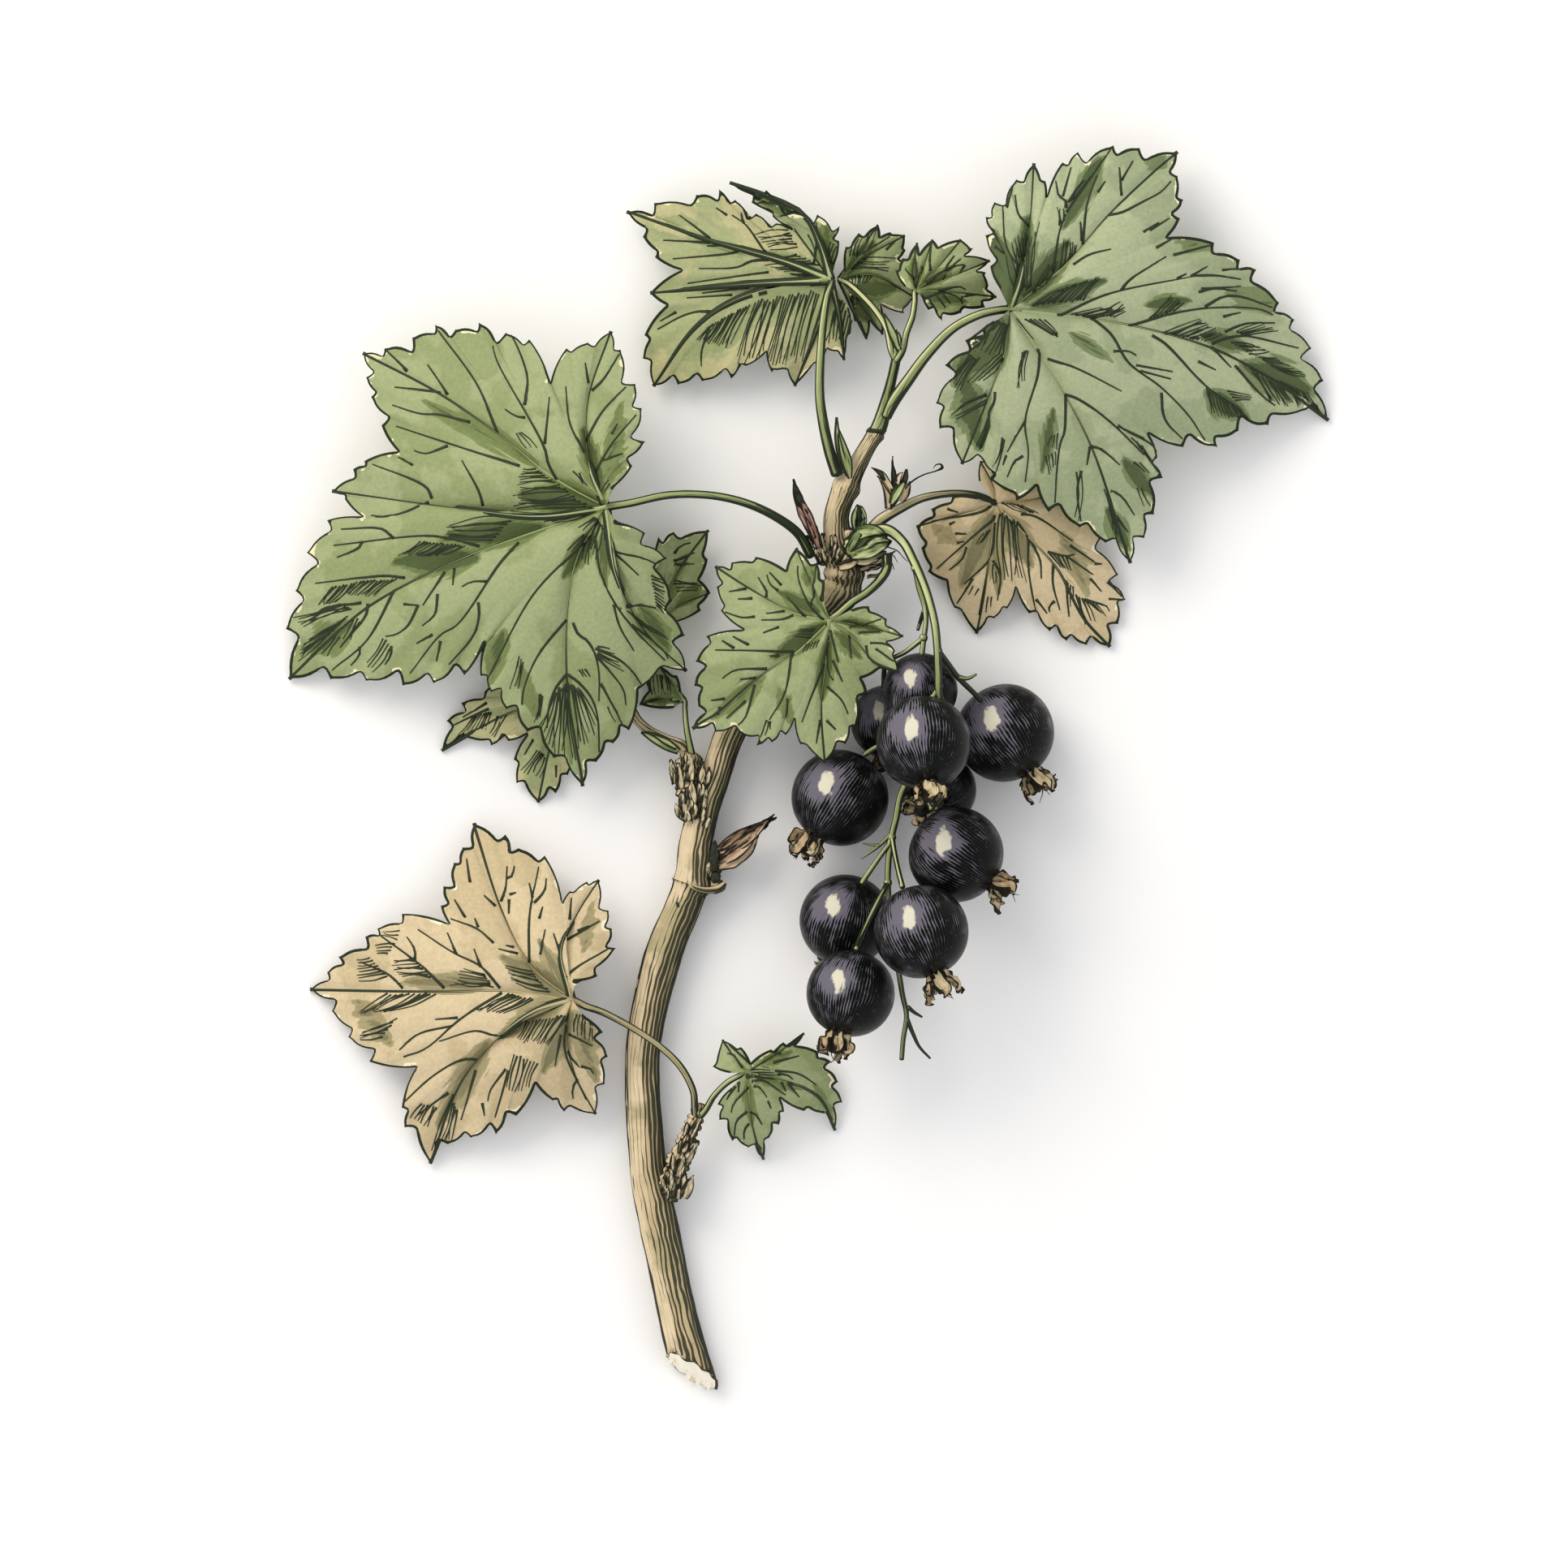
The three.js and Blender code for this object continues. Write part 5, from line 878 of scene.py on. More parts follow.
# %% The large right leaf
LEAVES["leaf_large_right"] = dict(
    base=(124.4, 38.1, 15), rise=1.6, ears=[(123.1, 35.4), (122.9, 39.5)],
    petiole=[
        (109.2, 51.3, 11.5, 0.7), (110, 49.6, 12.2, 0.8), (111.8, 47, 13.3, 0.74),
        (114.3, 43.6, 14.4, 0.65), (117.5, 40.4, 15.2, 0.58), (120.6, 38.8, 15.7, 0.54),
        (122.6, 38.3, 15.5, 0.52),
    ],
    lobes=[
        dict(up=[(122, 32.8), (121.4, 29), (121.4, 26.7), (122.5, 24.9), (125.2, 22.1)],
             tip=(127.4, 20.1, 9), rib=[(125.6, 35), (126.9, 27.8)], down=[(128.8, 22.3)],
             sinus=(129, 24.2)),
        dict(up=[(130.9, 20), (132.8, 18.7), (137.2, 17.9), (140.4, 18.2)], tip=(145.1, 18.7, 5),
             rib=[(131.1, 32.8), (136.6, 26.5), (142.5, 20.9)],
             down=[(145.1, 21.7), (145.8, 24.6), (145.4, 26.9)], sinus=(143.9, 29.2)),
        dict(up=[(149.6, 29.9), (152.8, 32), (154.8, 33.2), (157.6, 37.3), (159.5, 39.4), (161.6, 42.9),
                 (163.1, 46.9)], tip=(163.7, 51.8, 0.4),
             rib=[(131.5, 38.9), (139.9, 40.2), (149.2, 42.9), (157, 47)],
             down=[(161, 50.5), (156.3, 52.4), (152.6, 53.1), (150, 55.1), (145.8, 55.1)],
             sinus=(141.6, 53.5)),
        dict(up=[(142.6, 56.4), (143.3, 58.9), (142.2, 63.4), (141, 66.3)], tip=(139.3, 69.4, 7),
             rib=[(127.7, 42.9), (131.1, 48.4), (134.5, 55.1)],
             down=[(136.2, 66.9), (133, 65), (129.2, 63.1)], sinus=(127.7, 59.9)),
        dict(up=[(125.2, 61.7), (122, 59.1), (121, 56.6)], tip=(118.5, 57.2, 9.5),
             rib=[(123.9, 42.9), (122, 48.4)],
             down=[(115.7, 52.8), (115.3, 49.7), (116.4, 45), (118.9, 41.9), (121, 40.5)]),
    ],
    folds=[
        ((124, 37), (122.4, 29), 2.6, 1), ((126, 36.2), (126.6, 27), 1.6, 0.8),
        ((126.4, 37), (131.5, 30), 1.6, 1), ((127.4, 37.6), (136, 34.6), 1.3, 1),
        ((123.2, 39.6), (118, 47), 2.6, 0.95), ((119, 47), (120.6, 55), 2.2, 0.75),
        ((141.5, 37.6), (146.5, 37), 1, 0.9), ((148.5, 41.4), (154, 43), 1.1, 0.9),
        ((153.5, 45), (161.5, 48.2), 2.1, 0.8), ((151.5, 36), (158.5, 38), 1.4, 0.55),
        ((148.8, 48.6), (153.6, 51.4), 1.6, 0.85), ((138.6, 56.8), (142, 61), 1.1, 1),
        ((136.5, 63), (139, 67.5), 1.3, 0.8), ((129.8, 50.5), (128.4, 58), 0.9, 0.75),
        ((135.6, 19.6), (131.2, 28), 1.2, 0.85), ((141, 19), (143.5, 20.5), 1.6, 0.45),
        ((145, 29.6), (151, 31), 1, 0.5), ((132, 41), (137, 44.5), 0.9, 0.6),
    ],
    veins=[
        ((126.8, 28), (125.5, 26.5), (125.1, 24)),
        ((126, 35.3), (126, 33.9), (124.1, 30.6), (123.5, 25.3)), ((122.6, 28.7), (123.8, 31.3)),
        ((122.5, 30.4), (123.6, 31.2)), ((124.1, 25.6), (125, 22.3)),
        ((129.6, 33.4), (130.6, 28.2), (131.3, 26.4)),
        ((131.3, 25.6), (131.1, 24.4), (130.5, 24.4), (130.1, 22.3)), ((131.4, 26.1), (136.9, 18.4)),
        ((131, 24.2), (132, 20.6)), ((133.3, 30.1), (133.9, 25.3), (135.2, 21.6)),
        ((133.2, 29.7), (133.1, 27.3)), ((135.3, 23.7), (136.2, 22.3)), ((138.1, 24.1), (137.9, 20.6)),
        ((138.2, 22.2), (139.6, 19.8)),
        ((136.5, 26.6), (138.1, 26.3), (141, 24.8), (143.1, 23.6), (144.3, 22.3)),
        ((132.3, 32.7), (134.1, 31.5), (136.9, 30.7)), ((138.1, 35.7), (138.9, 34.7), (143.7, 31.6)),
        ((130.3, 38.9), (136.2, 36.3), (146.9, 34.1)), ((140.9, 28.6), (142.8, 27.4)),
        ((141.7, 28.4), (144.7, 26.5)), ((142.5, 30.6), (144.7, 29.3)),
        ((146.7, 34.1), (150, 34), (152.9, 34.4)), ((145, 34.3), (146.2, 33.7)),
        ((146.7, 34), (148.8, 32.8)), ((144.6, 31.5), (149.3, 30.2)), ((150.6, 33.3), (152.9, 33.2)),
        ((148, 35.6), (152.9, 35.3)), ((147.7, 36), (149.7, 35.6), (152.4, 35.9)),
        ((148.4, 37.7), (150.7, 36.6), (152.8, 36.6), (156.8, 37.9)),
        ((139, 40.1), (144.5, 38.6), (149.7, 37.9), (155.2, 38.1), (156.8, 38.8)),
        ((150.7, 39), (152.9, 38.5)), ((149.3, 42.3), (151.1, 41.6), (153.3, 41.4), (160, 42.9)),
        ((150.9, 40.8), (153.3, 39.9), (157.1, 39.8)),
        ((131.2, 48.5), (131.1, 53.2), (130.6, 54.7), (129.9, 62.6)),
        ((129.1, 44.1), (132.7, 45.4), (138.2, 48.2)),
        ((131.3, 48.5), (132.7, 49), (136, 51.3), (141, 56.1)), ((137.7, 52.5), (141, 54)),
        ((134.3, 54.9), (135.5, 55.2), (138, 57.3)), ((134.2, 55), (133.9, 57.3)),
        ((136.9, 60.4), (138.1, 61.1), (139.8, 63.5)), ((137.6, 63.5), (139, 65.6)),
        ((133.2, 58), (132.7, 60.4), (133.3, 64.9)),
        ((128, 43), (127.8, 46.1), (126.3, 52), (126.7, 55.7), (126.3, 59.4)),
        ((126.3, 51.8), (124.1, 55.7)), ((126, 56.1), (125, 56.9), (124.1, 58.8)),
        ((124, 56.1), (123.6, 57.3)), ((121.5, 48.5), (118.8, 49.7), (117.8, 50.7)),
        ((122.7, 48.3), (122.6, 49.5), (121.9, 50.9), (121.9, 52.5), (120.7, 55.4)),
        ((137.2, 43.3), (139.1, 43.3), (140, 43.8)),
        ((133.8, 38.8), (136.8, 41.2), (139, 44.7), (143, 47.7), (146.4, 51.2), (148.5, 54.3)),
        ((141.9, 41.4), (143.5, 42.4), (148.6, 47.6), (152.4, 50.2), (154, 51.9)),
        ((143, 48.4), (143.5, 51.7), (145.7, 54.1)), ((149.2, 42.8), (151.7, 45.3)),
        ((152.1, 45.1), (155.5, 48.8), (157.1, 50)), ((140, 45), (144.5, 45.8)),
        ((140.5, 45.7), (144.3, 46.7)), ((139, 53.1), (142.1, 55), (142.7, 56.4)),
        ((147.6, 44.6), (149.8, 45.6)),
    ],
    shade_hatches=[
        ((125.2, 36.3), (124, 31.6), (126.9, 35.6), (128.1, 27.3), 11),
        ((130.5, 33.5), (131.1, 29.4), (132.4, 31.3), (132.7, 30.1), 7),
        ((125.2, 32), (124.6, 29.6), (126.7, 31.3), (126.7, 28.5), 6),
        ((130.5, 28), (130.2, 25.1), (131, 27.3), (131, 25.6), 3),
        ((131.5, 25.1), (133.6, 22), (132.4, 24.4), (134.8, 21.5), 4),
        ((127.1, 36.5), (129.3, 32.5), (128.8, 35.3), (130.5, 31.8), 5),
        ((127.1, 37.7), (131, 35.4), (133.3, 37.1), (135.7, 34), 15),
        ((131.9, 38.7), (136, 37.8), (134.5, 39.2), (138.6, 38.2), 8),
        ((135.7, 38.9), (138.4, 36.9), (137, 39.1), (138.8, 38.3), 4),
        ((126, 39.2), (130.2, 41.6), (128.6, 39.4), (130.3, 41.1), 5),
        ((125.3, 39.2), (127.4, 41.8), (125.5, 39.4), (127.5, 42), 2),
        ((122.6, 39.4), (117.9, 42.8), (124.2, 39.7), (123.6, 43.9), 11),
        ((141.4, 39.4), (144.3, 36.4), (144.5, 38.3), (145.9, 37.3), 7),
        ((143, 41.1), (148.1, 39.2), (148.3, 42), (150.7, 41.1), 12),
        ((152.1, 40.9), (155.4, 39.7), (153.1, 41.4), (157.9, 40.7), 6),
        ((123.3, 43.3), (118.8, 47.5), (124, 44), (120.7, 47.3), 4),
        ((121.7, 48.7), (117.2, 51.1), (121.9, 49.4), (117.9, 51.6), 3),
        ((123.6, 53.7), (122.1, 58.2), (123.8, 54), (122.7, 58.2), 2),
        ((121.9, 51.3), (120.2, 55.1), (122, 52.3), (121, 55.1), 3),
        ((129.6, 53.7), (129, 55.1), (130.3, 53.3), (130.2, 55.4), 3),
        ((128.8, 56.1), (129.3, 58.5), (130, 55.6), (130, 57.3), 4),
        ((132.6, 58), (132.4, 64), (133.3, 58), (132.9, 64), 2),
        ((136, 60.2), (137.2, 65.9), (136.7, 61.6), (138.6, 67.1), 5),
        ((126, 43), (125.2, 48.5), (126.7, 43), (126.2, 47.1), 4),
        ((119.5, 43.7), (117.2, 46.3), (120.7, 44), (117.9, 48.7), 6),
        ((151.7, 42.2), (154.8, 42.6), (153.8, 43.6), (156.4, 43.3), 6),
        ((155, 44), (157.4, 44.1), (157.3, 45.5), (161.4, 46.5), 8),
        ((153.8, 45.2), (156.7, 49.8), (160.9, 48.3), (162.2, 50.2), 18),
        ((148.6, 47.7), (149.3, 51), (152.6, 50.2), (154, 51.9), 12),
        ((151.1, 48.1), (154.5, 48.8), (152.1, 49.3), (154, 49.3), 4),
        ((139.3, 53.8), (142.4, 57.7), (140.5, 54.6), (142.7, 58.3), 3),
        ((139.7, 56.9), (141.2, 58.3), (140.4, 56.9), (141.6, 58.3), 2),
        ((140, 60), (141.1, 62.7), (140.5, 60), (141.9, 62.6), 2),
    ],
)
describe("leaf_large_right")

# %% The tan leaf on the right
LEAVES["leaf_pale_right"] = dict(
    base=(122.7, 62.1, 5.2), rise=0.8, ears=[(120.3, 61.3), (120.6, 59.2)],
    petiole=[
        (107.4, 65.2, 9.7, 0.8), (108.6, 64, 9.6, 0.75), (111, 62.6, 10, 0.62), (113.6, 61.4, 9.8, 0.52),
        (117.3, 60.8, 8.4, 0.46), (120.3, 61, 6.9, 0.42), (121.9, 61.6, 5.9, 0.42),
    ],
    lobes=[
        dict(up=[(117.3, 61.2), (114.7, 62.7)], tip=(112.9, 64.9, 1.6), rib=[(119, 63.1)],
             down=[(113.5, 67.5), (114.3, 70.4)], sinus=(116.6, 71.6)),
        dict(up=[(117.6, 74.9)], tip=(120.3, 78.1, 0.6), rib=[(122, 68), (121.2, 73.8)],
             down=[(122.5, 76.2), (124.1, 75)], sinus=(125.2, 72.4)),
        dict(up=[(126.8, 75.6), (129.3, 77.8), (131.4, 79), (133.9, 79.5)], tip=(136.8, 79.7, 0.4),
             rib=[(126.5, 66), (130.2, 70), (133.4, 76)],
             down=[(137.8, 76.9), (138.7, 73.9), (137.8, 70.8), (135.6, 66.4)], sinus=(133.6, 63.6)),
        dict(up=[(134.6, 61.6)], tip=(134.4, 58.6, 2.2), rib=[(128, 61.4)], down=[(131, 57.8)],
             sinus=(128.4, 58.4)),
        dict(up=[(125.8, 56.6)], tip=(120.8, 56.8, 3.4), rib=[(122.4, 60)], down=[]),
    ],
    folds=[
        ((122, 63.5), (118.5, 72), 1.6, 0.8), ((123.5, 63.5), (127, 69.5), 1.8, 0.85),
        ((122.5, 66), (123, 73), 1.1, 0.6), ((131, 66), (134, 73), 1.4, 0.6),
        ((124, 60), (127, 58.8), 1.4, 0.9), ((115, 65), (118, 67), 1.1, 0.5),
    ],
    veins=[
        ((122.2, 62.4), (121.1, 63.1), (114.8, 64.2)), ((122.7, 63.6), (115.4, 70.1)),
        ((122.7, 64.4), (122.1, 68.5), (118.8, 72)), ((119.1, 67.4), (118.6, 68.8), (117, 70.2)),
        ((121.9, 69), (120.6, 75.8)), ((122.4, 69), (123.1, 70.1), (123.3, 71.5), (122.9, 74)),
        ((119.9, 71.3), (117.9, 74.4)), ((125.4, 64.2), (126.5, 66), (126.7, 70.1), (127.8, 76)),
        ((126.8, 66.5), (128.1, 69), (128.3, 71.3)), ((125.8, 63.3), (127.5, 63.6), (132.2, 66.7)),
        ((129.1, 67.9), (131.3, 68.5), (132.4, 68.3)), ((131.5, 68.6), (134.7, 70.8)),
        ((131.8, 67.2), (134.9, 69.3)), ((134.9, 69.5), (135.8, 69.5)), ((134.3, 71.3), (135.7, 72.9)),
        ((136.5, 71.7), (138.2, 73.5)), ((136.6, 73.8), (138.4, 73.9)),
        ((129.7, 69.4), (129.7, 71.9), (130.6, 75.2)), ((127.7, 73.8), (129, 75.6)),
        ((129.9, 74), (129.3, 74.7), (129.3, 75.4)), ((131.3, 71.5), (131.7, 76)),
        ((133.6, 73.8), (136.5, 74.8), (136.7, 75.3)), ((116.7, 62.7), (118.1, 63.1)),
        ((117.7, 65.7), (119.1, 65.8)), ((117, 64.7), (117.7, 64.3)), ((117.9, 66.9), (118.8, 66.7)),
    ],
    shade_hatches=[
        ((123.1, 62.6), (123.4, 72), (125.2, 64.2), (126.5, 71.9), 8),
        ((121.3, 65.6), (120.2, 67.2), (122, 65.1), (120.9, 66.9), 3),
        ((129.1, 67.9), (130.9, 70.1), (131.3, 68.6), (132, 70.4), 5),
        ((131.6, 71.7), (131.6, 75.1), (132.2, 72.2), (132.2, 74.4), 3),
        ((132.5, 73.1), (133.8, 77.2), (133.6, 73.8), (135, 76.7), 4),
        ((133.8, 74), (135.4, 75.2), (135, 74.4), (136.3, 76), 4),
        ((122.4, 69.5), (122.5, 71.9), (122.7, 70.4), (122.7, 71.9), 2),
        ((121.8, 73.5), (121.5, 75.4), (122.2, 73.5), (122.1, 74.9), 2),
        ((119.9, 72.2), (119.3, 73.3), (120.6, 72.4), (120, 73.5), 2),
        ((123.4, 61.9), (126.6, 63.3), (125.6, 62.2), (128.1, 63.3), 6),
    ],
)
describe("leaf_pale_right")

# %% The leaf over the stem
LEAVES["leaf_centre"] = dict(
    base=(102.3, 76.5, 15), rise=1, ears=[(101.3, 73.8), (105.1, 75)],
    petiole=[
        (109.3, 68.6, 10.9, 0.66), (109.2, 70.2, 12.4, 0.62), (108.3, 71.6, 13.4, 0.6),
        (106.8, 73, 14.4, 0.55), (105, 74.2, 15, 0.5), (103.4, 75.6, 15.2, 0.46),
    ],
    lobes=[
        dict(up=[(101.6, 71.5), (100.7, 69.3)], tip=(98.1, 67.5, 12.9), rib=[(100.6, 73.4)], down=[],
             sinus=(96.8, 70.2)),
        dict(up=[(93.1, 68.6), (90.1, 69.3)], tip=(88.1, 69.8, 11.5), rib=[(98.1, 75.6), (92.5, 72.6)],
             down=[(88.3, 72.3), (88.8, 75.2)], sinus=(91.6, 77.6)),
        dict(up=[(87, 78.4), (85.7, 81.5), (85.5, 84.5), (86, 87)], tip=(85.3, 89.8, 9.6),
             rib=[(98.1, 80.4), (93.2, 83.6), (88.4, 87.8)],
             down=[(88.1, 90.2), (91, 90.2), (93.2, 91.9), (95.1, 91.5), (96.8, 90.6)],
             sinus=(97.9, 88.6)),
        dict(up=[(98.6, 91.7)], tip=(101.6, 94, 12.1), rib=[(101.8, 81.2), (101.2, 87)],
             down=[(104.2, 91.7), (105.5, 89.5), (106.9, 85.6)], sinus=(106.2, 83.6)),
        dict(up=[(108.1, 82.6)], tip=(110.8, 82.8, 16.6), rib=[(105.5, 78.9), (107.7, 81.5)],
             down=[(110.3, 80.2)], sinus=(109.3, 79.1)),
        dict(up=[], tip=(111.3, 78.4, 16.2), rib=[(106.2, 77.1)], down=[(109.3, 76.3), (107.1, 74.7)]),
    ],
    folds=[
        ((101.5, 77), (95.5, 81), 1.2, 1), ((100.8, 75.4), (96, 73), 1, 0.9),
        ((102.2, 79), (101.4, 86), 1.1, 0.8), ((103, 78), (106, 81), 1, 0.8),
        ((104, 76.5), (108.5, 77.8), 0.9, 0.7), ((94, 83.5), (88, 88.5), 1.1, 0.6),
        ((99.5, 72), (100.5, 69), 0.9, 0.6), ((96, 85), (97.5, 89), 1, 0.5),
    ],
    veins=[
        ((94.5, 73.6), (94.6, 73.1), (93.4, 71.1)), ((95.9, 72.7), (94.9, 72), (94.5, 70.8)),
        ((96.3, 72.1), (94.8, 70.5)), ((99.3, 76), (97, 73.5)), ((92, 72.6), (89.8, 72.9)),
        ((92.7, 73.8), (90.9, 73.8)), ((96.7, 75.4), (94.4, 75.6)),
        ((97.8, 75.9), (96.7, 76.3), (93.8, 76.4)), ((93, 76), (91.5, 76.1), (89.3, 75.4)),
        ((101.6, 76.3), (100.5, 75.4), (99.1, 73.3), (98.3, 70.9), (98.3, 69.7)),
        ((100, 74.6), (100.6, 69.5)), ((97.8, 80.2), (88.1, 80.1)), ((92.3, 79.4), (90.3, 78.4)),
        ((90.5, 79.8), (89, 78.9)), ((96, 80.7), (94.8, 80.8)), ((96, 77.3), (94, 78)),
        ((94.5, 82.3), (90.5, 82.6), (89, 83.6)), ((93.1, 83.4), (91.2, 83.7)), ((89.3, 86), (87.6, 86.3)),
        ((93.1, 84.4), (91.8, 88.5), (90.9, 89.4)), ((91.9, 86.4), (89.5, 88.5)),
        ((88.7, 87.1), (88.5, 88.1)), ((97.7, 80.4), (96.7, 85.4), (94.8, 88.7)),
        ((97.1, 86.1), (96.8, 88.4)), ((101.4, 81.8), (98.8, 89)), ((101, 88.7), (100.6, 91.6)),
        ((101.9, 88.7), (103, 89.9)), ((102, 84.5), (103.8, 86.4), (104.5, 88)),
        ((102.4, 77.6), (103.3, 81.6)), ((102, 78.3), (102.2, 83), (102.7, 83.8)),
        ((102.7, 81.3), (103.8, 84)), ((104.5, 78.2), (104.9, 81.1)), ((106.8, 79.5), (107, 81.1)),
        ((104.7, 77.4), (108.6, 76.3)), ((105.8, 78), (108.4, 77.9)),
        ((107.2, 79.2), (109.1, 79.4), (110, 79.9)), ((107.9, 79.9), (110.7, 81.9)),
    ],
    shade_hatches=[
        ((100.5, 77.4), (98.6, 77.5), (100, 78.5), (97.7, 78.3), 4),
        ((101, 78.8), (100.5, 79.9), (99.5, 79.4), (98.9, 80.4), 5),
        ((106.4, 83), (109.1, 82.7), (106.4, 83.6), (109.5, 83.7), 3),
        ((94.5, 88.7), (93.6, 91.1), (95, 88.8), (94.9, 90), 3),
    ],
)
describe("leaf_centre")

# %% The tan leaf on the left
LEAVES["leaf_pale_lower_left"] = dict(
    base=(70.5, 123.2, 9.4), rise=1.2, ears=[(70.8, 120.9), (72, 125.2)],
    petiole=[
        (85.7, 137.6, 5.4, 0.5), (85.6, 136.6, 6, 0.46), (85.4, 134.4, 7.2, 0.44), (83.9, 131.5, 8, 0.44),
        (81.5, 129.1, 8.2, 0.42), (78, 126.7, 8.2, 0.42), (74.2, 124.7, 8.8, 0.44), (72.2, 124, 9.3, 0.46),
    ],
    lobes=[
        dict(up=[(73.6, 120.3), (75.9, 116.8), (75.4, 114.4), (75, 112.2)], tip=(73.8, 108.4, 4),
             rib=[(69.1, 117), (71.2, 112.4)], down=[(72.3, 108.6), (70.2, 109.8)], sinus=(69.3, 111.2)),
        dict(up=[(67.1, 105.4), (63.9, 104.5), (62.3, 102.8)], tip=(58.4, 101.4, 2),
             rib=[(65.4, 119.1), (61.8, 112.2)],
             down=[(57, 104.4), (55.9, 106.3), (54.6, 109.2), (54.3, 111.6)], sinus=(55.3, 113.8)),
        dict(up=[(49.5, 112.6), (46.5, 114.4), (45, 115.4), (41.7, 117.9), (40.3, 119.8)],
             tip=(38.2, 121.9, 0.4), rib=[(62.4, 122.1), (54.9, 122.2), (46.5, 122.1)],
             down=[(40.9, 124.6), (42.9, 127.8), (45.5, 130.8)], sinus=(51.3, 131.5)),
        dict(up=[(49.5, 136.5), (49.8, 138.9)], tip=(53, 143.4, 1),
             rib=[(66, 124.5), (62.1, 127.2), (57, 133)],
             down=[(55.2, 141), (58, 140.2), (61.1, 139.8), (63.6, 137.5)], sinus=(66, 133.6)),
        dict(up=[(68.1, 135.6), (69.5, 137)], tip=(73.4, 137.3, 3), rib=[(69.7, 126.6), (70.8, 132.3)],
             down=[(74.5, 133.6), (74.9, 130.2), (74.3, 127.2)]),
    ],
    folds=[
        ((70, 122.4), (62, 118), 1.5, 0.9), ((69.8, 122), (66.5, 116), 1, 0.7),
        ((69, 123.6), (62, 127.5), 1.7, 0.9), ((60, 121.2), (50, 121), 1.2, 0.7),
        ((70.5, 125), (67, 132), 1.5, 0.75), ((71, 125), (73.5, 133), 1.6, 0.6),
        ((60, 128.5), (54, 138.5), 1.6, 0.7), ((44, 123.5), (48, 128.5), 1.6, 0.6),
        ((72, 117), (73, 111.5), 1, 0.5),
    ],
    veins=[
        ((54.8, 121.7), (52.1, 119.1), (46.8, 115.2)), ((51.2, 118.3), (51.2, 117.1), (50.1, 115.4)),
        ((49.7, 121.7), (47.8, 120), (44.4, 118.5)),
        ((61.7, 121.7), (59.3, 119.1), (55.9, 117.4), (51.5, 114.5)), ((59.3, 119.1), (58.4, 116.9)),
        ((56.3, 117.5), (55.1, 114.9)), ((60.8, 116.2), (59, 114.6), (55.5, 113.2)),
        ((59, 114.2), (58.5, 113.1)), ((57.4, 113), (56, 110.8)), ((58, 108.7), (57.5, 105.8)),
        ((61, 111.7), (59.6, 110.3)), ((61.8, 111.1), (62.3, 109.6), (62.5, 106.7)),
        ((62.4, 108.3), (63.1, 108), (63.4, 106.7)), ((62.8, 110.8), (62.7, 112.6)),
        ((62.8, 110.3), (63.6, 110)), ((65.3, 118.6), (65.3, 112.6), (66.4, 106.8)),
        ((65.6, 110.6), (65.2, 108.8)), ((65.9, 111.3), (67.1, 109.8), (67.3, 108.2)),
        ((66.5, 113.2), (66.9, 111.7)), ((66.6, 117.6), (67.2, 114.5)), ((63.8, 117.6), (61.4, 116.9)),
        ((63.3, 116.8), (62.3, 116.5)), ((68.9, 117.1), (68.2, 115)), ((70.1, 113.3), (70.4, 110.6)),
        ((69.9, 115.9), (73.9, 113.5)), ((71.2, 114.8), (72.6, 114.1)),
        ((69.8, 120.4), (71.4, 119), (75.2, 116.8)),
        ((61.9, 122.4), (57, 125.4), (52.4, 129.2), (49.7, 130.2)), ((56.4, 125.4), (53.6, 125.6)),
        ((55.8, 126.4), (51.6, 127.4), (49.2, 129.4)),
        ((64.2, 126.2), (62.3, 127.3), (60.8, 127.5), (58.7, 127), (54.1, 128.3)),
        ((58.7, 130.4), (57, 130.5), (53.5, 132.5), (49.7, 135.9)), ((58.7, 131.9), (56.8, 138)),
        ((62.3, 131.7), (60.4, 134.4), (60.1, 135.7)), ((62.7, 131.9), (61, 137.7)),
        ((59.5, 135.9), (59.7, 137.5)), ((55.2, 134.6), (51.4, 137.4)),
        ((70.1, 124.9), (69.5, 127.3), (69.6, 129.8), (72.2, 135.5)),
        ((71.1, 132.9), (70.5, 134), (70.6, 135.4)), ((69, 127.5), (68.4, 131.3)),
        ((69.9, 129.6), (71.4, 131.5)), ((71.6, 131.3), (72.8, 131.7), (73.1, 132.3)),
        ((70.1, 127.3), (73, 128.9)),
    ],
    shade_hatches=[
        ((65.6, 119.8), (61.9, 118.9), (67.9, 122.2), (63.3, 121), 8),
        ((59.9, 120.1), (57, 119.3), (60.9, 121.6), (55.1, 121.4), 7),
        ((45.7, 118), (43.8, 118.3), (47.8, 120.3), (44.1, 120.9), 8),
        ((48.7, 116.3), (46.3, 116.5), (47.9, 117.5), (46.3, 117.5), 4),
        ((51, 118.1), (48.1, 118.4), (53.3, 120.4), (49, 120.3), 8),
        ((49.3, 114.7), (47.2, 114.8), (49, 115.8), (46.9, 115.2), 3),
        ((47.8, 122.4), (44, 124.9), (54.1, 122.4), (47.6, 124.7), 10),
        ((49.1, 125.4), (44.2, 127.3), (47.2, 127.7), (44.4, 128.1), 6),
        ((65, 125.8), (63.6, 128.3), (70.1, 124.9), (67.4, 128.9), 13),
        ((63.4, 129.8), (62.3, 134.4), (66.3, 130.8), (65, 134.4), 8),
        ((71.1, 124.9), (70.7, 127.5), (72.8, 125.2), (73, 128.5), 6),
        ((55.8, 134.8), (53, 142.2), (56.4, 136.7), (55.6, 140.7), 7),
        ((52, 135.9), (50.5, 137.8), (53.9, 136.3), (52.6, 139), 6),
        ((62.9, 122.4), (58.7, 124.5), (65.9, 123.1), (61.9, 124.9), 8),
    ],
)
describe("leaf_pale_lower_left")

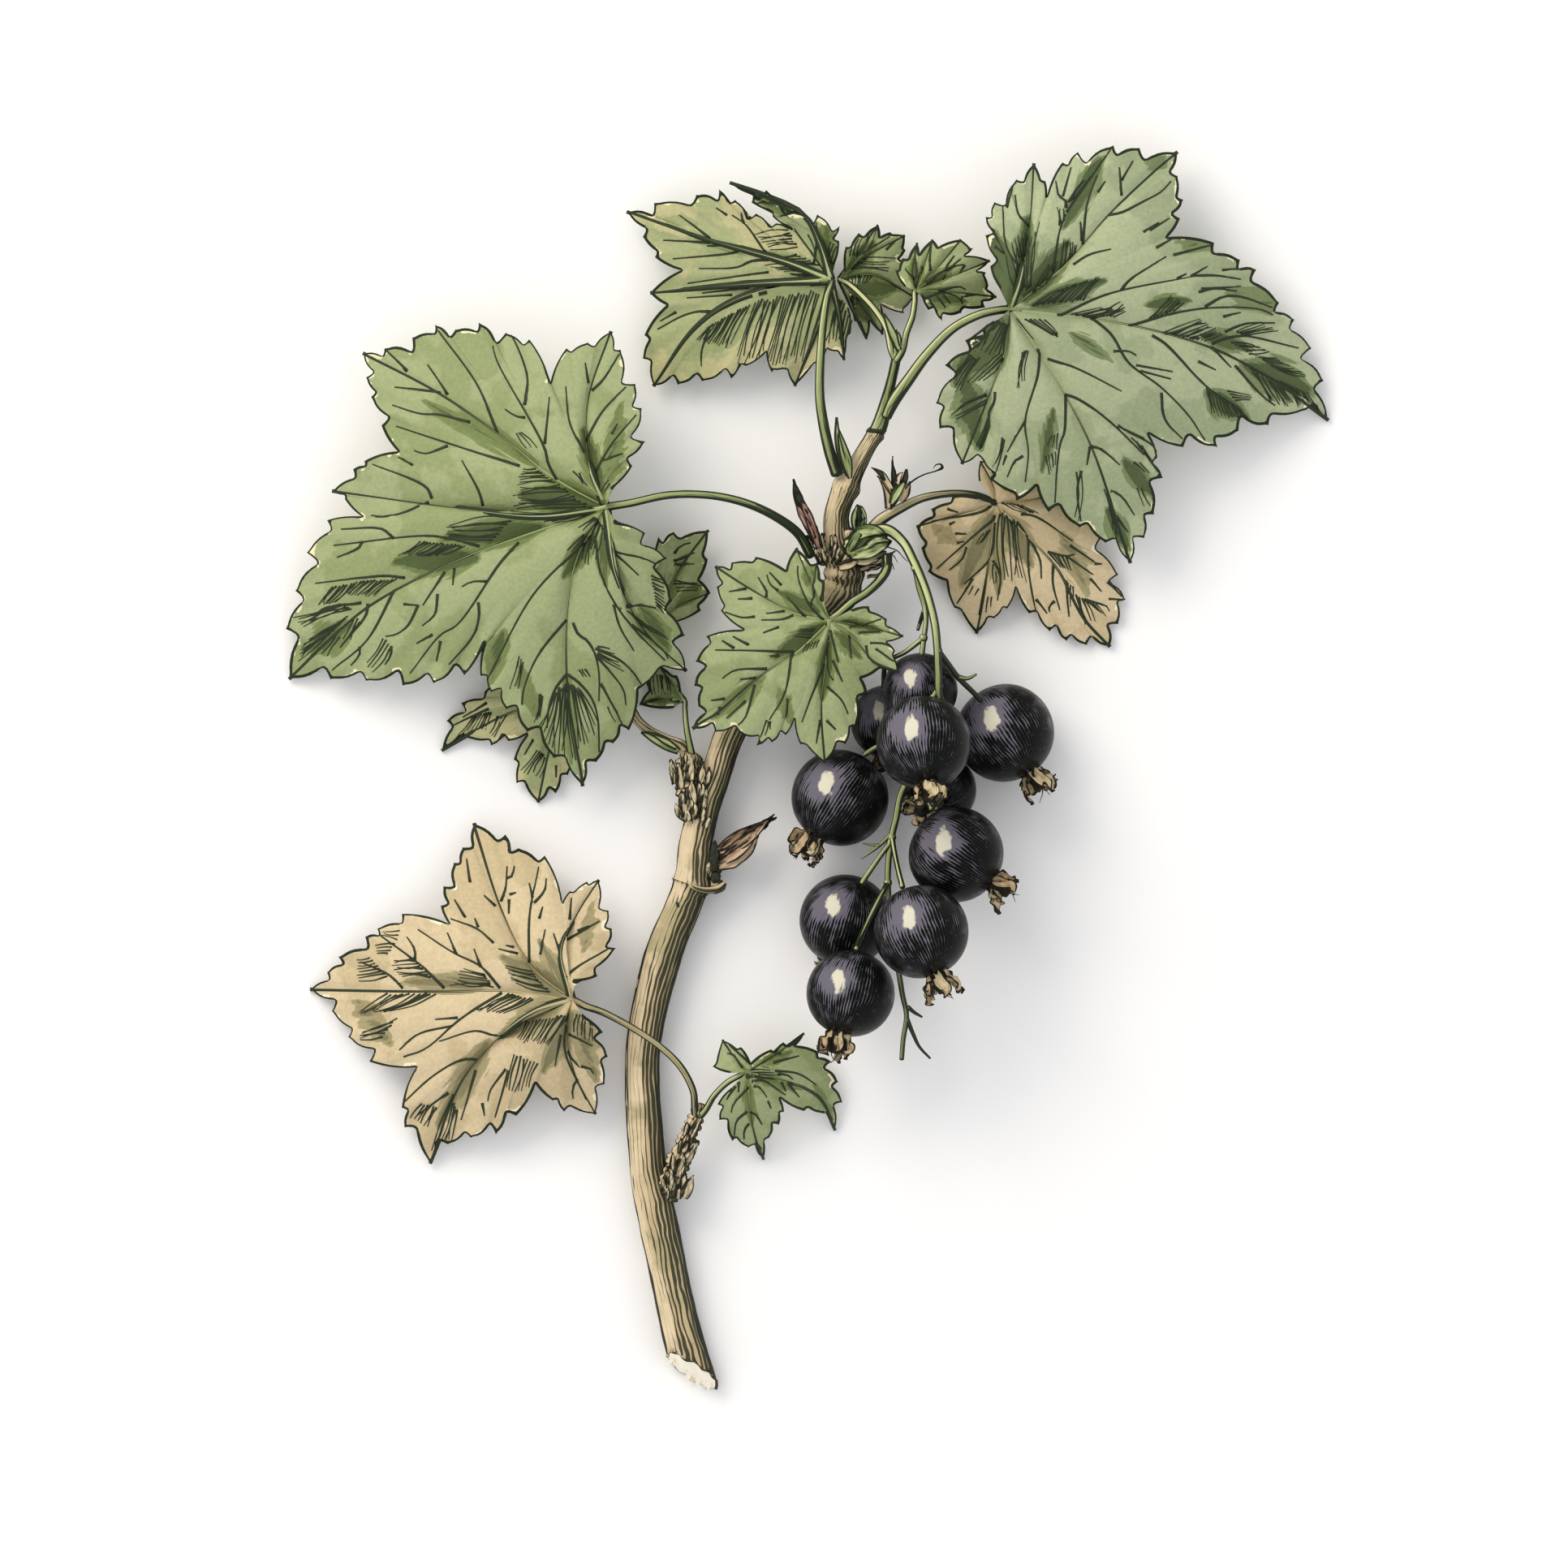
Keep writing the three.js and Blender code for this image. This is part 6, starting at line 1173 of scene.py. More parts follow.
# %% The small leaf low on the right
LEAVES["leaf_small_lower_right"] = dict(
    base=(92.1, 132.1, 8.6), rise=0.7, ears=[(89.8, 132.2), (89.9, 134.2)],
    petiole=[
        (86, 137.8, 5.3, 0.5), (86.9, 136.8, 5.9, 0.44), (88, 135, 7, 0.4), (89.6, 133.4, 8, 0.38),
        (91, 132.6, 8.6, 0.38),
    ],
    lobes=[
        dict(up=[(87.8, 131.4)], tip=(89, 128.1, 7.6), rib=[(90.4, 130.2)], down=[(91.3, 129)],
             sinus=(92.5, 130.9)),
        dict(up=[(95, 129.3), (96.5, 128.4)], tip=(99.1, 127.3, 3), rib=[(95.6, 130)], down=[],
             sinus=(98.1, 128.8)),
        dict(up=[(100.9, 129.6), (102.5, 130.8), (103.3, 133.3), (103.8, 135.8)], tip=(102.9, 139.3, 0.4),
             rib=[(95.1, 132.9), (99.1, 134), (101.3, 135.8)], down=[(101.4, 137.2), (99.1, 136.9)],
             sinus=(96.2, 135.4)),
        dict(up=[(96.6, 137), (96, 138.6), (94.8, 140.2)], tip=(94.1, 142.9, 0.6),
             rib=[(92.4, 136.3), (93, 139.8)],
             down=[(92.2, 141.4), (90.2, 140.6), (88.6, 138), (88.4, 136.1)]),
    ],
    folds=[
        ((92.5, 132.6), (98.5, 134.2), 0.7, 0.5), ((92.2, 133.6), (92.6, 138.5), 0.8, 0.5),
        ((94, 131), (97.5, 129.6), 0.8, 0.55), ((100.5, 134), (102.6, 137), 0.8, 0.4),
    ],
    veins=[
        ((95.3, 131), (98.5, 130.1)), ((95.7, 130), (96.3, 129.8)),
        ((95.5, 131.9), (98.3, 132.3), (100.6, 133.7)), ((95.8, 132.3), (96.9, 132.4), (97.7, 133)),
        ((97, 133.6), (98, 133.7), (100.2, 134.8), (101.2, 135.6), (102.6, 138)),
        ((91.9, 132.6), (96.8, 133.2)), ((92.6, 133.2), (94, 133.2), (96.8, 134.9)),
        ((96.2, 133.4), (96.8, 134.5)), ((97.2, 133.8), (98.5, 135.2)),
        ((92.9, 133.7), (93.5, 133.9), (94.5, 135.2)), ((94.6, 135.7), (95, 136.6)),
        ((92, 136.9), (90.8, 138), (90.5, 140)), ((92.5, 136.9), (93.2, 137.3), (93.9, 138.6)),
        ((92.2, 138.4), (91.7, 139.2), (91.7, 140.4)), ((93.2, 140.7), (93.9, 141.6)),
        ((92.2, 133.8), (90.3, 136.2), (90.1, 137.1)), ((90.7, 133.9), (89.5, 135.5)),
        ((91.1, 133.3), (91, 134.6)), ((92.1, 130.9), (89.8, 128.7)),
        ((91.4, 131.6), (90.6, 130.1), (89.6, 129.8)),
    ],
    shade_hatches=[((92.4, 131.4), (95, 131.6), (92.4, 132.5), (95.7, 132.5), 4)],
)
describe("leaf_small_lower_right")

# %% The turned leaf, seen from below
LEAVES["leaf_turned_top_left"] = dict(
    base=(102.4, 34.5, 8.8), rise=-0.9, ears=[(104.6, 38), (102.9, 32.4)],
    petiole=[
        (103.1, 58.3, 9.8, 0.8), (102.2, 55.6, 11, 0.72), (101.4, 51.9, 12.2, 0.66),
        (101, 48.7, 12.6, 0.6), (101.1, 43.9, 12.4, 0.54), (101.5, 39.1, 11.4, 0.5),
        (101.9, 36.6, 10.3, 0.48),
    ],
    lobes=[
        dict(up=[(104.8, 41.1)], tip=(104, 44.4, 6), rib=[(103.4, 39)], down=[(102.9, 43.3)],
             sinus=(101.9, 43)),
        dict(up=[(101, 44.6)], tip=(97.9, 47.6, 4), rib=[(101, 39.4)], down=[(96.4, 45.5), (95.1, 45.9)],
             sinus=(94.4, 43.4)),
        dict(up=[(91.9, 45.1), (90.1, 46.7), (86.5, 47), (83.5, 47.4)], tip=(80.5, 47.6, 2),
             rib=[(97.8, 35), (90.5, 37), (85.7, 40.4)], down=[(79.2, 44.2), (79.4, 41.3)],
             sinus=(82.1, 37.6)),
        dict(up=[], tip=(80.1, 36.1, 3.4), rib=[(92, 35)], down=[], sinus=(83.9, 33.3)),
        dict(up=[(80.7, 31.7), (79.2, 29.2)], tip=(77.2, 26.1, 3),
             rib=[(97.3, 32.4), (91.5, 30.7), (87.6, 29.6)],
             down=[(80.6, 25), (85.8, 24), (88.6, 23.3), (90.6, 24.6), (93.2, 26.3), (95.6, 27.5)],
             sinus=(97.6, 28.2)),
        dict(up=[(95.2, 26.7), (92.6, 25)], tip=(89.9, 22.5, 10),
             rib=[(101, 30), (99, 26.4), (94.5, 24.1)],
             down=[(94.4, 23.4), (97.8, 26.1), (100.7, 26.4), (103.5, 27.8), (103.4, 29.7)],
             turned_over=True),
    ],
    folds=[
        ((101.5, 35.4), (92, 38.6), 2.4, 0.5), ((93, 39), (84.5, 44), 2.2, 0.45),
        ((101.8, 37.5), (97, 44), 1.7, 0.45), ((101, 34), (95, 31.2), 1.4, 0.75),
        ((102.4, 33), (101.6, 27.4), 1.5, 0.6), ((98.5, 26.5), (93, 23.8), 1.1, 0.5),
        ((91.5, 31.5), (86, 29.8), 1.1, 0.5), ((103, 37), (103.6, 42), 1.6, 0.6),
        ((82, 27), (86, 27.5), 1, 0.4), ((90, 34.5), (84, 35.4), 0.9, 0.4),
    ],
    veins=[
        ((94.4, 31.3), (91.9, 27.7), (90.2, 26.5)), ((91.7, 27.5), (91.3, 26.2)),
        ((87.5, 29.3), (83.7, 26.5)), ((89.6, 26.5), (88.2, 25.6)), ((87.5, 29.8), (81.7, 29.6)),
        ((91.3, 30.7), (89.8, 31.2), (82.9, 31.9)),
        ((94.7, 31.9), (92.6, 32.1), (90.9, 32.9), (86.1, 33.1)), ((89, 30.1), (87.1, 30.3)),
        ((94.7, 33.5), (84.7, 34.9)), ((95.5, 35.3), (93.2, 34.7), (87.5, 35.3)),
        ((92.3, 35.3), (86.5, 36.1)), ((90.2, 36.3), (84.6, 36.7)),
        ((87.6, 38.5), (86.1, 38.4), (84.2, 38.9), (81, 40.6)), ((83.3, 38.4), (81.3, 39.6)),
        ((87.4, 40.5), (86.5, 43.2), (86.4, 45.1)), ((101.6, 33.4), (97.8, 28.1)),
        ((100.3, 32.5), (100.7, 29.6), (100.5, 26.7)),
        ((97.6, 26.1), (94.2, 24.3), (91.9, 23.9), (89.8, 22.7)),
        ((97.2, 26.2), (96.3, 25.3), (94.2, 24.9), (92.5, 25.3)), ((97.4, 26.2), (94.7, 27.1)),
    ],
    shade_hatches=[
        ((101.1, 35.5), (98.8, 44.7), (93.2, 36.9), (90.5, 44.9), 22),
        ((92.6, 37.1), (89.6, 43.2), (87.5, 40.1), (85.8, 41.9), 14),
        ((97.2, 28.3), (93, 28.9), (98.4, 30.4), (94.4, 30.8), 7),
        ((98.2, 31.3), (96.3, 31.7), (101.1, 32.7), (98, 32.3), 6),
        ((96.9, 32.5), (94.2, 32.7), (101.1, 34.4), (98.6, 34.2), 9),
        ((102.4, 29.6), (101.3, 32.9), (103.2, 30.2), (102.2, 32.9), 3),
        ((103.7, 35.7), (101.6, 42.6), (105.3, 36.9), (104.1, 42.2), 7),
        ((99.5, 28.7), (100.5, 31.3), (100.1, 28.3), (100.7, 30.6), 2),
    ],
)
describe("leaf_turned_top_left")

# %% The folded young leaf
LEAVES["leaf_young_folded"] = dict(
    base=(103.5, 34.4, 6.4), rise=0.8, ears=[(104, 33.2), (105, 36.6)],
    petiole=[
        (110.3, 44.2, 12.4, 0.5), (109.8, 43, 12.4, 0.46), (109.3, 40.6, 11.2, 0.44),
        (108, 38.4, 9.9, 0.42), (106.2, 36.4, 8.4, 0.4), (104.6, 35, 7.1, 0.38),
    ],
    lobes=[
        dict(up=[(104.2, 30.4), (105.8, 28.7)], tip=(108.2, 27.7, 5), rib=[(105.6, 31.4)], down=[],
             sinus=(108.5, 29.1)),
        dict(up=[(109.7, 28.6)], tip=(111.5, 29, 4), rib=[(106.8, 31.6)], down=[(111.6, 30.8)],
             sinus=(110.8, 31.9)),
        dict(up=[(112.6, 33.4)], tip=(112.6, 36.6, 3.4), rib=[(107.6, 33.9)], down=[(111.4, 38.6)],
             sinus=(108.6, 37.6)),
        dict(up=[], tip=(108.8, 41.2, 2), rib=[(105.8, 37.2)], down=[], sinus=(107.2, 39.6)),
        dict(up=[], tip=(106.8, 41.8, 1.6), rib=[(104.9, 37.6)], down=[(105.3, 39.6)]),
    ],
    folds=[
        ((104.6, 33.8), (107.5, 30), 1.4, 0.9), ((105.5, 35.5), (110.5, 35.5), 1.3, 0.9),
        ((105, 36.5), (107.6, 40), 1.2, 0.9),
    ],
    veins=[((105.7, 31.6), (110.2, 28.8)), ((109.2, 30.8), (110.5, 29.5))],
    shade_hatches=[
        ((104.7, 31.6), (105.8, 28.8), (106.4, 31.4), (108, 28.2), 6),
        ((105.5, 31.8), (110.3, 31.8), (104.7, 33.2), (109.3, 33.4), 5),
        ((104.5, 33.9), (104.7, 35.5), (107.5, 33.8), (106.8, 34.8), 8),
        ((104.2, 35.7), (104.1, 38.5), (105.7, 36.7), (105.3, 39.5), 5),
    ],
)
describe("leaf_young_folded")

# %% The open young leaf
LEAVES["leaf_young_open"] = dict(
    base=(112.8, 35.8, 10.6), rise=0.7, ears=[(111.4, 35.3), (113.6, 36.6)],
    petiole=[
        (110.5, 44.4, 12.7, 0.5), (111.2, 43.2, 13.2, 0.44), (111.7, 41, 12.9, 0.42),
        (112.4, 39.1, 12.2, 0.4), (112.7, 37.2, 11.3, 0.38),
    ],
    lobes=[
        dict(up=[(110.3, 33.3), (111.2, 31.8)], tip=(113, 29.9, 9.4), rib=[(112.6, 33)], down=[],
             sinus=(113.3, 31.2)),
        dict(up=[], tip=(114.9, 29.5, 9.2), rib=[(113.9, 32.6)], down=[], sinus=(115.6, 30.4)),
        dict(up=[], tip=(118.4, 29.5, 8.8), rib=[(115.6, 32.9)], down=[(119.9, 30.6)],
             sinus=(118.9, 31.5)),
        dict(up=[], tip=(122, 32.1, 8.4), rib=[(117, 34.2)], down=[], sinus=(120.4, 33.4)),
        dict(up=[(121.5, 33.6), (121.8, 35.2)], tip=(122.8, 36.6, 8), rib=[(117.4, 36)],
             down=[(121.4, 37.9), (118.4, 38.6), (116.1, 39.6), (114.4, 38.2)]),
    ],
    folds=[
        ((112.9, 35), (112.6, 32), 0.9, 0.8), ((113.6, 35.4), (117.4, 33), 0.8, 0.7),
        ((113.6, 36.2), (119, 37.2), 1, 0.8),
    ],
    veins=[
        ((112.6, 34.5), (111.5, 33.1)), ((112.7, 35.5), (113, 33.5), (112.7, 31)),
        ((113.5, 32.8), (113.6, 33.7)), ((114.5, 33.4), (114.8, 29.8)),
        ((114.1, 34.9), (117.1, 32.9), (118.8, 32.6)), ((116.4, 33.3), (117.6, 31.5)),
        ((116.7, 33.3), (118.4, 31.9)), ((118.8, 32.6), (118.2, 33.6)), ((116.4, 33.8), (116.1, 34.5)),
        ((115.6, 35.7), (118.3, 35.3), (119, 35.7)),
        ((113.9, 36.7), (116.1, 36.1), (117.3, 36.3), (118.3, 36.8), (118.8, 38.1)),
        ((118.4, 36.6), (120.5, 36.3)), ((114.4, 36.6), (115.5, 38.4)), ((115.4, 36.5), (116.5, 37.9)),
        ((116.1, 36.3), (117.1, 37.4)),
    ],
    shade_hatches=[((111.8, 35.7), (109.5, 36.2), (111.8, 37.7), (108.8, 37.3), 5)],
)
describe("leaf_young_open")

# %% The leaf tip behind the large one, right
LEAVES["leaf_behind_right"] = dict(
    base=(80.5, 77, 3.4), rise=0.5, ears=[(79.4, 74.4), (82.6, 76.8)],
    petiole=[
        (78.1, 86.4, 5.2, 0.4), (77.7, 83.6, 5, 0.36), (78.8, 80.2, 4.4, 0.34), (79.9, 78, 3.7, 0.34),
    ],
    lobes=[
        dict(up=[(79.8, 69.8), (81.1, 66.1), (83, 65.5)], tip=(87.3, 65.3, 4), rib=[(83.6, 70.4)],
             down=[(87.2, 68.9)], sinus=(86.2, 71.4)),
        dict(up=[], tip=(87.5, 73, 3), rib=[(83.8, 74.6)], down=[(86.4, 75.2)]),
    ],
    folds=[((81.5, 75.5), (84.5, 68.5), 1.2, 0.35), ((83.5, 74.5), (86.6, 72), 1, 0.45)],
    veins=[
        ((83.1, 68.2), (83.9, 67.2), (85.1, 66.9)), ((83, 69.1), (85.6, 68.1)),
        ((83.1, 69.5), (85.5, 69.5)),
    ],
    shade_hatches=[((82.9, 71.5), (86.3, 71.9), (83.3, 72.9), (86.3, 72.7), 4)],
)
describe("leaf_behind_right")

# %% The leaf behind the large one, left
LEAVES["leaf_behind_left"] = dict(
    base=(70, 85.5, 3.2), rise=0.6, ears=[(62.4, 83.4), (72.4, 88.6)],
    petiole=[(77, 87, 5.2, 0.4), (75, 87, 4.8, 0.36), (72.6, 86.6, 4, 0.34), (70.9, 86, 3.4, 0.34)],
    lobes=[
        dict(up=[(59.7, 85.2), (56.8, 86.6), (55, 88.8)], tip=(54.4, 92.5, 0.4), rib=[(62, 88.2)],
             down=[(57.8, 91), (60.5, 91.9), (62.6, 91.3)], sinus=(64.9, 90.5)),
        dict(up=[(63.3, 93.6), (63.6, 96.5)], tip=(66.3, 98.9, 0.4), rib=[(67.8, 92)],
             down=[(68.5, 97.8), (70, 95.5), (71.8, 92.4)]),
    ],
    folds=[((69, 86.5), (60, 88), 1.1, 0.5), ((69, 88.5), (66.6, 94), 1, 0.45)],
    veins=[
        ((60, 86.6), (57, 88.4)), ((60.2, 87.3), (55.2, 89.7)), ((65.7, 91.1), (64.6, 93)),
        ((68.5, 94.3), (68.5, 95.8)),
    ],
    shade_hatches=[
        ((58.5, 88.1), (56.4, 90.6), (60.6, 87.6), (59.8, 89.9), 8),
        ((61.4, 88.1), (60.2, 90.6), (62.5, 88.1), (60.8, 91), 3),
        ((66.3, 92.3), (64, 95.1), (67.4, 93.3), (66.5, 95.8), 6),
    ],
)
describe("leaf_behind_left")

# %% The leaflet over the middle spur
LEAVES["leaf_bud_left"] = dict(
    base=(84.3, 86.3, 3.2), rise=0.3, ears=[(83.9, 85), (82.9, 87.3)],
    petiole=[
        (85.2, 92.9, 4.9, 0.5), (84.7, 90.4, 4.9, 0.4), (84.5, 88.8, 4.6, 0.36), (84.4, 87.3, 3.8, 0.34),
    ],
    lobes=[
        dict(up=[(83.4, 83.2)], tip=(80.9, 81.7, 1.6), rib=[(82.8, 84.2)], down=[(79.5, 83.6)],
             sinus=(80, 85)),
        dict(up=[], tip=(78.8, 86.8, 1.6), rib=[(81.6, 86.2)], down=[]),
    ],
    folds=[((83.8, 86), (81.5, 83.2), 0.8, 0.4), ((83.5, 86.3), (80.2, 86.2), 0.9, 0.6)],
    veins=[((83.7, 86.6), (81.8, 86.1), (79.4, 86.4))],
    shade_hatches=[((79.8, 82.8), (80, 85.6), (82.3, 83.2), (82.7, 85.8), 8)],
)
describe("leaf_bud_left")

# %% [markdown]
# The margin between two teeth is hollow on the tip's side and straight on the other. The same profile serves
# every tooth, stretched to its length and never deeper than a small share of the lobe.

# %% One tooth of the margin
TOOTH_PROFILE = ((0.0, 0.05, 0.11, 0.17, 0.22, 0.33, 0.48, 0.63, 0.76, 0.87, 0.95, 1.0),
                 (0.0, -0.16, -0.30, -0.36, -0.345, -0.24, -0.13, -0.065, -0.04, -0.035, -0.02, 0.0))
TOOTH_STEPS = TOOTH_PROFILE[0][:-1]
TOOTH_DEPTHS = (1.0, 0.72, 1.15, 0.85)


def tooth_offset(f, order, shallow):
    """How far the margin stands out from the line to the tooth's point, as a share of its length."""
    return float(np.interp(f, *TOOTH_PROFILE)) * TOOTH_DEPTHS[order % len(TOOTH_DEPTHS)] * shallow


print("a tooth is hollow by up to", -min(TOOTH_PROFILE[1]), "of its length")

# %% One side of a lobe
DEEPEST_TOOTH = 1.4
TOOTH_TO_LOBE = 0.074
FOLD_SIDE_BULGE = 0.06
FOLD_SIDE_STEPS = tuple(i / 10 for i in range(10))


def outline_turn(leaf):
    """+1 when the lobes run clockwise on the sheet, -1 when they run the other way."""
    corners = [leaf["base"], leaf["ears"][0]]
    for lobe in leaf["lobes"]:
        corners += [lobe["tip"]] + ([lobe["sinus"]] if "sinus" in lobe else [])
    corners.append(leaf["ears"][1])
    x, y = np.array([c[:2] for c in corners], float).T
    return float(np.sign(np.sum(x * np.roll(y, -1) - np.roll(x, -1) * y)))


def margin_side(corners, climbing, turn):
    """One side of a lobe: its margin points, and how far each is from the rib (0) to the fold (1)."""
    spots = []
    last = len(corners) - 2
    lobe_length = math.dist(corners[0], corners[-1])
    deepest = min(DEEPEST_TOOTH, TOOTH_TO_LOBE * lobe_length)
    for i, (start, end) in enumerate(zip(corners, corners[1:])):
        along = end - start
        outward = np.array([along[1], -along[0]]) * turn
        shallow = min(1.0, deepest / (-min(TOOTH_PROFILE[1]) * np.linalg.norm(along)))
        if i == (0 if climbing else last):
            bulge = outward * 4 * FOLD_SIDE_BULGE
            spots += [start + along * f + bulge * f * (1 - f) for f in FOLD_SIDE_STEPS]
        elif climbing:
            spots += [start + along * f + outward * tooth_offset(f, i, shallow) for f in TOOTH_STEPS]
        else:
            back = [0.0] + [1 - f for f in reversed(TOOTH_STEPS) if f > 0]
            spots += [start + along * f + outward * tooth_offset(1 - f, i, shallow) for f in back]
    spots = np.array(spots + [corners[-1]])
    share = run_lengths(spots)
    share /= share[-1]
    return spots, (1 - share if climbing else share)


print("a notch between two teeth is at most", DEEPEST_TOOTH, "mm deep")


# %% The rib of a lobe
def rib_curve(leaf, lobe, steps):
    """A lobe's rib from the stalk to the tip, on the sheet."""
    return smooth_curve([leaf["base"][:2], *lobe["rib"], lobe["tip"][:2]], steps)


first_lobe = LEAVES["leaf_centre"]["lobes"][0]
print("the first rib of the centre leaf is",
      round(run_lengths(rib_curve(LEAVES["leaf_centre"], first_lobe, 8))[-1], 1), "mm long")

# %% [markdown]
# The blade itself is a sheet that spreads from the stalk. A filled outline would be quick, but its faces
# would run anywhere and it could not bend along its ribs. So every column of the grid starts at the stalk
# and ends at one point of the margin, between its rib and the fold beside it. Near the stalk the columns
# keep to the rib and the fold, and towards the margin the teeth pull them out. The blade arches between rib
# and fold and droops to its tips.

# %% The blade as a bent grid of points
RING_CROWDING = 0.92
RIB_STEPS = 40
MARGIN_PULL_POWER = 3
DROOP_POWER = 1.6
CROWN_SKEW = 0.8


def blade_points(leaf, rings):
    """The blade's middle surface in columns of points, with each column's run and its lobe."""
    turn = outline_turn(leaf)
    base = np.array(leaf["base"], float)
    lobes = leaf["lobes"]
    way = np.linspace(0, 1, rings + 1) ** RING_CROWDING
    columns = []
    margin = []
    owners = []
    for index, lobe in enumerate(lobes):
        tip = np.array(lobe["tip"], float)
        rib = rib_curve(leaf, lobe, RIB_STEPS)
        on_rib = at_fractions(rib, way)
        before = lobes[index - 1] if index > 0 else None
        after = lobes[index + 1] if index < len(lobes) - 1 else None
        sides = [
            (True, before["sinus"] if before else leaf["ears"][0], lobe["up"], before),
            (False, lobe["sinus"] if after else leaf["ears"][1], lobe["down"], after),
        ]
        for climbing, fold, teeth, neighbour in sides:
            row = [fold, *teeth, lobe["tip"][:2]] if climbing else [lobe["tip"][:2], *teeth, fold]
            spots, from_rib = margin_side([np.array(p, float) for p in row], climbing, turn)
            fold = np.array(fold, float)
            reach = np.linalg.norm(tip[:2] - base[:2])
            fold_reach, fold_height = reach, tip[2]
            if neighbour:
                other = np.array(neighbour["tip"], float)
                fold_reach = (reach + np.linalg.norm(other[:2] - base[:2])) / 2
                fold_height = (tip[2] + other[2]) / 2
            for spot, share in list(zip(spots, from_rib))[1 if margin else 0:]:
                on_fold = base[:2] + (fold - base[:2]) * way[:, None]
                chord_end = on_rib[-1] + (fold - on_rib[-1]) * share
                bulge = (spot - chord_end) * way[:, None] ** MARGIN_PULL_POWER
                place = on_rib + (on_fold - on_rib) * share + bulge
                far = np.linalg.norm(place - base[:2], axis=1) / (reach + (fold_reach - reach) * share)
                end_height = tip[2] + (fold_height - tip[2]) * share
                crown = leaf["rise"] * math.sin(0.5 * math.pi * share) * np.sin(math.pi * way ** CROWN_SKEW)
                height = base[2] + (end_height - base[2]) * far ** DROOP_POWER + crown
                columns.append(np.column_stack([place, height]))
                margin.append(spot)
                owners.append(index)
    return np.array(columns), run_lengths(np.array(margin)), way, owners


leaflet = blade_points(LEAVES["leaf_bud_left"], 14)[0]
print("the smallest leaf is a grid of", len(leaflet), "by", len(leaflet[0]), "points")

# %% [markdown]
# Three things colour and shape a blade: how far the margin is, how far the nearest vein is and how deep the
# place lies in a fold, which sinks the blade there and gives it its painted shade. They could be painted by
# hand on every leaf. Measuring them from the written lines is quicker, and they fit every leaf exactly.

# %% How far points are from a network of lines
POINTS_AT_ONCE = 2000


def distance_to_lines(points, lines):
    """The distance from each point to the nearest piece of any line, on the sheet."""
    starts = np.vstack([line[:-1] for line in lines])
    ends = np.vstack([line[1:] for line in lines])
    along = ends - starts
    length2 = np.maximum((along ** 2).sum(axis=1), 1e-12)
    result = np.empty(len(points))
    for first in range(0, len(points), POINTS_AT_ONCE):
        block = points[first:first + POINTS_AT_ONCE]
        off = block[:, None, :] - starts[None]
        t = np.clip((off * along[None]).sum(axis=2) / length2[None], 0, 1)
        gap = off - along[None] * t[..., None]
        result[first:first + POINTS_AT_ONCE] = np.sqrt((gap ** 2).sum(axis=2).min(axis=1))
    return result


beside = distance_to_lines(np.array([(5.0, 3.0)]), [np.array([(0.0, 0.0), (10.0, 0.0)])])
print("a point 3 mm beside a line is", beside[0], "mm from it")

# %% How deep points lie in the folds
FOLD_THIN_END = 0.22
FOLD_SOFTNESS = 0.9


def fold_depth_and_shade(points, strokes):
    """How deep in shade each point is. A fold widens from its first point and tapers at its last."""
    depth = np.zeros(len(points))
    for start, end, half_width, strength in strokes:
        start, end = np.array(start, float), np.array(end, float)
        along = end - start
        place = np.clip(((points - start) @ along) / (along @ along), 0, 1)
        away = np.linalg.norm(points - start - place[:, None] * along, axis=1)
        swell = np.sin(math.pi * np.clip(place, 0.02, 0.98) ** 0.8)
        width = half_width * (FOLD_THIN_END + (1 - FOLD_THIN_END) * swell)
        depth = np.maximum(depth, strength * np.exp(-FOLD_SOFTNESS * (away / width) ** 2))
    return depth


middle_of_fold = fold_depth_and_shade(np.array([(5.0, 0.0)]), [((0, 0), (10, 0), 1.0, 0.8)])
print("the middle of a fold of depth 0.8 is", round(middle_of_fold[0], 2), "deep")

# %% [markdown]
# ## Leaf veins
# Every lobe has one rib, and the side veins and the hatch lines of the folds leave it. Each is a thin tall
# thread through the blade: it shows as a dark line above, coloured dark as painted shade, and as a low
# ridge below. A painted line would vanish at the edge of a low view. A ray cast straight down finds the
# height of the blade under it.

# %% The vein network of one leaf
RIB_WIDTHS = (0.48, 0.18)
SIDE_WIDTHS = (0.22, 0.1)
# The hatch lines of painted shade in the folds.
HATCH_WIDTHS = (0.14, 0.07)
RIB_THREAD_STEPS = 14
SIDE_THREAD_STEPS = 8
HATCH_STEPS = 5
SMALL_LEAF_REACH = 45
LATE_STARTS = (0.0, 0.08)
EARLY_ENDS = (0.86, 1.04)
HATCH_BOWS = (-0.07, 0.07)
HATCH_STRENGTHS = (0.7, 1.15)


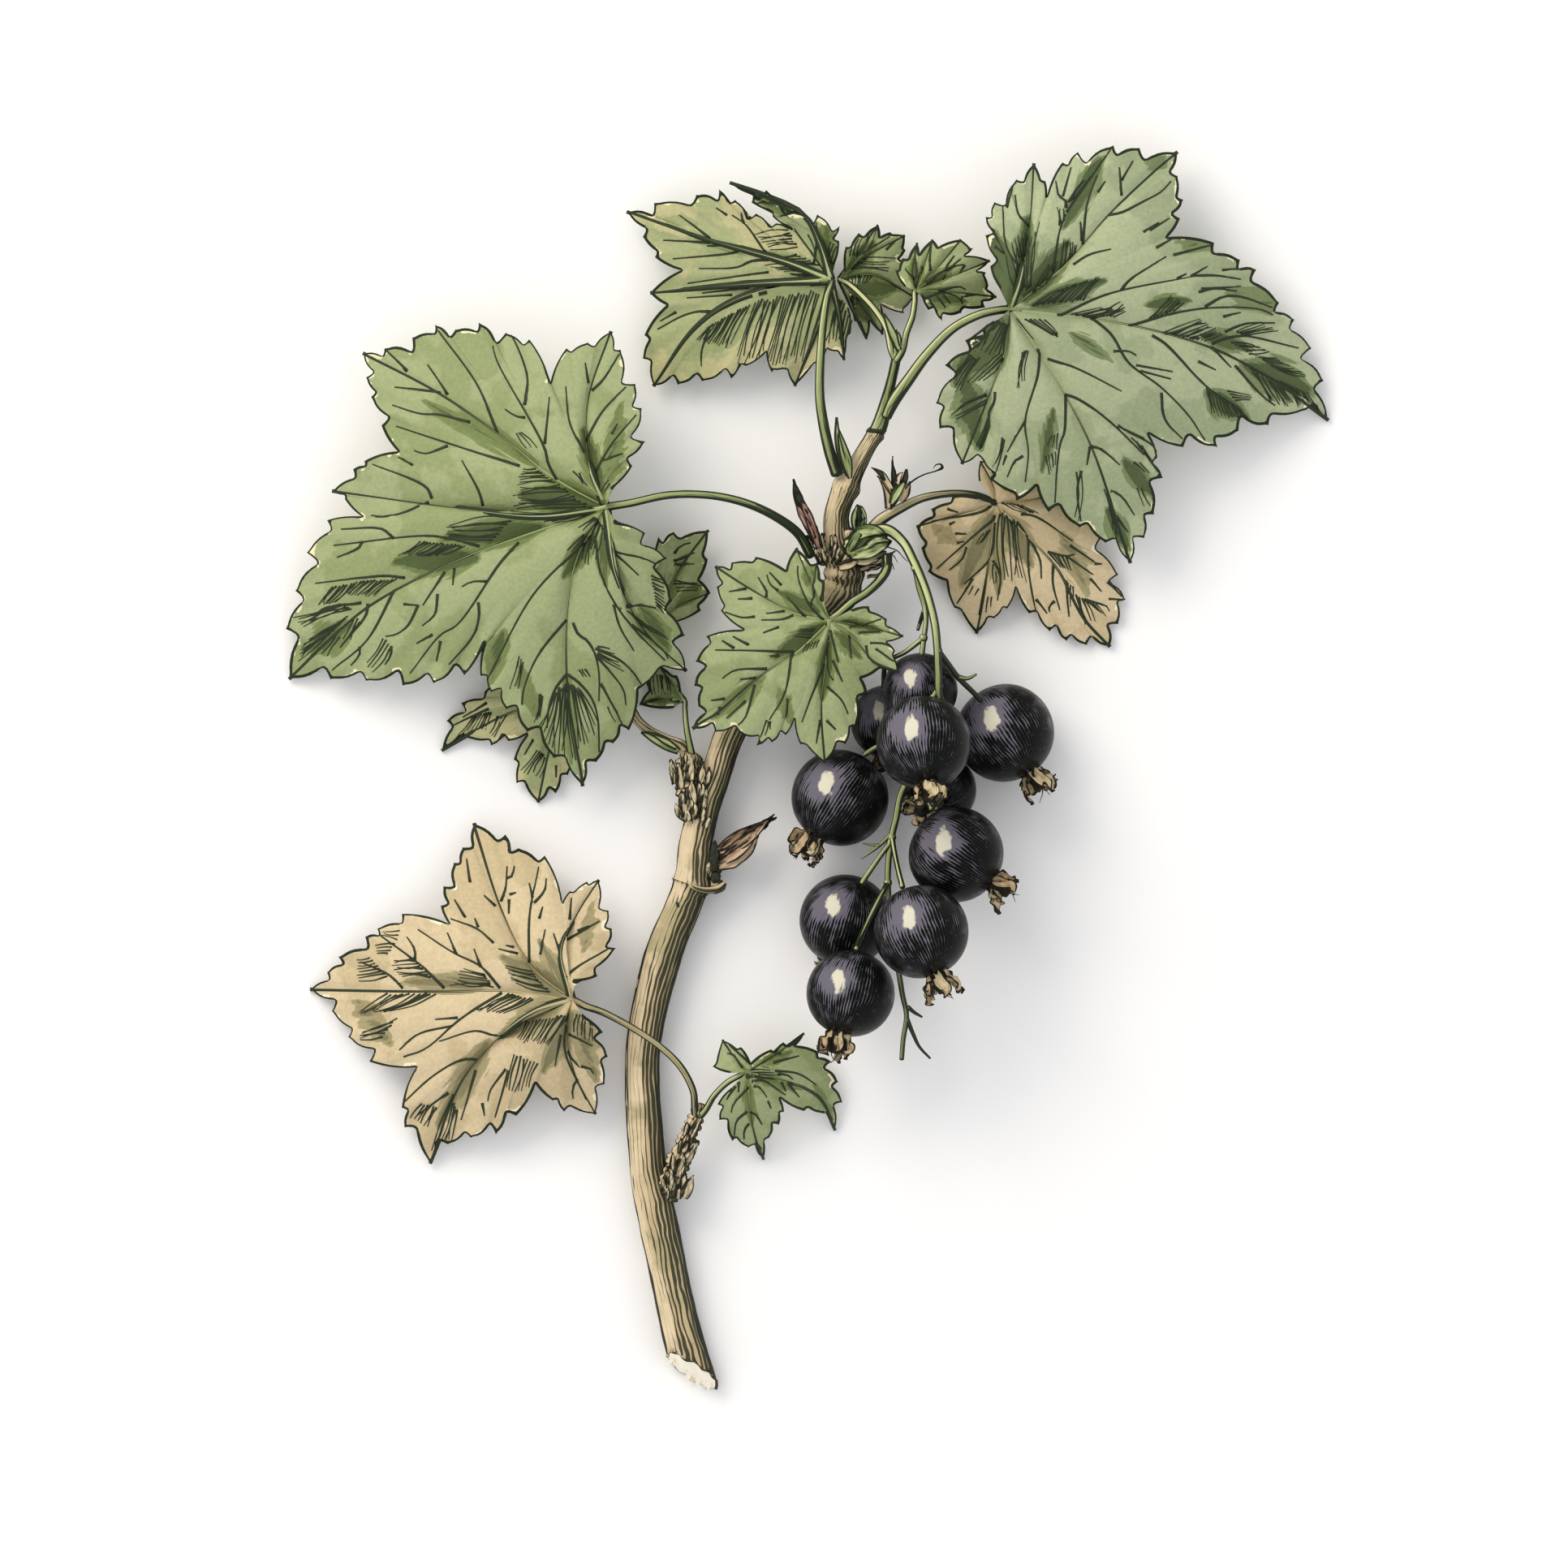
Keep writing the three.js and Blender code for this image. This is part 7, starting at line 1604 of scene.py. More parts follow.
def vein_network(leaf, chance):
    """Every vein as (points on the sheet, half width at its root, half width at its end, rank)."""
    veins = []
    for lobe in leaf["lobes"]:
        rib = rib_curve(leaf, lobe, RIB_THREAD_STEPS)
        size = min(1.0, 0.5 + run_lengths(rib)[-1] / SMALL_LEAF_REACH)
        veins.append((rib, RIB_WIDTHS[0] * size, RIB_WIDTHS[1] * size, 0))
    for line in leaf["veins"]:
        veins.append((smooth_curve(line, SIDE_THREAD_STEPS), *SIDE_WIDTHS, 1))
    # Rows of fine dark hatch lines of painted shade in the folds, laid as threads of rank 2.
    for start, end, last_start, last_end, count in leaf["shade_hatches"]:
        corners = [np.array(p, float) for p in (start, end, last_start, last_end)]
        for number in range(count):
            share = number / max(count - 1, 1)
            a = corners[0] + (corners[2] - corners[0]) * share
            b = corners[1] + (corners[3] - corners[1]) * share
            early, late = chance.uniform(*LATE_STARTS), chance.uniform(*EARLY_ENDS)
            aside = np.array([a[1] - b[1], b[0] - a[0]]) * chance.uniform(*HATCH_BOWS)
            places = [a + (b - a) * early, (a + b) / 2 + aside, a + (b - a) * late]
            line = smooth_curve(places, HATCH_STEPS)
            strong = chance.uniform(*HATCH_STRENGTHS)
            veins.append((line, HATCH_WIDTHS[0] * strong, HATCH_WIDTHS[1] * strong, 2))
    return veins


print("the centre leaf has", len(vein_network(LEAVES["leaf_centre"], random.Random(0))),
      "veins and wrinkles")

# %% [markdown]
# A blade is thin, puckered between its veins, sunk in its folds and wavy at the margin. A displacement
# texture could do that, but it would not know where the veins are. So the heights are added to the points
# from the same measures that colour them, and then the grid is made, closed to one point at the stalk and
# thickened.

# %% The measures and the relief of a blade
BLADE_LOWEST = 0.4
QUILT_HEIGHT = 0.32
QUILT_REACH = 1.5
FOLD_SINK = 0.28
MARGIN_WAVE = 0.22
MARGIN_WAVE_RATE = 1.1
MARGIN_WAVE_POWER = 6


def blade_measures(points, leaf, veins):
    """For every point, how far the margin is, how far the nearest vein is and how deep a fold is."""
    spots = points[..., :2].reshape(-1, 2)
    edge = distance_to_lines(spots, [points[:, -1, :2]])
    vein = distance_to_lines(spots, [line for line, *_, rank in veins if rank < 2])
    shade = fold_depth_and_shade(spots, leaf["folds"])
    return [measure.reshape(points.shape[:2]) for measure in (edge, vein, shade)]


def with_relief(points, margin_run, way, vein, shade):
    """The points raised between the veins, sunk in the folds and waved at the margin."""
    quilt = QUILT_HEIGHT * (1 - np.exp(-vein / QUILT_REACH))
    wave = MARGIN_WAVE * np.sin(margin_run[:, None] * MARGIN_WAVE_RATE) * way[None] ** MARGIN_WAVE_POWER
    height = np.maximum(points[..., 2] + (quilt - FOLD_SINK * shade + wave), BLADE_LOWEST)
    return np.dstack([points[..., :2], height])


print("a blade arches up to", QUILT_HEIGHT, "mm between its veins")

# %% The grid of a blade
VEIN_FIELD_ENDS = 3.0
UV_PER_WAY = 50.0


def blade_grid(bm, places, measures, margin_run, way):
    """A grid at the places, with its measures in the layers. Gives each vertex's column."""
    across, along = len(places) - 1, len(way) - 1
    made = bmesh.ops.create_grid(bm, x_segments=across, y_segments=along, size=1, calc_uvs=True)["verts"]
    edge, vein, shade = measures
    values = dict(shade=shade, edge=edge, vein=np.minimum(vein, VEIN_FIELD_ENDS))
    layers = [(bm.verts.layers.float[name], value) for name, value in values.items()]
    uv = bm.loops.layers.uv["UVMap"]
    column_of = {}
    for vert, column, level in grid_places(made, across, along):
        vert.co = places[column, level]
        column_of[vert] = column
        for layer, value in layers:
            vert[layer] = value[column, level]
        for loop in vert.link_loops:
            loop[uv].uv = (margin_run[column], way[level] * UV_PER_WAY)
    return column_of


print("beyond", VEIN_FIELD_ENDS, "mm a vein is too far to matter")

# %% The blade of one leaf
BLADE_THICKNESS = 0.4
RING_SPACING = 0.72
FEWEST_RINGS = 14


def make_blade(bm, leaf, veins):
    """The blade: a bent grid with two faces and a rim."""
    longest = max(math.dist(lobe["tip"][:2], leaf["base"][:2]) for lobe in leaf["lobes"])
    rings = max(FEWEST_RINGS, round(longest / RING_SPACING))
    points, margin_run, way, owners = blade_points(leaf, rings)
    edge, vein, shade = blade_measures(points, leaf, veins)
    points = with_relief(points, margin_run, way, vein, shade)
    upper_side = points.reshape(-1, 3) + np.array([0.0, 0.0, BLADE_THICKNESS / 2])
    places = in_frame(upper_side).reshape(points.shape)
    column_of = blade_grid(bm, places, (edge, vein, shade), margin_run, way)
    top = {face for vert in column_of for face in vert.link_faces}
    flap = {index for index, lobe in enumerate(leaf["lobes"]) if "turned_over" in lobe}
    flap_verts = {vert for vert, column in column_of.items() if owners[column] in flap}
    turned = [face for face in top if all(vert in flap_verts for vert in face.verts)]
    bmesh.ops.remove_doubles(bm, verts=list(column_of), dist=SAME_PLACE)
    top = [face for face in top if face.is_valid]
    below = bmesh.ops.extrude_face_region(bm, geom=top, use_keep_orig=True)["geom"]
    lowered = [item for item in below if isinstance(item, bmesh.types.BMVert)]
    bmesh.ops.translate(bm, verts=lowered, vec=(0, 0, -BLADE_THICKNESS * MM))
    for face in bm.faces:
        face.smooth = True
    lower_faces = [item for item in below if isinstance(item, bmesh.types.BMFace)]
    for face in lower_faces + [face for face in turned if face.is_valid]:
        face.material_index = 1


print("a blade is", BLADE_THICKNESS, "mm thick")

# %% A thread through the blade
VEIN_SIDES = 6
VEIN_SPREAD = 1.5


def vein_thread(bm, row, half_height, material):
    """A thin tall thread: its section is half_height high and as wide as each row says."""
    middle = in_frame([p[:3] for p in row])
    steps = len(row) + 1
    middle = np.vstack([middle[:1], middle, middle[-1:]])
    along = np.gradient(middle, axis=0)
    along /= np.maximum(np.linalg.norm(along, axis=1), 1e-9)[:, None]
    widths = [0.0, *(w for *_, w in row), 0.0]
    made = bmesh.ops.create_grid(bm, x_segments=VEIN_SIDES, y_segments=steps, size=1, calc_uvs=True)["verts"]
    up = np.array([0.0, 0.0, 1.0])
    for vert, column, level in grid_places(made, VEIN_SIDES, steps):
        turn = (column % VEIN_SIDES) / VEIN_SIDES * 2 * math.pi
        sideways = np.cross(along[level], up)
        sideways /= max(np.linalg.norm(sideways), 1e-9)
        tall = half_height if widths[level] else 0.0
        offset = sideways * math.sin(turn) * widths[level] * VEIN_SPREAD + up * math.cos(turn) * tall
        vert.co = middle[level] + offset * MM
    for face in {face for vert in made for face in vert.link_faces}:
        face.smooth = True
        face.material_index = material
    bmesh.ops.remove_doubles(bm, verts=made, dist=SAME_PLACE)


print("a thread has", VEIN_SIDES, "sides")

# %% One vein laid through the blade
VEIN_STANDS_OUT = 0.13
SIDE_VEIN_SHARE = 0.85
VEIN_STEP = 0.62
PALE_BACK = 0.7
PALE_WIDTH = 0.42
PALE_STANDS_OUT = VEIN_STANDS_OUT + 0.04
PALE_SUNK = 0.02
SKY = 0.1


def over_the_blade(blade, line):
    """The places of a line that lie over the blade, with the height of its upper face there."""
    kept = []
    for spot, (x, y, _) in zip(line, in_frame(np.column_stack([line, np.zeros(len(line))]))):
        hit = blade.ray_cast(Vector((x, y, SKY)), Vector((0, 0, -1)))[0]
        if hit is not None:
            kept.append((*spot, hit.z / MM))
    return kept


def lay_vein(bm, blade, line, root_width, end_width, rank):
    """One vein: a dark thread, and on a rib a pale one along the first part of its back."""
    length = run_lengths(line)[-1]
    line = at_fractions(line, np.linspace(0, 1, max(4, round(length / VEIN_STEP))))
    kept = over_the_blade(blade, line)
    if len(kept) < 3:
        return
    half = BLADE_THICKNESS / 2
    widths = np.linspace(root_width, end_width, len(kept))
    row = [(x, y, z - half, w) for (x, y, z), w in zip(kept, widths)]
    vein_thread(bm, row, half + VEIN_STANDS_OUT * (1.0 if rank == 0 else SIDE_VEIN_SHARE), 2)
    if rank == 0:
        pale_part = max(3, int(len(kept) * PALE_BACK))
        ridge = [(x, y, z - PALE_SUNK, w * PALE_WIDTH * (1 - i / pale_part))
                 for i, ((x, y, z), w) in enumerate(zip(kept[:pale_part], widths))]
        vein_thread(bm, ridge, PALE_STANDS_OUT, 3)


print("a rib stands out", VEIN_STANDS_OUT, "mm on both sides of the blade")

# %% One leaf: blade, veins and stalk
STALK_INWARD = 1.4
STALK_FOOT = (0.05, 0.7)


def lay_stalk(bm, leaf):
    """The leaf's stalk, which runs on a little way under the blade."""
    inward = np.array(leaf["lobes"][len(leaf["lobes"]) // 2]["rib"][0]) - np.array(leaf["base"][:2])
    inward = inward / np.linalg.norm(inward) * STALK_INWARD
    base, last = leaf["base"], leaf["petiole"][-1][3]
    stalk = [*leaf["petiole"], (*base, last),
             (base[0] + inward[0], base[1] + inward[1], base[2] - STALK_FOOT[0], last * STALK_FOOT[1])]
    faces = [face for face in tube(bm, stalk, sides=14, per_span=7, material=4) if face.is_valid]
    bmesh.ops.recalc_face_normals(bm, faces=faces)
    bm.normal_update()
    keep_facing(bm, {vert for face in faces for vert in face.verts})


def make_leaf(name, upper, lower, ridge_finish, stalk_finish):
    """One leaf as one piece."""
    leaf = LEAVES[name]
    veins = vein_network(leaf, random.Random(name))
    bm = new_skin()
    make_blade(bm, leaf, veins)
    bm.normal_update()
    blade = BVHTree.FromBMesh(bm)
    for vein in veins:
        lay_vein(bm, blade, *vein)
    lay_stalk(bm, leaf)
    finishes = [upper, lower, vein_dark, ridge_finish, stalk_finish]
    finish_piece(bm, name, finishes, name, paint_shade_by_facing=False)


print("a stalk runs", STALK_INWARD, "mm on under its blade")

# %% [markdown]
# ## The twelve leaves
# Each leaf is one piece: blade, veins and stalk grew together. The two that dried have tan stalks and ribs,
# and the turned leaf and the one behind it show their downy side.

# %% All twelve leaves
LEAF_LOOKS = dict(
    leaf_large_left=(leaf_green, leaf_below, "leaf_green"),
    leaf_large_right=(leaf_blue, leaf_below, "leaf_blue_green"),
    leaf_pale_right=(leaf_tan, leaf_tan, "leaf_tan"),
    leaf_centre=(leaf_green, leaf_below, "leaf_green"),
    leaf_pale_lower_left=(leaf_tan, leaf_tan, "leaf_tan"),
    leaf_small_lower_right=(leaf_green, leaf_below, "leaf_green"),
    leaf_turned_top_left=(leaf_below, leaf_green, "leaf_underside"),
    leaf_young_folded=(leaf_green, leaf_below, "leaf_green"),
    leaf_young_open=(leaf_green, leaf_below, "leaf_green"),
    leaf_behind_right=(leaf_green, leaf_below, "leaf_green"),
    leaf_behind_left=(leaf_below, leaf_below, "leaf_green"),
    leaf_bud_left=(leaf_green, leaf_below, "leaf_green"),
)
for leaf_name, (upper, lower, leaf_slot) in LEAF_LOOKS.items():
    dried = upper is leaf_tan
    make_leaf(leaf_name, upper, lower, vein_tan if dried else vein_pale,
              tan_stalk if dried else green_shoot)

# %% [markdown]
# ## The wood
# Last year's wood is a tan stick that bends at every node, with a swollen collar where each leaf stood. It
# could be a plain cylinder bent by hand, but every swelling would then be a separate edit. A tube along a
# row of places with their radii carries the bends and the collars at once. Two short spurs carry rings of
# old bud scales, and a dead twig leaves the upper one.

# %% The stick, its two spurs and the twig
STEM = [
    (87.2, 175.0, 2.2, 2.4), (85.8, 170.2, 2.2, 2.45), (84.3, 165.5, 2.2, 2.45), (83.0, 160.0, 2.25, 2.35),
    (82.0, 155.0, 2.4, 2.35), (81.0, 150.0, 2.5, 2.4), (80.0, 145.0, 2.6, 2.25), (79.4, 138.0, 2.6, 2.15),
    (79.2, 130.0, 2.6, 2.15), (80.4, 122.8, 2.7, 2.2), (81.8, 117.4, 2.8, 2.3), (84.0, 112.0, 3.0, 2.2),
    (84.9, 109.6, 3.0, 2.2), (85.2, 108.8, 3.0, 2.55), (85.3, 107.9, 3.1, 2.2), (85.7, 104.0, 3.2, 2.05),
    (86.6, 100.0, 3.4, 1.95), (88.2, 95.4, 3.7, 1.85), (89.9, 90.5, 4.0, 1.8), (93.6, 84.2, 4.6, 1.8),
    (98.2, 78.4, 5.4, 1.9), (101.8, 75.0, 6.0, 2.1), (103.6, 72.6, 6.4, 2.45), (103.9, 71.6, 6.6, 2.25),
    (104.0, 70.6, 6.8, 2.5), (104.0, 69.6, 7.0, 2.25), (103.8, 68.4, 7.3, 2.3), (103.2, 66.0, 7.6, 1.7),
    (103.1, 63.6, 7.9, 1.5), (103.8, 61.2, 8.1, 1.55), (104.4, 59.9, 8.2, 1.75), (104.9, 58.9, 8.3, 1.3),
    (106.2, 56.2, 8.7, 1.1), (107.4, 54.2, 9.0, 1.05), (107.9, 53.4, 9.1, 1.2),
]
LOWER_SPUR = [
    (82.4, 147.4, 3.2, 1.3), (82.9, 145.8, 3.6, 1.85), (83.2, 144.2, 3.9, 1.4), (83.6, 143.0, 4.1, 1.6),
    (84.0, 141.8, 4.3, 1.1), (84.5, 140.8, 4.5, 1.25), (84.9, 139.6, 4.7, 0.95), (85.4, 138.6, 4.9, 1.05),
    (85.8, 137.6, 5.0, 0.95), (86.3, 136.3, 5.3, 0.8),
]
MIDDLE_SPUR = [
    (86.0, 101.6, 3.4, 1.2), (85.5, 100.2, 3.7, 1.9), (85.3, 98.6, 3.9, 1.5), (85.1, 97.4, 4.0, 1.9),
    (84.9, 96.0, 4.1, 1.5), (84.9, 94.6, 4.2, 1.8), (85.2, 93.2, 4.3, 1.3),
]
TWIG = [
    (84.9, 94.0, 4.3, 0.8), (84.1, 92.0, 4.4, 0.72), (82.2, 91.2, 4.5, 0.68), (80.2, 90.2, 4.5, 0.64),
    (78.6, 88.8, 4.4, 0.6), (77.9, 87.8, 4.3, 0.7),
]
print("the stick is", round(run_lengths(np.array(STEM)[:, :3])[-1]), "mm long")

# %% Knobs and scars on the wood
BARK_KNOBS = [
    ((82.6, 146.2, 3.5), (2.0, 1.7, 1.6)), ((88.2, 109.2, 3.2), (1.3, 0.9, 1.1)),
    ((87.6, 107.0, 3.4), (1.4, 1.3, 1.2)), ((101.6, 68.2, 7.8), (1.3, 1.5, 1.3)),
    ((104.4, 66.8, 7.6), (2.4, 1.9, 1.7)), ((107.9, 66.0, 8.0), (1.5, 1.3, 1.2)),
    ((107.0, 68.6, 7.6), (1.9, 1.6, 1.3)),
]
LEAF_SCAR_LIP = [
    (84.4, 107.9, 4.7, 0.2), (85.4, 109.2, 5.3, 0.34), (87.0, 109.7, 5.0, 0.42), (88.4, 109.5, 4.5, 0.42),
    (89.3, 108.8, 4.2, 0.25),
]
# Where a leaf, a bud and a stalk broke off: place, radii and how lumpy.
DARK_SCARS = [
    ((83.7, 111.6, 4.95), (0.5, 0.65, 0.25), 0.1), ((88.1, 105.7, 4.4), (0.7, 1.9, 0.9), 0.3),
    ((88.2, 108.1, 4.3), (0.65, 0.7, 0.6), 0.3),
]
BARK_LUMPS = 0.25
print(len(BARK_KNOBS), "knobs of bark and", len(DARK_SCARS), "dark scars")


# %% The relief of bark and of a spur's rings
def bark_relief(turn, run):
    """Long shallow ridges along the wood, in millimetres."""
    spot = Vector((math.cos(turn) * 2.4, math.sin(turn) * 2.4, run * 0.12))
    return 0.2 * noise.noise(spot) + 0.1 * noise.noise(spot * 2.9)


def ringed_relief(turn, run):
    """The close rings that fallen bud scales leave on a spur."""
    return 0.14 * math.sin(run * 7.0 + math.sin(turn * 2)) + 0.12 * noise.noise(Vector((turn * 1.3, run, 0)))


ridges = [bark_relief(0.0, run) for run in range(100)]
print("bark ridges reach from", round(min(ridges), 2), "to", round(max(ridges), 2), "mm")

# %% [markdown]
# The stick was cut slanting with a knife at its lower end, so the pale wood shows there inside a rim of
# bark, and a few splinters hang from the lower lip. A flat disc stuck on the end would be simple, but its
# edge would never match the bark. A plane through the tube makes the cut instead, and the hole is filled and
# inset. The rim is nudged a little, because no knife leaves a perfect edge.

# %% The cut and its splinters
CUT_PLACE = (85.8, 169.1, 2.3)
CUT_WAY = Vector((-0.45, -0.80, 0.40)).normalized()
CUT_RIM_STEP = 0.45
CUT_RIM_RATE = 900
CUT_SUNK = 0.12
BARK_WIDTH = 0.34
# Splinters and loose bark at the cut, as (across, down, height, half width) from root to point.
SPLINTERS = [
    [(85.0, 168.9, 1.6, 0.45), (84.8, 169.7, 1.2, 0.28), (84.6, 170.3, 0.9, 0.03)],
    [(86.2, 169.4, 1.8, 0.5), (86.0, 170.2, 1.3, 0.3), (85.8, 170.9, 0.9, 0.03)],
    [(87.3, 169.8, 2.2, 0.45), (87.3, 170.7, 1.8, 0.3), (87.2, 171.4, 1.4, 0.03)],
    [(82.9, 167.2, 2.6, 0.35), (82.6, 167.8, 2.4, 0.2), (82.3, 168.1, 2.2, 0.03)],
]


def cut_across(bm):
    """Cuts the stick's lower end off and closes it with pale wood inside a rim of bark."""
    everything = bm.verts[:] + bm.edges[:] + bm.faces[:]
    cut = bmesh.ops.bisect_plane(bm, geom=everything, dist=1e-7, plane_co=Vector(in_frame([CUT_PLACE])[0]),
                                 plane_no=CUT_WAY, clear_outer=True)["geom_cut"]
    rim = [item for item in cut if isinstance(item, bmesh.types.BMEdge)]
    for vert in {vert for edge_item in rim for vert in edge_item.verts}:
        vert.co += CUT_WAY * CUT_RIM_STEP * noise.noise(vert.co * CUT_RIM_RATE) * MM
    cut_face = bmesh.ops.edgeloop_fill(bm, edges=rim)["faces"]
    bmesh.ops.inset_region(bm, faces=cut_face, thickness=BARK_WIDTH * MM, depth=CUT_SUNK * MM)
    uv = bm.loops.layers.uv["UVMap"]
    for face in cut_face:
        face.material_index = 1
        for loop in face.loops:
            loop[uv].uv = (loop.vert.co.x / MM, loop.vert.co.y / MM)


print(len(SPLINTERS), "splinters at the cut")

# %% [markdown]
# Each spur and node still wears the dry scales of old buds. They could be one ragged ring of faces, but it
# is their many dark edges that make the place look rough. So each is a thin shell of its own, and a few
# smaller ones sit around it, moved aside and shorter by a seeded chance.

# %% The old scales of the spurs
# Each scale's root, its point and how wide it is.
SPUR_SCALES = [
    ((84.2, 147.6, 4.9), (85.4, 144.8, 5.6), 0.9), ((82.2, 146.8, 5.1), (82.6, 143.6, 5.7), 0.9),
    ((83.4, 145.0, 5.4), (84.2, 142.0, 6.0), 0.9), ((84.6, 143.2, 5.3), (85.6, 140.6, 5.8), 0.7),
    ((83.8, 142.2, 5.6), (84.8, 139.6, 6.0), 0.7), ((85.0, 140.2, 5.6), (86.2, 137.6, 6.0), 0.6),
    ((84.4, 100.6, 5.4), (83.9, 97.4, 5.9), 1.0), ((86.2, 100.8, 5.2), (86.9, 97.6, 5.6), 0.9),
    ((85.2, 99.4, 5.7), (85.2, 96.2, 6.1), 1.0), ((83.8, 97.2, 5.4), (83.6, 94.0, 5.9), 0.9),
    ((86.2, 97.4, 5.4), (86.6, 93.8, 5.8), 0.9), ((85.0, 96.2, 5.9), (85.0, 92.8, 6.2), 0.9),
    ((101.2, 69.2, 9.0), (100.6, 66.4, 9.6), 0.7), ((102.6, 68.6, 9.4), (102.4, 66.0, 9.8), 0.6),
    ((103.4, 69.8, 9.6), (104.9, 67.6, 9.8), 0.8), ((100.9, 66.6, 9.2), (100.2, 63.9, 9.4), 0.35),
    ((105.4, 69.4, 9.2), (108.4, 68.3, 9.6), 0.55), ((106.0, 70.2, 8.8), (109.4, 68.9, 9.2), 0.45),
]
SMALL_SCALES = 3
SMALL_SCALE_ASIDE = (0.9, 1.2)
SMALL_SCALE_LENGTHS = (0.45, 0.7)


def pointed_scale(bm, root, point, half_width, crumple, seed):
    """An arched scale from its root to its point."""
    root, point = np.array(root, float), np.array(point, float)
    lift = np.array([0.0, 0.0, 0.25])
    spine = [(*(root + (point - root) * f + lift * math.sin(math.pi * f)), half_width * w)
             for f, w in ((0.0, 0.75), (0.3, 1.0), (0.65, 0.8), (0.88, 0.35), (1.0, 0.03))]
    shell(bm, spine, (0.15, 0.0, 1.0), cup=0.45, material=2, crumple=crumple, seed=seed)


print(len(SPUR_SCALES) * (1 + SMALL_SCALES), "old scales")

# %% The woody stem in one piece
# No vertex lies lower than this over the table, in millimetres.
LOWEST = 0.02

bm = new_skin()
tube(bm, STEM, sides=56, per_span=8, relief=bark_relief)
cut_across(bm)
tube(bm, LOWER_SPUR, sides=28, per_span=8, relief=ringed_relief)
tube(bm, MIDDLE_SPUR, sides=32, per_span=8, relief=ringed_relief)
tube(bm, TWIG, sides=18, per_span=8)
for number, (at, radii) in enumerate(BARK_KNOBS):
    knob(bm, at, radii, lumps=BARK_LUMPS, seed=number * 3.1)
tube(bm, LEAF_SCAR_LIP, sides=14, per_span=6)
for at, radii, lumps in DARK_SCARS:
    knob(bm, at, radii, material=3, lumps=lumps)
for spine in SPLINTERS:
    shell(bm, spine, (0.0, 0.2, 1.0), cup=0.2, thickness=0.12, columns=4, material=1)
scale_chance = random.Random(7)
for number, (root, point, half_width) in enumerate(SPUR_SCALES):
    pointed_scale(bm, root, point, half_width * 0.7, crumple=0.3, seed=number)
    reach = np.array(point) - np.array(root)
    for _ in range(SMALL_SCALES):
        aside = np.array([scale_chance.uniform(-most, most) for most in SMALL_SCALE_ASIDE] + [0.1])
        small_root = np.array(root) + aside
        small_point = small_root + reach * scale_chance.uniform(*SMALL_SCALE_LENGTHS) + aside / 2
        pointed_scale(bm, small_root, small_point, half_width * 0.45, crumple=0.4, seed=number + 40)
for vert in bm.verts:
    vert.co.z = max(vert.co.z, LOWEST * MM)
finish_piece(bm, "woody_stem", [bark, cut_wood, spur_scale, dark_scar], "woody_stem")

# %% [markdown]
# Above the last ring the shoot is this year's growth, soft and green. It is a piece of its own, because the
# wood ends there with a dark ring where the winter bud opened.

# %% The green end of the shoot
SHOOT_TIP = [
    (107.7, 53.8, 9.1, 1.0), (108.4, 52.4, 9.3, 1.0), (109.2, 49.4, 10.0, 0.75), (109.9, 46.6, 11.2, 0.62),
    (110.4, 44.2, 12.3, 0.6), (110.5, 42.9, 12.8, 0.5),
]
bm = new_skin()
tube(bm, SHOOT_TIP, sides=24, per_span=8)
knob(bm, (108.0, 53.1, 9.35), (1.3, 0.42, 1.15), material=1)
finish_piece(bm, "shoot_tip", [green_shoot, dark_scar], "shoot_tip")

# %% [markdown]
# ## Buds
# A bud is a small cone wrapped in overlapping scales. Carving scales into the cone would leave them without
# edges, so each scale is a thin arched shell with a dark edge, laid on a cone, the outer ones short and the
# inner ones reaching the point.

# %% A cone and its scales
DARK_TIPS = 2


def wrapped_bud(name, cone, scales, out, finishes):
    """A cone and the scales that wrap it. The last scales take the second finish, if there is one."""
    bm = new_skin()
    tube(bm, cone, sides=20, per_span=6)
    for number, spine in enumerate(scales):
        dark = len(finishes) > 1 and number >= len(scales) - DARK_TIPS
        shell(bm, spine, out, cup=0.5, thickness=0.12, crumple=0.35, seed=number, material=int(dark))
    finish_piece(bm, name, finishes, name)


print("the last", DARK_TIPS, "scales of a bud are dark")

# %% The brown bud on the right of the stick
BUD_RIGHT_CONE = [
    (88.9, 105.6, 4.2, 0.9), (89.8, 104.8, 4.4, 1.35), (91.2, 103.6, 4.6, 1.35), (92.8, 102.4, 4.8, 0.85),
    (94.2, 101.4, 4.9, 0.35), (95.2, 100.7, 5.0, 0.1),
]
BUD_RIGHT_SCALES = [
    [(88.6, 106.8, 4.8, 0.5), (90.2, 105.9, 5.4, 0.95), (92.0, 104.5, 5.6, 0.85), (93.4, 102.9, 5.4, 0.1)],
    [(88.6, 104.8, 5.2, 0.5), (90.0, 103.9, 5.9, 0.95), (91.4, 102.9, 5.8, 0.75), (92.6, 101.8, 5.4, 0.08)],
    [(89.2, 106.0, 5.6, 0.55), (90.6, 104.7, 6.1, 0.95), (92.2, 103.4, 6.0, 0.7), (93.4, 102.0, 5.6, 0.08)],
    [(90.8, 104.4, 6.0, 0.5), (92.2, 103.1, 6.0, 0.75), (93.6, 101.9, 5.6, 0.45), (94.8, 100.9, 5.2, 0.04)],
    [(92.6, 102.7, 5.7, 0.3), (93.8, 101.6, 5.5, 0.34), (94.8, 100.9, 5.2, 0.12), (95.4, 100.3, 5.1, 0.03)],
    [(93.2, 102.5, 5.4, 0.2), (94.4, 101.6, 5.2, 0.2), (95.0, 101.1, 5.1, 0.1), (95.7, 100.7, 5.0, 0.03)],
]
wrapped_bud("bud_right", BUD_RIGHT_CONE, BUD_RIGHT_SCALES, (0.2, 0.2, 1.0),
            [bud_scale, dark_scale])

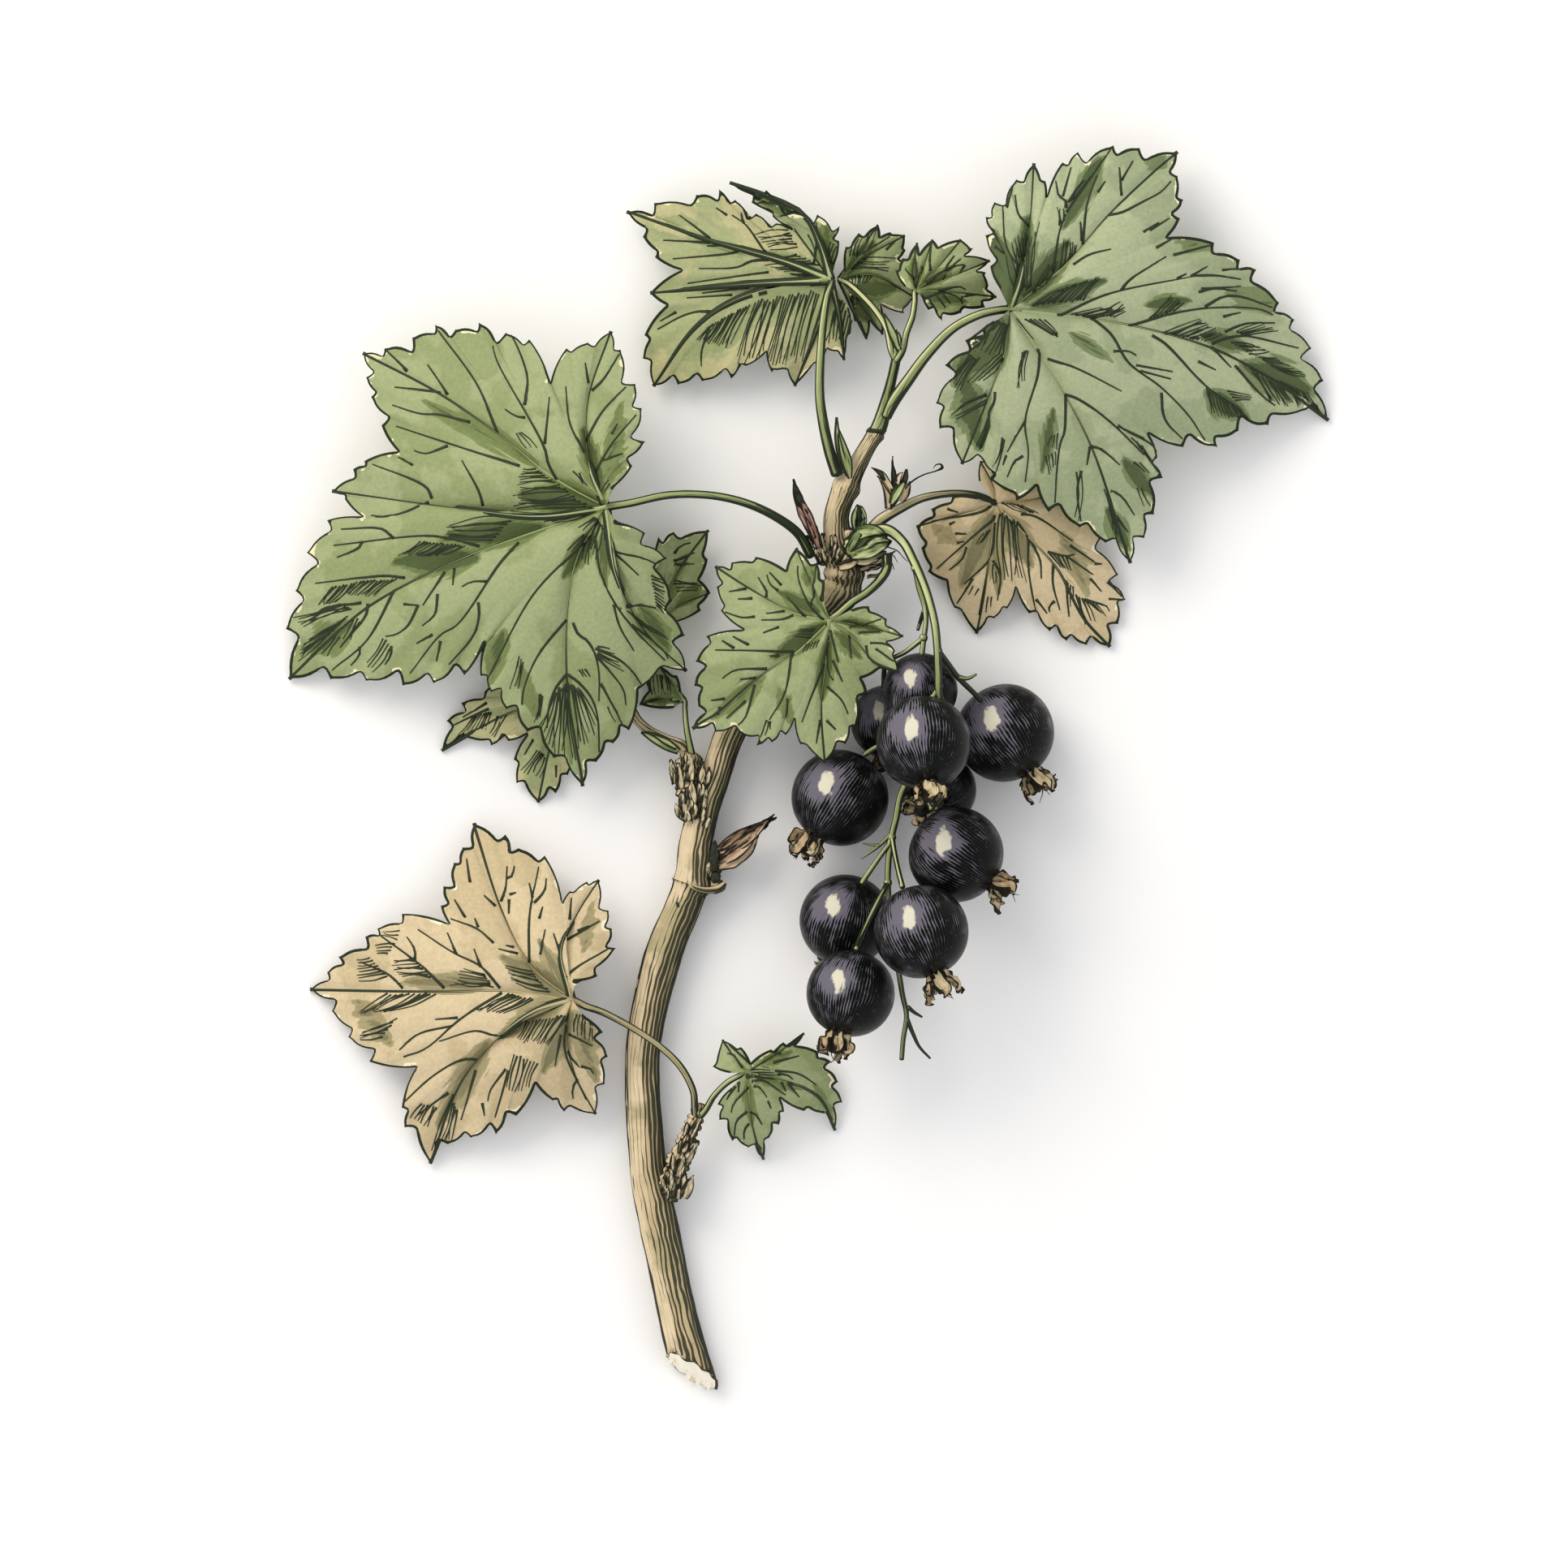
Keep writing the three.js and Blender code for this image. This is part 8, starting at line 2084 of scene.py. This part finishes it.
# %% The long rosy bud at the upper node
BUD_LONG_CONE = [
    (101.0, 67.2, 9.6, 0.4), (100.4, 66.2, 9.8, 0.55), (99.7, 64.6, 10.3, 0.75), (98.8, 62.5, 10.9, 0.7),
    (98.1, 60.8, 11.3, 0.45), (97.8, 59.1, 11.6, 0.1),
]
BUD_LONG_SCALES = [
    [(100.9, 67.6, 10.2, 0.3), (100.2, 65.4, 10.9, 0.5), (99.4, 63.2, 11.4, 0.45), (98.6, 61.2, 11.7, 0.05)],
    [(100.2, 66.4, 10.6, 0.3), (99.2, 64.4, 11.3, 0.45), (98.4, 62.8, 11.6, 0.35), (98.0, 61.6, 11.7, 0.05)],
    [(98.9, 62.6, 11.4, 0.4), (98.3, 61.2, 11.9, 0.45), (98.0, 60.2, 12.0, 0.3), (97.8, 59.0, 11.9, 0.04)],
    [(101.2, 67.4, 10.0, 0.12), (100.9, 66.0, 10.4, 0.2), (100.6, 64.8, 10.7, 0.03)],
]
wrapped_bud("bud_long", BUD_LONG_CONE, BUD_LONG_SCALES, (0.3, 0.0, 1.0),
            [bud_scale_rosy, dark_scale])

# %% The small green bud at the foot of the truss
BUD_TIP_CONE = [
    (105.8, 65.2, 9.9, 0.3), (105.9, 64.0, 10.4, 0.42), (105.8, 62.9, 10.8, 0.3), (105.8, 62.3, 11.0, 0.1),
]
BUD_TIP_SCALES = [
    [(105.3, 65.4, 10.4, 0.2), (105.2, 63.8, 10.8, 0.3), (105.5, 62.6, 11.0, 0.2),
     (105.7, 62.2, 11.1, 0.03)],
    [(106.3, 65.2, 10.4, 0.2), (106.6, 63.9, 10.8, 0.25), (106.3, 62.8, 11.0, 0.2),
     (105.8, 62.3, 11.1, 0.03)],
]
wrapped_bud("bud_tip", BUD_TIP_CONE, BUD_TIP_SCALES, (0.1, 0.0, 1.0), [green_scale])

# %% [markdown]
# ## Bracts
# A bract is a single narrow leaf that guards a node and ends in a hair-like point. Each is two or three
# shells that start together and part, since a bract's margins curl away from its middle.

# %% Three bracts
BRACTS = dict(
    bract_upper=[
        [(104.7, 58.9, 10.6, 0.3), (104.3, 57.0, 11.3, 0.7), (103.7, 54.8, 11.6, 0.55),
         (103.2, 52.4, 11.8, 0.03)],
        [(104.5, 58.6, 10.9, 0.2), (103.7, 56.4, 11.6, 0.4), (103.2, 54.0, 11.9, 0.3),
         (103.1, 51.4, 12.0, 0.03)],
    ],
    bract_lower=[
        [(83.6, 92.6, 5.8, 0.3), (82.2, 91.8, 6.2, 0.6), (80.6, 91.0, 6.3, 0.45), (79.0, 90.2, 6.1, 0.03)],
        [(83.4, 92.2, 6.0, 0.2), (82.0, 91.3, 6.4, 0.35), (80.8, 90.6, 6.4, 0.2), (79.6, 90.2, 6.3, 0.03)],
    ],
    bract_shoot=[
        [(110.8, 43.2, 14.3, 0.25), (110.1, 41.5, 14.6, 0.45), (109.5, 40.0, 14.6, 0.3),
         (108.9, 38.6, 14.4, 0.03)],
        [(110.9, 42.6, 14.4, 0.2), (110.7, 41.4, 14.7, 0.3), (110.4, 40.6, 14.7, 0.03)],
    ],
)
for bract_name, spines in BRACTS.items():
    bm = new_skin()
    for spine in spines:
        shell(bm, spine, (0.2, 0.0, 1.0), cup=0.5, thickness=0.2)
    finish_piece(bm, bract_name, [green_scale], bract_name)

# %% [markdown]
# ## The truss
# The berries hang from one thin stalk that leaves the wood through a green swelling, arches over, and gives
# off a short side stalk for each berry. Some side stalks lost their berry and end bare. Each stalk is a tube
# along its own row of places, and all are one piece, because they grew as one.

# %% The main stalk
STRIG = [
    (107.0, 65.6, 10.6, 0.9), (109.3, 65.3, 11.2, 0.72), (111.2, 66.7, 12.2, 0.62),
    (112.5, 69.0, 13.6, 0.58), (113.7, 71.7, 15.0, 0.55), (114.6, 74.4, 16.3, 0.53),
    (115.2, 77.0, 17.3, 0.52), (115.5, 79.9, 17.9, 0.5), (115.6, 82.8, 17.9, 0.5), (115.8, 86.0, 17.4, 0.48),
    (117.3, 88.1, 15.2, 0.46), (117.0, 89.6, 12.7, 0.45), (114.0, 93.0, 9.7, 0.44), (112.0, 96.0, 9.1, 0.44),
    (111.0, 98.0, 8.8, 0.43), (110.4, 100.9, 8.8, 0.42), (109.9, 103.0, 8.9, 0.42), (109.5, 105.9, 9.1, 0.4),
    (109.4, 109.4, 9.4, 0.4), (109.8, 114.0, 9.8, 0.38), (110.4, 118.0, 10.0, 0.36),
    (110.8, 120.1, 9.6, 0.35), (111.2, 122.6, 8.6, 0.34), (111.7, 125.1, 7.6, 0.33),
    (111.3, 128.0, 6.6, 0.32), (111.1, 130.5, 5.6, 0.3),
]
print("the truss stalk is", round(run_lengths(np.array(STRIG)[:, :3])[-1]), "mm long")

# %% The side stalks of the berries, in the order of the berries
PEDICELS = [
    [(115.7, 84.6, 17.7, 0.4), (115.0, 85.8, 17.5, 0.36), (114.4, 86.2, 17.5, 0.34)],
    [(115.6, 80.2, 17.9, 0.4), (116.9, 81.9, 16.2, 0.36), (118.0, 83.4, 14.0, 0.36),
     (119.8, 85.2, 11.6, 0.34), (120.9, 86.3, 10.5, 0.36)],
    [(115.4, 91.0, 11.1, 0.38), (112.4, 91.4, 10.6, 0.34), (109.6, 91.5, 10.3, 0.34),
     (107.9, 92.1, 10.0, 0.34), (106.5, 93.0, 9.5, 0.36)],
    [(112.0, 96.0, 9.1, 0.38), (113.4, 97.4, 10.6, 0.34), (114.3, 98.8, 12.0, 0.34),
     (114.8, 99.7, 13.1, 0.36)],
    [(109.8, 103.8, 9.0, 0.38), (108.8, 105.0, 9.4, 0.34), (107.2, 107.3, 9.9, 0.34),
     (106.2, 108.8, 9.7, 0.36)],
    [(109.9, 103.2, 8.9, 0.38), (110.2, 105.0, 10.6, 0.34), (110.7, 107.4, 13.0, 0.34),
     (111.2, 109.3, 14.8, 0.36)],
    [(109.4, 108.8, 9.4, 0.38), (108.4, 110.6, 11.2, 0.34), (107.0, 113.4, 13.2, 0.34),
     (105.9, 115.8, 15.4, 0.34), (105.5, 117.0, 16.6, 0.36)],
    [(112.8, 70.0, 14.1, 0.42), (113.3, 72.6, 14.0, 0.38), (113.9, 74.6, 14.1, 0.36),
     (114.1, 76.4, 14.6, 0.34), (113.8, 79.0, 15.0, 0.34), (113.6, 80.6, 15.0, 0.36)],
    [(113.8, 78.6, 15.0, 0.36), (111.6, 80.3, 14.6, 0.3), (109.2, 81.7, 11.8, 0.3),
     (108.9, 84.6, 9.0, 0.34)],
    [(113.9, 93.1, 9.7, 0.38), (114.2, 93.9, 9.0, 0.34), (114.3, 94.2, 8.6, 0.34)],
]
PEDICEL_KNEE = (0.55, 0.55, 0.5)
print(len(PEDICELS), "side stalks carry a berry")

# %% Side stalks that lost their berry, and hairs
BARE_SIDE_STALKS = [
    [(118.0, 83.4, 14.0, 0.34), (119.2, 83.6, 14.0, 0.26), (120.3, 83.1, 13.8, 0.14)],
    [(111.9, 124.1, 8.0, 0.3), (112.6, 124.7, 7.6, 0.24), (113.6, 125.3, 7.3, 0.14)],
    [(111.7, 125.4, 7.5, 0.32), (112.6, 127.6, 6.6, 0.26), (113.3, 129.0, 5.8, 0.2),
     (114.6, 130.4, 5.0, 0.14)],
    [(110.0, 102.6, 8.9, 0.34), (108.3, 104.2, 8.6, 0.26), (106.1, 105.8, 8.4, 0.12)],
    [(108.4, 104.1, 8.7, 0.2), (107.4, 104.1, 8.6, 0.16), (106.3, 103.9, 8.5, 0.08)],
    [(113.9, 75.2, 14.2, 0.34), (113.4, 76.6, 13.2, 0.26), (113.1, 77.6, 12.8, 0.22)],
]
STALK_HAIRS = [
    [(109.4, 67.4, 11.2, 0.1), (110.6, 67.9, 11.5, 0.08), (111.4, 68.8, 11.3, 0.06),
     (111.9, 69.2, 11.2, 0.04)],
    [(109.0, 68.2, 11.0, 0.1), (110.0, 68.4, 11.2, 0.08), (110.6, 69.3, 11.0, 0.04)],
    [(108.0, 68.9, 10.6, 0.12), (109.6, 69.0, 10.8, 0.1), (110.2, 70.2, 10.6, 0.05)],
]
print(len(BARE_SIDE_STALKS), "bare side stalks and", len(STALK_HAIRS), "hairs")

# %% The green swelling at the foot and the scales round it
STRIG_ROOT = ((106.2, 67.2, 10.2), (2.3, 1.9, 1.3))
ROOT_FLAPS = [
    [(104.8, 66.6, 11.0, 0.5), (106.2, 65.5, 11.9, 0.85), (107.8, 65.3, 11.8, 0.7),
     (109.4, 66.0, 11.3, 0.04)],
    [(105.0, 68.4, 10.9, 0.5), (106.8, 68.0, 11.7, 0.85), (108.5, 67.4, 11.5, 0.55),
     (109.8, 66.7, 11.1, 0.04)],
    [(104.5, 67.8, 11.0, 0.4), (105.4, 66.4, 11.9, 0.6), (106.0, 65.0, 11.8, 0.4),
     (106.6, 63.8, 11.4, 0.04)],
    [(106.4, 67.6, 11.9, 0.3), (107.6, 66.7, 12.2, 0.5), (108.9, 66.5, 11.8, 0.3),
     (109.8, 66.7, 11.4, 0.04)],
]
ROOT_SCALES = [
    [(105.4, 69.2, 10.2, 0.3), (106.8, 69.1, 10.9, 0.5), (108.2, 68.6, 10.9, 0.35),
     (109.2, 67.9, 10.7, 0.04)],
    [(107.0, 69.4, 10.2, 0.3), (108.4, 69.0, 10.7, 0.4), (109.6, 68.3, 10.6, 0.25),
     (110.3, 67.9, 10.5, 0.03)],
    [(103.4, 69.8, 9.8, 0.5), (104.6, 69.4, 10.2, 0.7), (105.6, 69.0, 10.3, 0.4), (106.2, 68.9, 10.4, 0.04)],
]
print(len(ROOT_FLAPS), "green flaps and", len(ROOT_SCALES), "dry scales")

# %% The truss stalk in one piece
bm = new_skin()
tube(bm, STRIG, sides=18, per_span=8)
for row in PEDICELS:
    tube(bm, row, sides=14, per_span=6)
    knob(bm, row[0][:3], PEDICEL_KNEE)
for row in BARE_SIDE_STALKS:
    tube(bm, row, sides=10, per_span=5)
for row in STALK_HAIRS:
    tube(bm, row, sides=6, per_span=5, material=3)
knob(bm, *STRIG_ROOT, lumps=0.2)
for number, spine in enumerate(ROOT_FLAPS):
    shell(bm, spine, (0.0, 0.1, 1.0), cup=0.35, columns=10, material=1, crumple=0.5, seed=number)
for number, spine in enumerate(ROOT_SCALES):
    shell(bm, spine, (0.0, 0.3, 1.0), cup=0.5, material=2, crumple=0.15, seed=number + 5)
finish_piece(bm, "truss_stalk", [green_shoot, green_scale, spur_scale, dark_scar], "truss_stalk")

# %% [markdown]
# Near the foot of the truss sits one flower that withered before it set fruit: a small green ovary, a few
# petals dried to brown paper and three gone black, and the long bent style.

# %% The withered flower
OVARY = [(109.6, 62.6, 11.2, 0.35), (110.0, 61.3, 11.6, 0.85), (110.3, 60.1, 12.0, 0.9),
         (110.4, 59.4, 12.2, 0.6)]
DEAD_PETALS = [
    [(109.4, 62.6, 11.8, 0.4), (109.3, 61.0, 12.4, 0.45), (108.9, 59.8, 12.6, 0.3),
     (108.1, 58.6, 12.6, 0.04)],
    [(110.0, 60.8, 12.4, 0.45), (109.2, 59.4, 12.8, 0.5), (108.6, 58.4, 12.9, 0.4),
     (107.5, 57.7, 12.7, 0.04)],
    [(110.9, 61.8, 12.1, 0.35), (111.5, 60.8, 12.5, 0.5), (111.8, 60.0, 12.5, 0.35),
     (112.1, 59.3, 12.4, 0.04)],
    [(110.4, 59.9, 12.5, 0.4), (110.6, 59.0, 12.7, 0.45), (110.9, 58.5, 12.7, 0.3),
     (111.2, 58.2, 12.6, 0.04)],
]
DARK_PETALS = [
    [(110.2, 59.4, 12.7, 0.35), (110.1, 58.2, 12.9, 0.24), (110.0, 57.2, 12.9, 0.1),
     (110.0, 56.2, 12.9, 0.02)],
    [(111.3, 59.6, 12.5, 0.3), (111.6, 58.6, 12.7, 0.26), (111.7, 57.8, 12.7, 0.04)],
    [(109.0, 59.2, 13.0, 0.16), (108.4, 58.2, 13.1, 0.26), (107.4, 57.6, 12.9, 0.04)],
]
GREEN_SIDE = [(109.8, 62.0, 12.4, 0.3), (110.3, 61.0, 12.9, 0.6), (110.9, 60.1, 12.9, 0.5),
              (111.5, 59.3, 12.7, 0.05)]
STYLE = [
    (111.3, 60.4, 12.4, 0.17), (112.4, 59.3, 12.5, 0.12), (113.8, 58.5, 12.5, 0.09),
    (115.4, 58.0, 12.5, 0.1), (116.1, 57.6, 12.6, 0.2), (115.9, 57.2, 12.7, 0.12), (115.3, 57.3, 12.7, 0.08),
    (115.0, 57.7, 12.7, 0.04),
]

bm = new_skin()
tube(bm, OVARY, sides=20, per_span=6, material=1)
for number, spine in enumerate(DEAD_PETALS):
    shell(bm, spine, (0.1, 0.0, 1.0), cup=0.5, thickness=0.12, crumple=0.12, seed=number, material=1)
for number, spine in enumerate(DARK_PETALS):
    shell(bm, spine, (0.1, 0.0, 1.0), cup=0.5, thickness=0.12, crumple=0.1, seed=number + 9, material=2)
shell(bm, GREEN_SIDE, (0.1, 0.0, 1.0), cup=0.4, thickness=0.15, crumple=0.1)
tube(bm, STYLE, sides=8, per_span=5, material=2)
finish_piece(bm, "withered_flower", [green_scale, cream_petal, dark_scale], "withered_flower")

# %% [markdown]
# ## The berries
# A ripe blackcurrant is a near-black ball, a centimetre or so across. Its thin skin shows the paler seams of
# the flesh as lines that run from the stalk to the dried flower. A violet-grey bloom with painted sheen
# fills the gaps between the seams on the side that faces up towards the light and along a painted pale band
# near the rim, and in the middle of the lit side a painted cream highlight stands in for the gleam. So the
# ball's poles are turned to the stalk and the flower, the seams follow its UV map, and bloom, sheen and
# highlight are kept on the mesh. Real seams are finer than these, which are as coarse as they need to be to
# show at this size.

# %% The finish of berry skin
SEAMS_ROUND = 84
SEAM_WANDER = 2.4
SEAM_WIDEST = 0.54
BLOOM_SHEEN_FILLS = (0.25, 0.8)
BERRY_HIGHLIGHT_EDGE = (0.9, 1.02)
SKIN_BLACK = "#070B07"
SKIN_SPECK = "#4A4C3C"
BLOOM_SHEEN_VIOLET = "#6A6671"
HIGHLIGHT_CREAM = "#D5D0BB"


def berry_finish():
    """Black skin with violet-grey seams, a bloom with painted sheen that fills the gaps between them towards
    the light, and a painted cream highlight.
    """
    material, tree, shader = new_material("berry_skin")
    flat = add(tree, "UVMap", uv_map="UVMap")
    spot = add(tree, "TexCoord").outputs["Object"]
    bloom_and_sheen = add(tree, "Attribute", attribute_name="shade").outputs["Fac"]
    painted_highlight = add(tree, "Attribute", attribute_name="painted_highlight").outputs["Fac"]
    patch = add(tree, "TexNoise", {"Vector": spot, "Scale": per_mm(1.8), "Detail": 4.0})
    drift = add(tree, "TexNoise", {"Vector": spot, "Scale": per_mm(4.5), "Detail": 2.0})
    parts = add(tree, "SeparateXYZ", {0: flat})
    around = add(tree, "Math", {0: parts.outputs["X"], 1: SEAMS_ROUND}, operation="MULTIPLY")
    swing = add(tree, "Math", {0: drift, 1: SEAM_WANDER, 2: around}, operation="MULTIPLY_ADD")
    aside, dash = in_lanes(tree, swing, parts.outputs["Y"], (2.9, 7.0))
    thick = add(tree, "Math", {0: patch, 1: 0.8, 2: -0.4}, operation="MULTIPLY_ADD")
    cover = add(tree, "Math", {0: bloom_and_sheen, 1: thick}, operation="ADD")
    broken = add(tree, "Math", {0: dash, 1: 1.3, 2: -0.65}, operation="MULTIPLY_ADD")
    filled = add(tree, "Math", {0: cover, 1: broken}, operation="ADD")
    width = add(tree, "MapRange", {0: filled, 1: BLOOM_SHEEN_FILLS[0], 2: BLOOM_SHEEN_FILLS[1], 3: 0.0, 4: SEAM_WIDEST})
    bar = add(tree, "Math", {0: width, 1: aside}, operation="SUBTRACT")
    seam = add(tree, "MapRange", {0: bar, 1: -0.04, 2: 0.04})
    speck = add(tree, "TexNoise", {"Vector": spot, "Scale": per_mm(0.42), "Detail": 1.0})
    specks = add(tree, "MapRange", {0: speck, 1: 0.66, 2: 0.7, 4: 0.4})
    dark = add(tree, "Mix", {0: specks, 6: linear(SKIN_BLACK), 7: linear(SKIN_SPECK)}, data_type="RGBA")
    seams_and_sheen = add(tree, "Mix", {0: seam, 6: dark, 7: linear(BLOOM_SHEEN_VIOLET)}, data_type="RGBA")
    # A painted cream highlight where the window light would gleam, with a ragged edge.
    highlight_spot = add(tree, "Math", {0: patch, 1: 0.9, 2: painted_highlight}, operation="MULTIPLY_ADD")
    ragged = add(tree, "Math", {0: broken, 1: 0.4, 2: highlight_spot}, operation="MULTIPLY_ADD")
    cream_highlight = add(tree, "MapRange", {0: ragged, 1: BERRY_HIGHLIGHT_EDGE[0], 2: BERRY_HIGHLIGHT_EDGE[1]})
    colour = add(tree, "Mix", {0: cream_highlight, 6: seams_and_sheen, 7: linear(HIGHLIGHT_CREAM)}, data_type="RGBA")
    tree.links.new(colour.outputs[2], shader.inputs["Base Color"])
    shader.inputs["Roughness"].default_value = 0.34
    shader.inputs["Specular IOR Level"].default_value = 0.09
    return material


# Ripe skin is taut and smooth, so it is glossier than a leaf, but the bloom dulls its real gleam; the cream
# spot is a painted highlight.
berry_skin = berry_finish()
print("seams are", round(11.8 * math.pi / SEAMS_ROUND, 2), "mm apart at the widest place of a berry")

# %% The ten berries
# Each berry: its middle, its radius, the way its dried flower points, and how much of the flower is left.
BERRIES = [
    ((113.8, 91.5, 21.1), 5.85, (0.09, 0.90, 0.42), 1.0),
    ((123.8, 90.3, 6.1), 6.1, (0.54, 0.83, 0.12), 1.0),
    ((103.5, 98.3, 7.0), 6.0, (-0.54, 0.84, 0.06), 1.0),
    ((117.8, 105.3, 11.6), 5.9, (0.80, 0.58, 0.10), 1.0),
    ((104.2, 113.4, 5.7), 5.7, (-0.25, 0.78, -0.45), 0.7),
    ((113.5, 114.8, 17.7), 5.85, (0.35, 0.92, 0.15), 1.0),
    ((104.8, 122.4, 14.0), 5.45, (-0.27, 0.95, 0.15), 1.0),
    ((113.4, 85.0, 12.4), 4.6, (0.10, 0.85, -0.50), 0.35),
    ((109.4, 88.9, 4.6), 4.6, (0.10, 0.94, -0.30), 0.6),
    ((115.8, 97.3, 4.6), 4.5, (-0.42, 0.45, 0.79), 0.65),
]
print(len(BERRIES), "berries,", round(2 * min(radius for _, radius, *_ in BERRIES), 1), "to",
      round(2 * max(radius for _, radius, *_ in BERRIES), 1), "mm across")

# %% [markdown]
# Each berry is a ball, a little flattened at both ends. An ico sphere is more even, but it has no poles. A
# UV sphere has two, so the seams meet at the stalk and at the flower, as the real ones do. The bloom with
# its painted sheen and the painted highlight lie on the side that faces up towards the light, whichever way
# the berry hangs, and a painted pale band runs round near the rim.

# %% How a berry is shaped
BLOOM_SHEEN_WAY = Vector((-0.36, 0.36, 0.86)).normalized()
HIGHLIGHT_PLACE = (-0.27, 0.29)
HIGHLIGHT_SIZE = (0.15, 0.24)
FULL_BLOOM_SHEEN = 1.12
BLOOM_SHEEN_NARROWS = 6.5
THIN_BLOOM_SHEEN = 0.4
RIM_SHEEN = 0.42
RIM_SHEEN_HEIGHT = 0.3
RIM_SHEEN_WIDTH = 0.22
POLE_SHARE = 0.975


def berry(name, at, radius, axis):
    """A ball whose poles lie on the axis, a little flattened there."""
    bm = new_skin()
    bmesh.ops.create_uvsphere(bm, u_segments=64, v_segments=40, radius=1, calc_uvs=True)
    centre = Vector(in_frame([at])[0])
    turn = axis.to_track_quat("Z", "Y")
    shade = bm.verts.layers.float["shade"]
    painted_highlight = bm.verts.layers.float.new("painted_highlight")
    for vert in bm.verts:
        way = turn @ vert.co.normalized()
        # Bloom with painted sheen towards the light, and a painted pale band near the rim.
        facing = max(way.dot(BLOOM_SHEEN_WAY), 0.0)
        rim_sheen = max(0.0, 1 - abs(way.z - RIM_SHEEN_HEIGHT) / RIM_SHEEN_WIDTH) * RIM_SHEEN
        patchy = 0.7 + 0.6 * noise.noise(way * 2.2)
        vert[shade] = max(FULL_BLOOM_SHEEN * facing ** BLOOM_SHEEN_NARROWS, THIN_BLOOM_SHEEN * facing, rim_sheen * patchy)
        # The spot of the painted highlight, where the window light would gleam.
        off = math.hypot(*((w - p) / s for w, p, s in zip(way, HIGHLIGHT_PLACE, HIGHLIGHT_SIZE)))
        vert[painted_highlight] = max(0.0, 1 - off / 2) if way.z > 0 else 0.0
        flat = POLE_SHARE + (1 - POLE_SHARE) * (1 - abs(vert.co.normalized().z) ** 6)
        vert.co = centre + way * radius * flat * MM
    for face in bm.faces:
        face.smooth = True
    finish_piece(bm, name, [berry_skin], name, paint_shade_by_facing=False)


print("the wax spot is", round(2 * HIGHLIGHT_SIZE[1], 2), "of a berry's radius long")

# %% [markdown]
# At the berry's far end sits what is left of its flower: a short brown tube with a ring of sepals, dried,
# curled and partly broken off. No two are alike, so their lengths and curls come from a seeded chance.

# %% How a dried flower is shaped
SEPALS = 7
THREADS = 2
LENGTHS = (1.9, 3.3)
FLARES = (1.4, 2.5)
CURLS = (-0.5, 0.7)
HALF_WIDTHS = (0.5, 0.85)
PALE_SEPAL_EVERY = 3


def calyx(name, at, radius, axis, left, chance):
    """The dried flower: a short tube and a ring of crumpled sepals, curled out of shape."""
    bm = new_skin()
    middle = Vector(at)
    way = Vector((axis.x, -axis.y, axis.z))
    side = way.orthogonal().normalized()

    def spot(along, out, angle):
        round_way = Quaternion(way, angle) @ side
        return middle + way * (radius + along) + round_way * out

    foot = [(*spot(-0.5, 0, 0), 1.15), (*spot(0.3, 0, 0), 1.2), (*spot(1.2 * left, 0, 0), 1.0),
            (*spot(2.0 * left, 0, 0), 0.7)]
    tube(bm, foot, sides=18, per_span=5, relief=lambda turn, run: 0.22 * math.sin(turn * 5 + run * 2))
    for number in range(SEPALS):
        angle = 2 * math.pi * (number + chance.uniform(-0.25, 0.25)) / SEPALS
        long = left * chance.uniform(*LENGTHS)
        flare = chance.uniform(*FLARES)
        curl = chance.uniform(*CURLS)
        half = chance.uniform(*HALF_WIDTHS)
        spine = [(*spot(-0.15, 0.95, angle), half * 0.8),
                 (*spot(long * 0.4, flare * 0.8, angle + 0.15), half),
                 (*spot(long * 0.75, flare, angle + 0.3), half * 0.8),
                 (*spot(long, flare + curl, angle + 0.3 * curl), 0.05)]
        facing = Quaternion(way, angle) @ side
        shell(bm, spine, tuple(facing), cup=0.5, crumple=0.8, seed=chance.uniform(0, 50),
              material=int(number % PALE_SEPAL_EVERY == 0))
    for _ in range(THREADS):
        angle = chance.uniform(0, 2 * math.pi)
        thread = [(*spot(0.8, 0.3, angle), 0.09), (*spot(2.4 * left, 0.6, angle), 0.07),
                  (*spot(3.4 * left, chance.uniform(0.3, 1.6), angle + 0.8), 0.04)]
        tube(bm, thread, sides=6, per_span=5, material=2)
    for vert in bm.verts:
        vert.co.z = max(vert.co.z, LOWEST * MM)
    finish_piece(bm, name, [dried_petal, cream_petal, dark_scale], name)


print("a dried flower has", SEPALS, "sepals and", THREADS, "threads")

# %% All ten berries and their dried flowers
for number, (at, radius, flower_way, left) in enumerate(BERRIES, 1):
    axis = Vector((flower_way[0], -flower_way[1], flower_way[2])).normalized()
    berry(f"berry_{number:02d}", at, radius, axis)
    calyx(f"calyx_{number:02d}", at, radius, axis, left, random.Random(number))
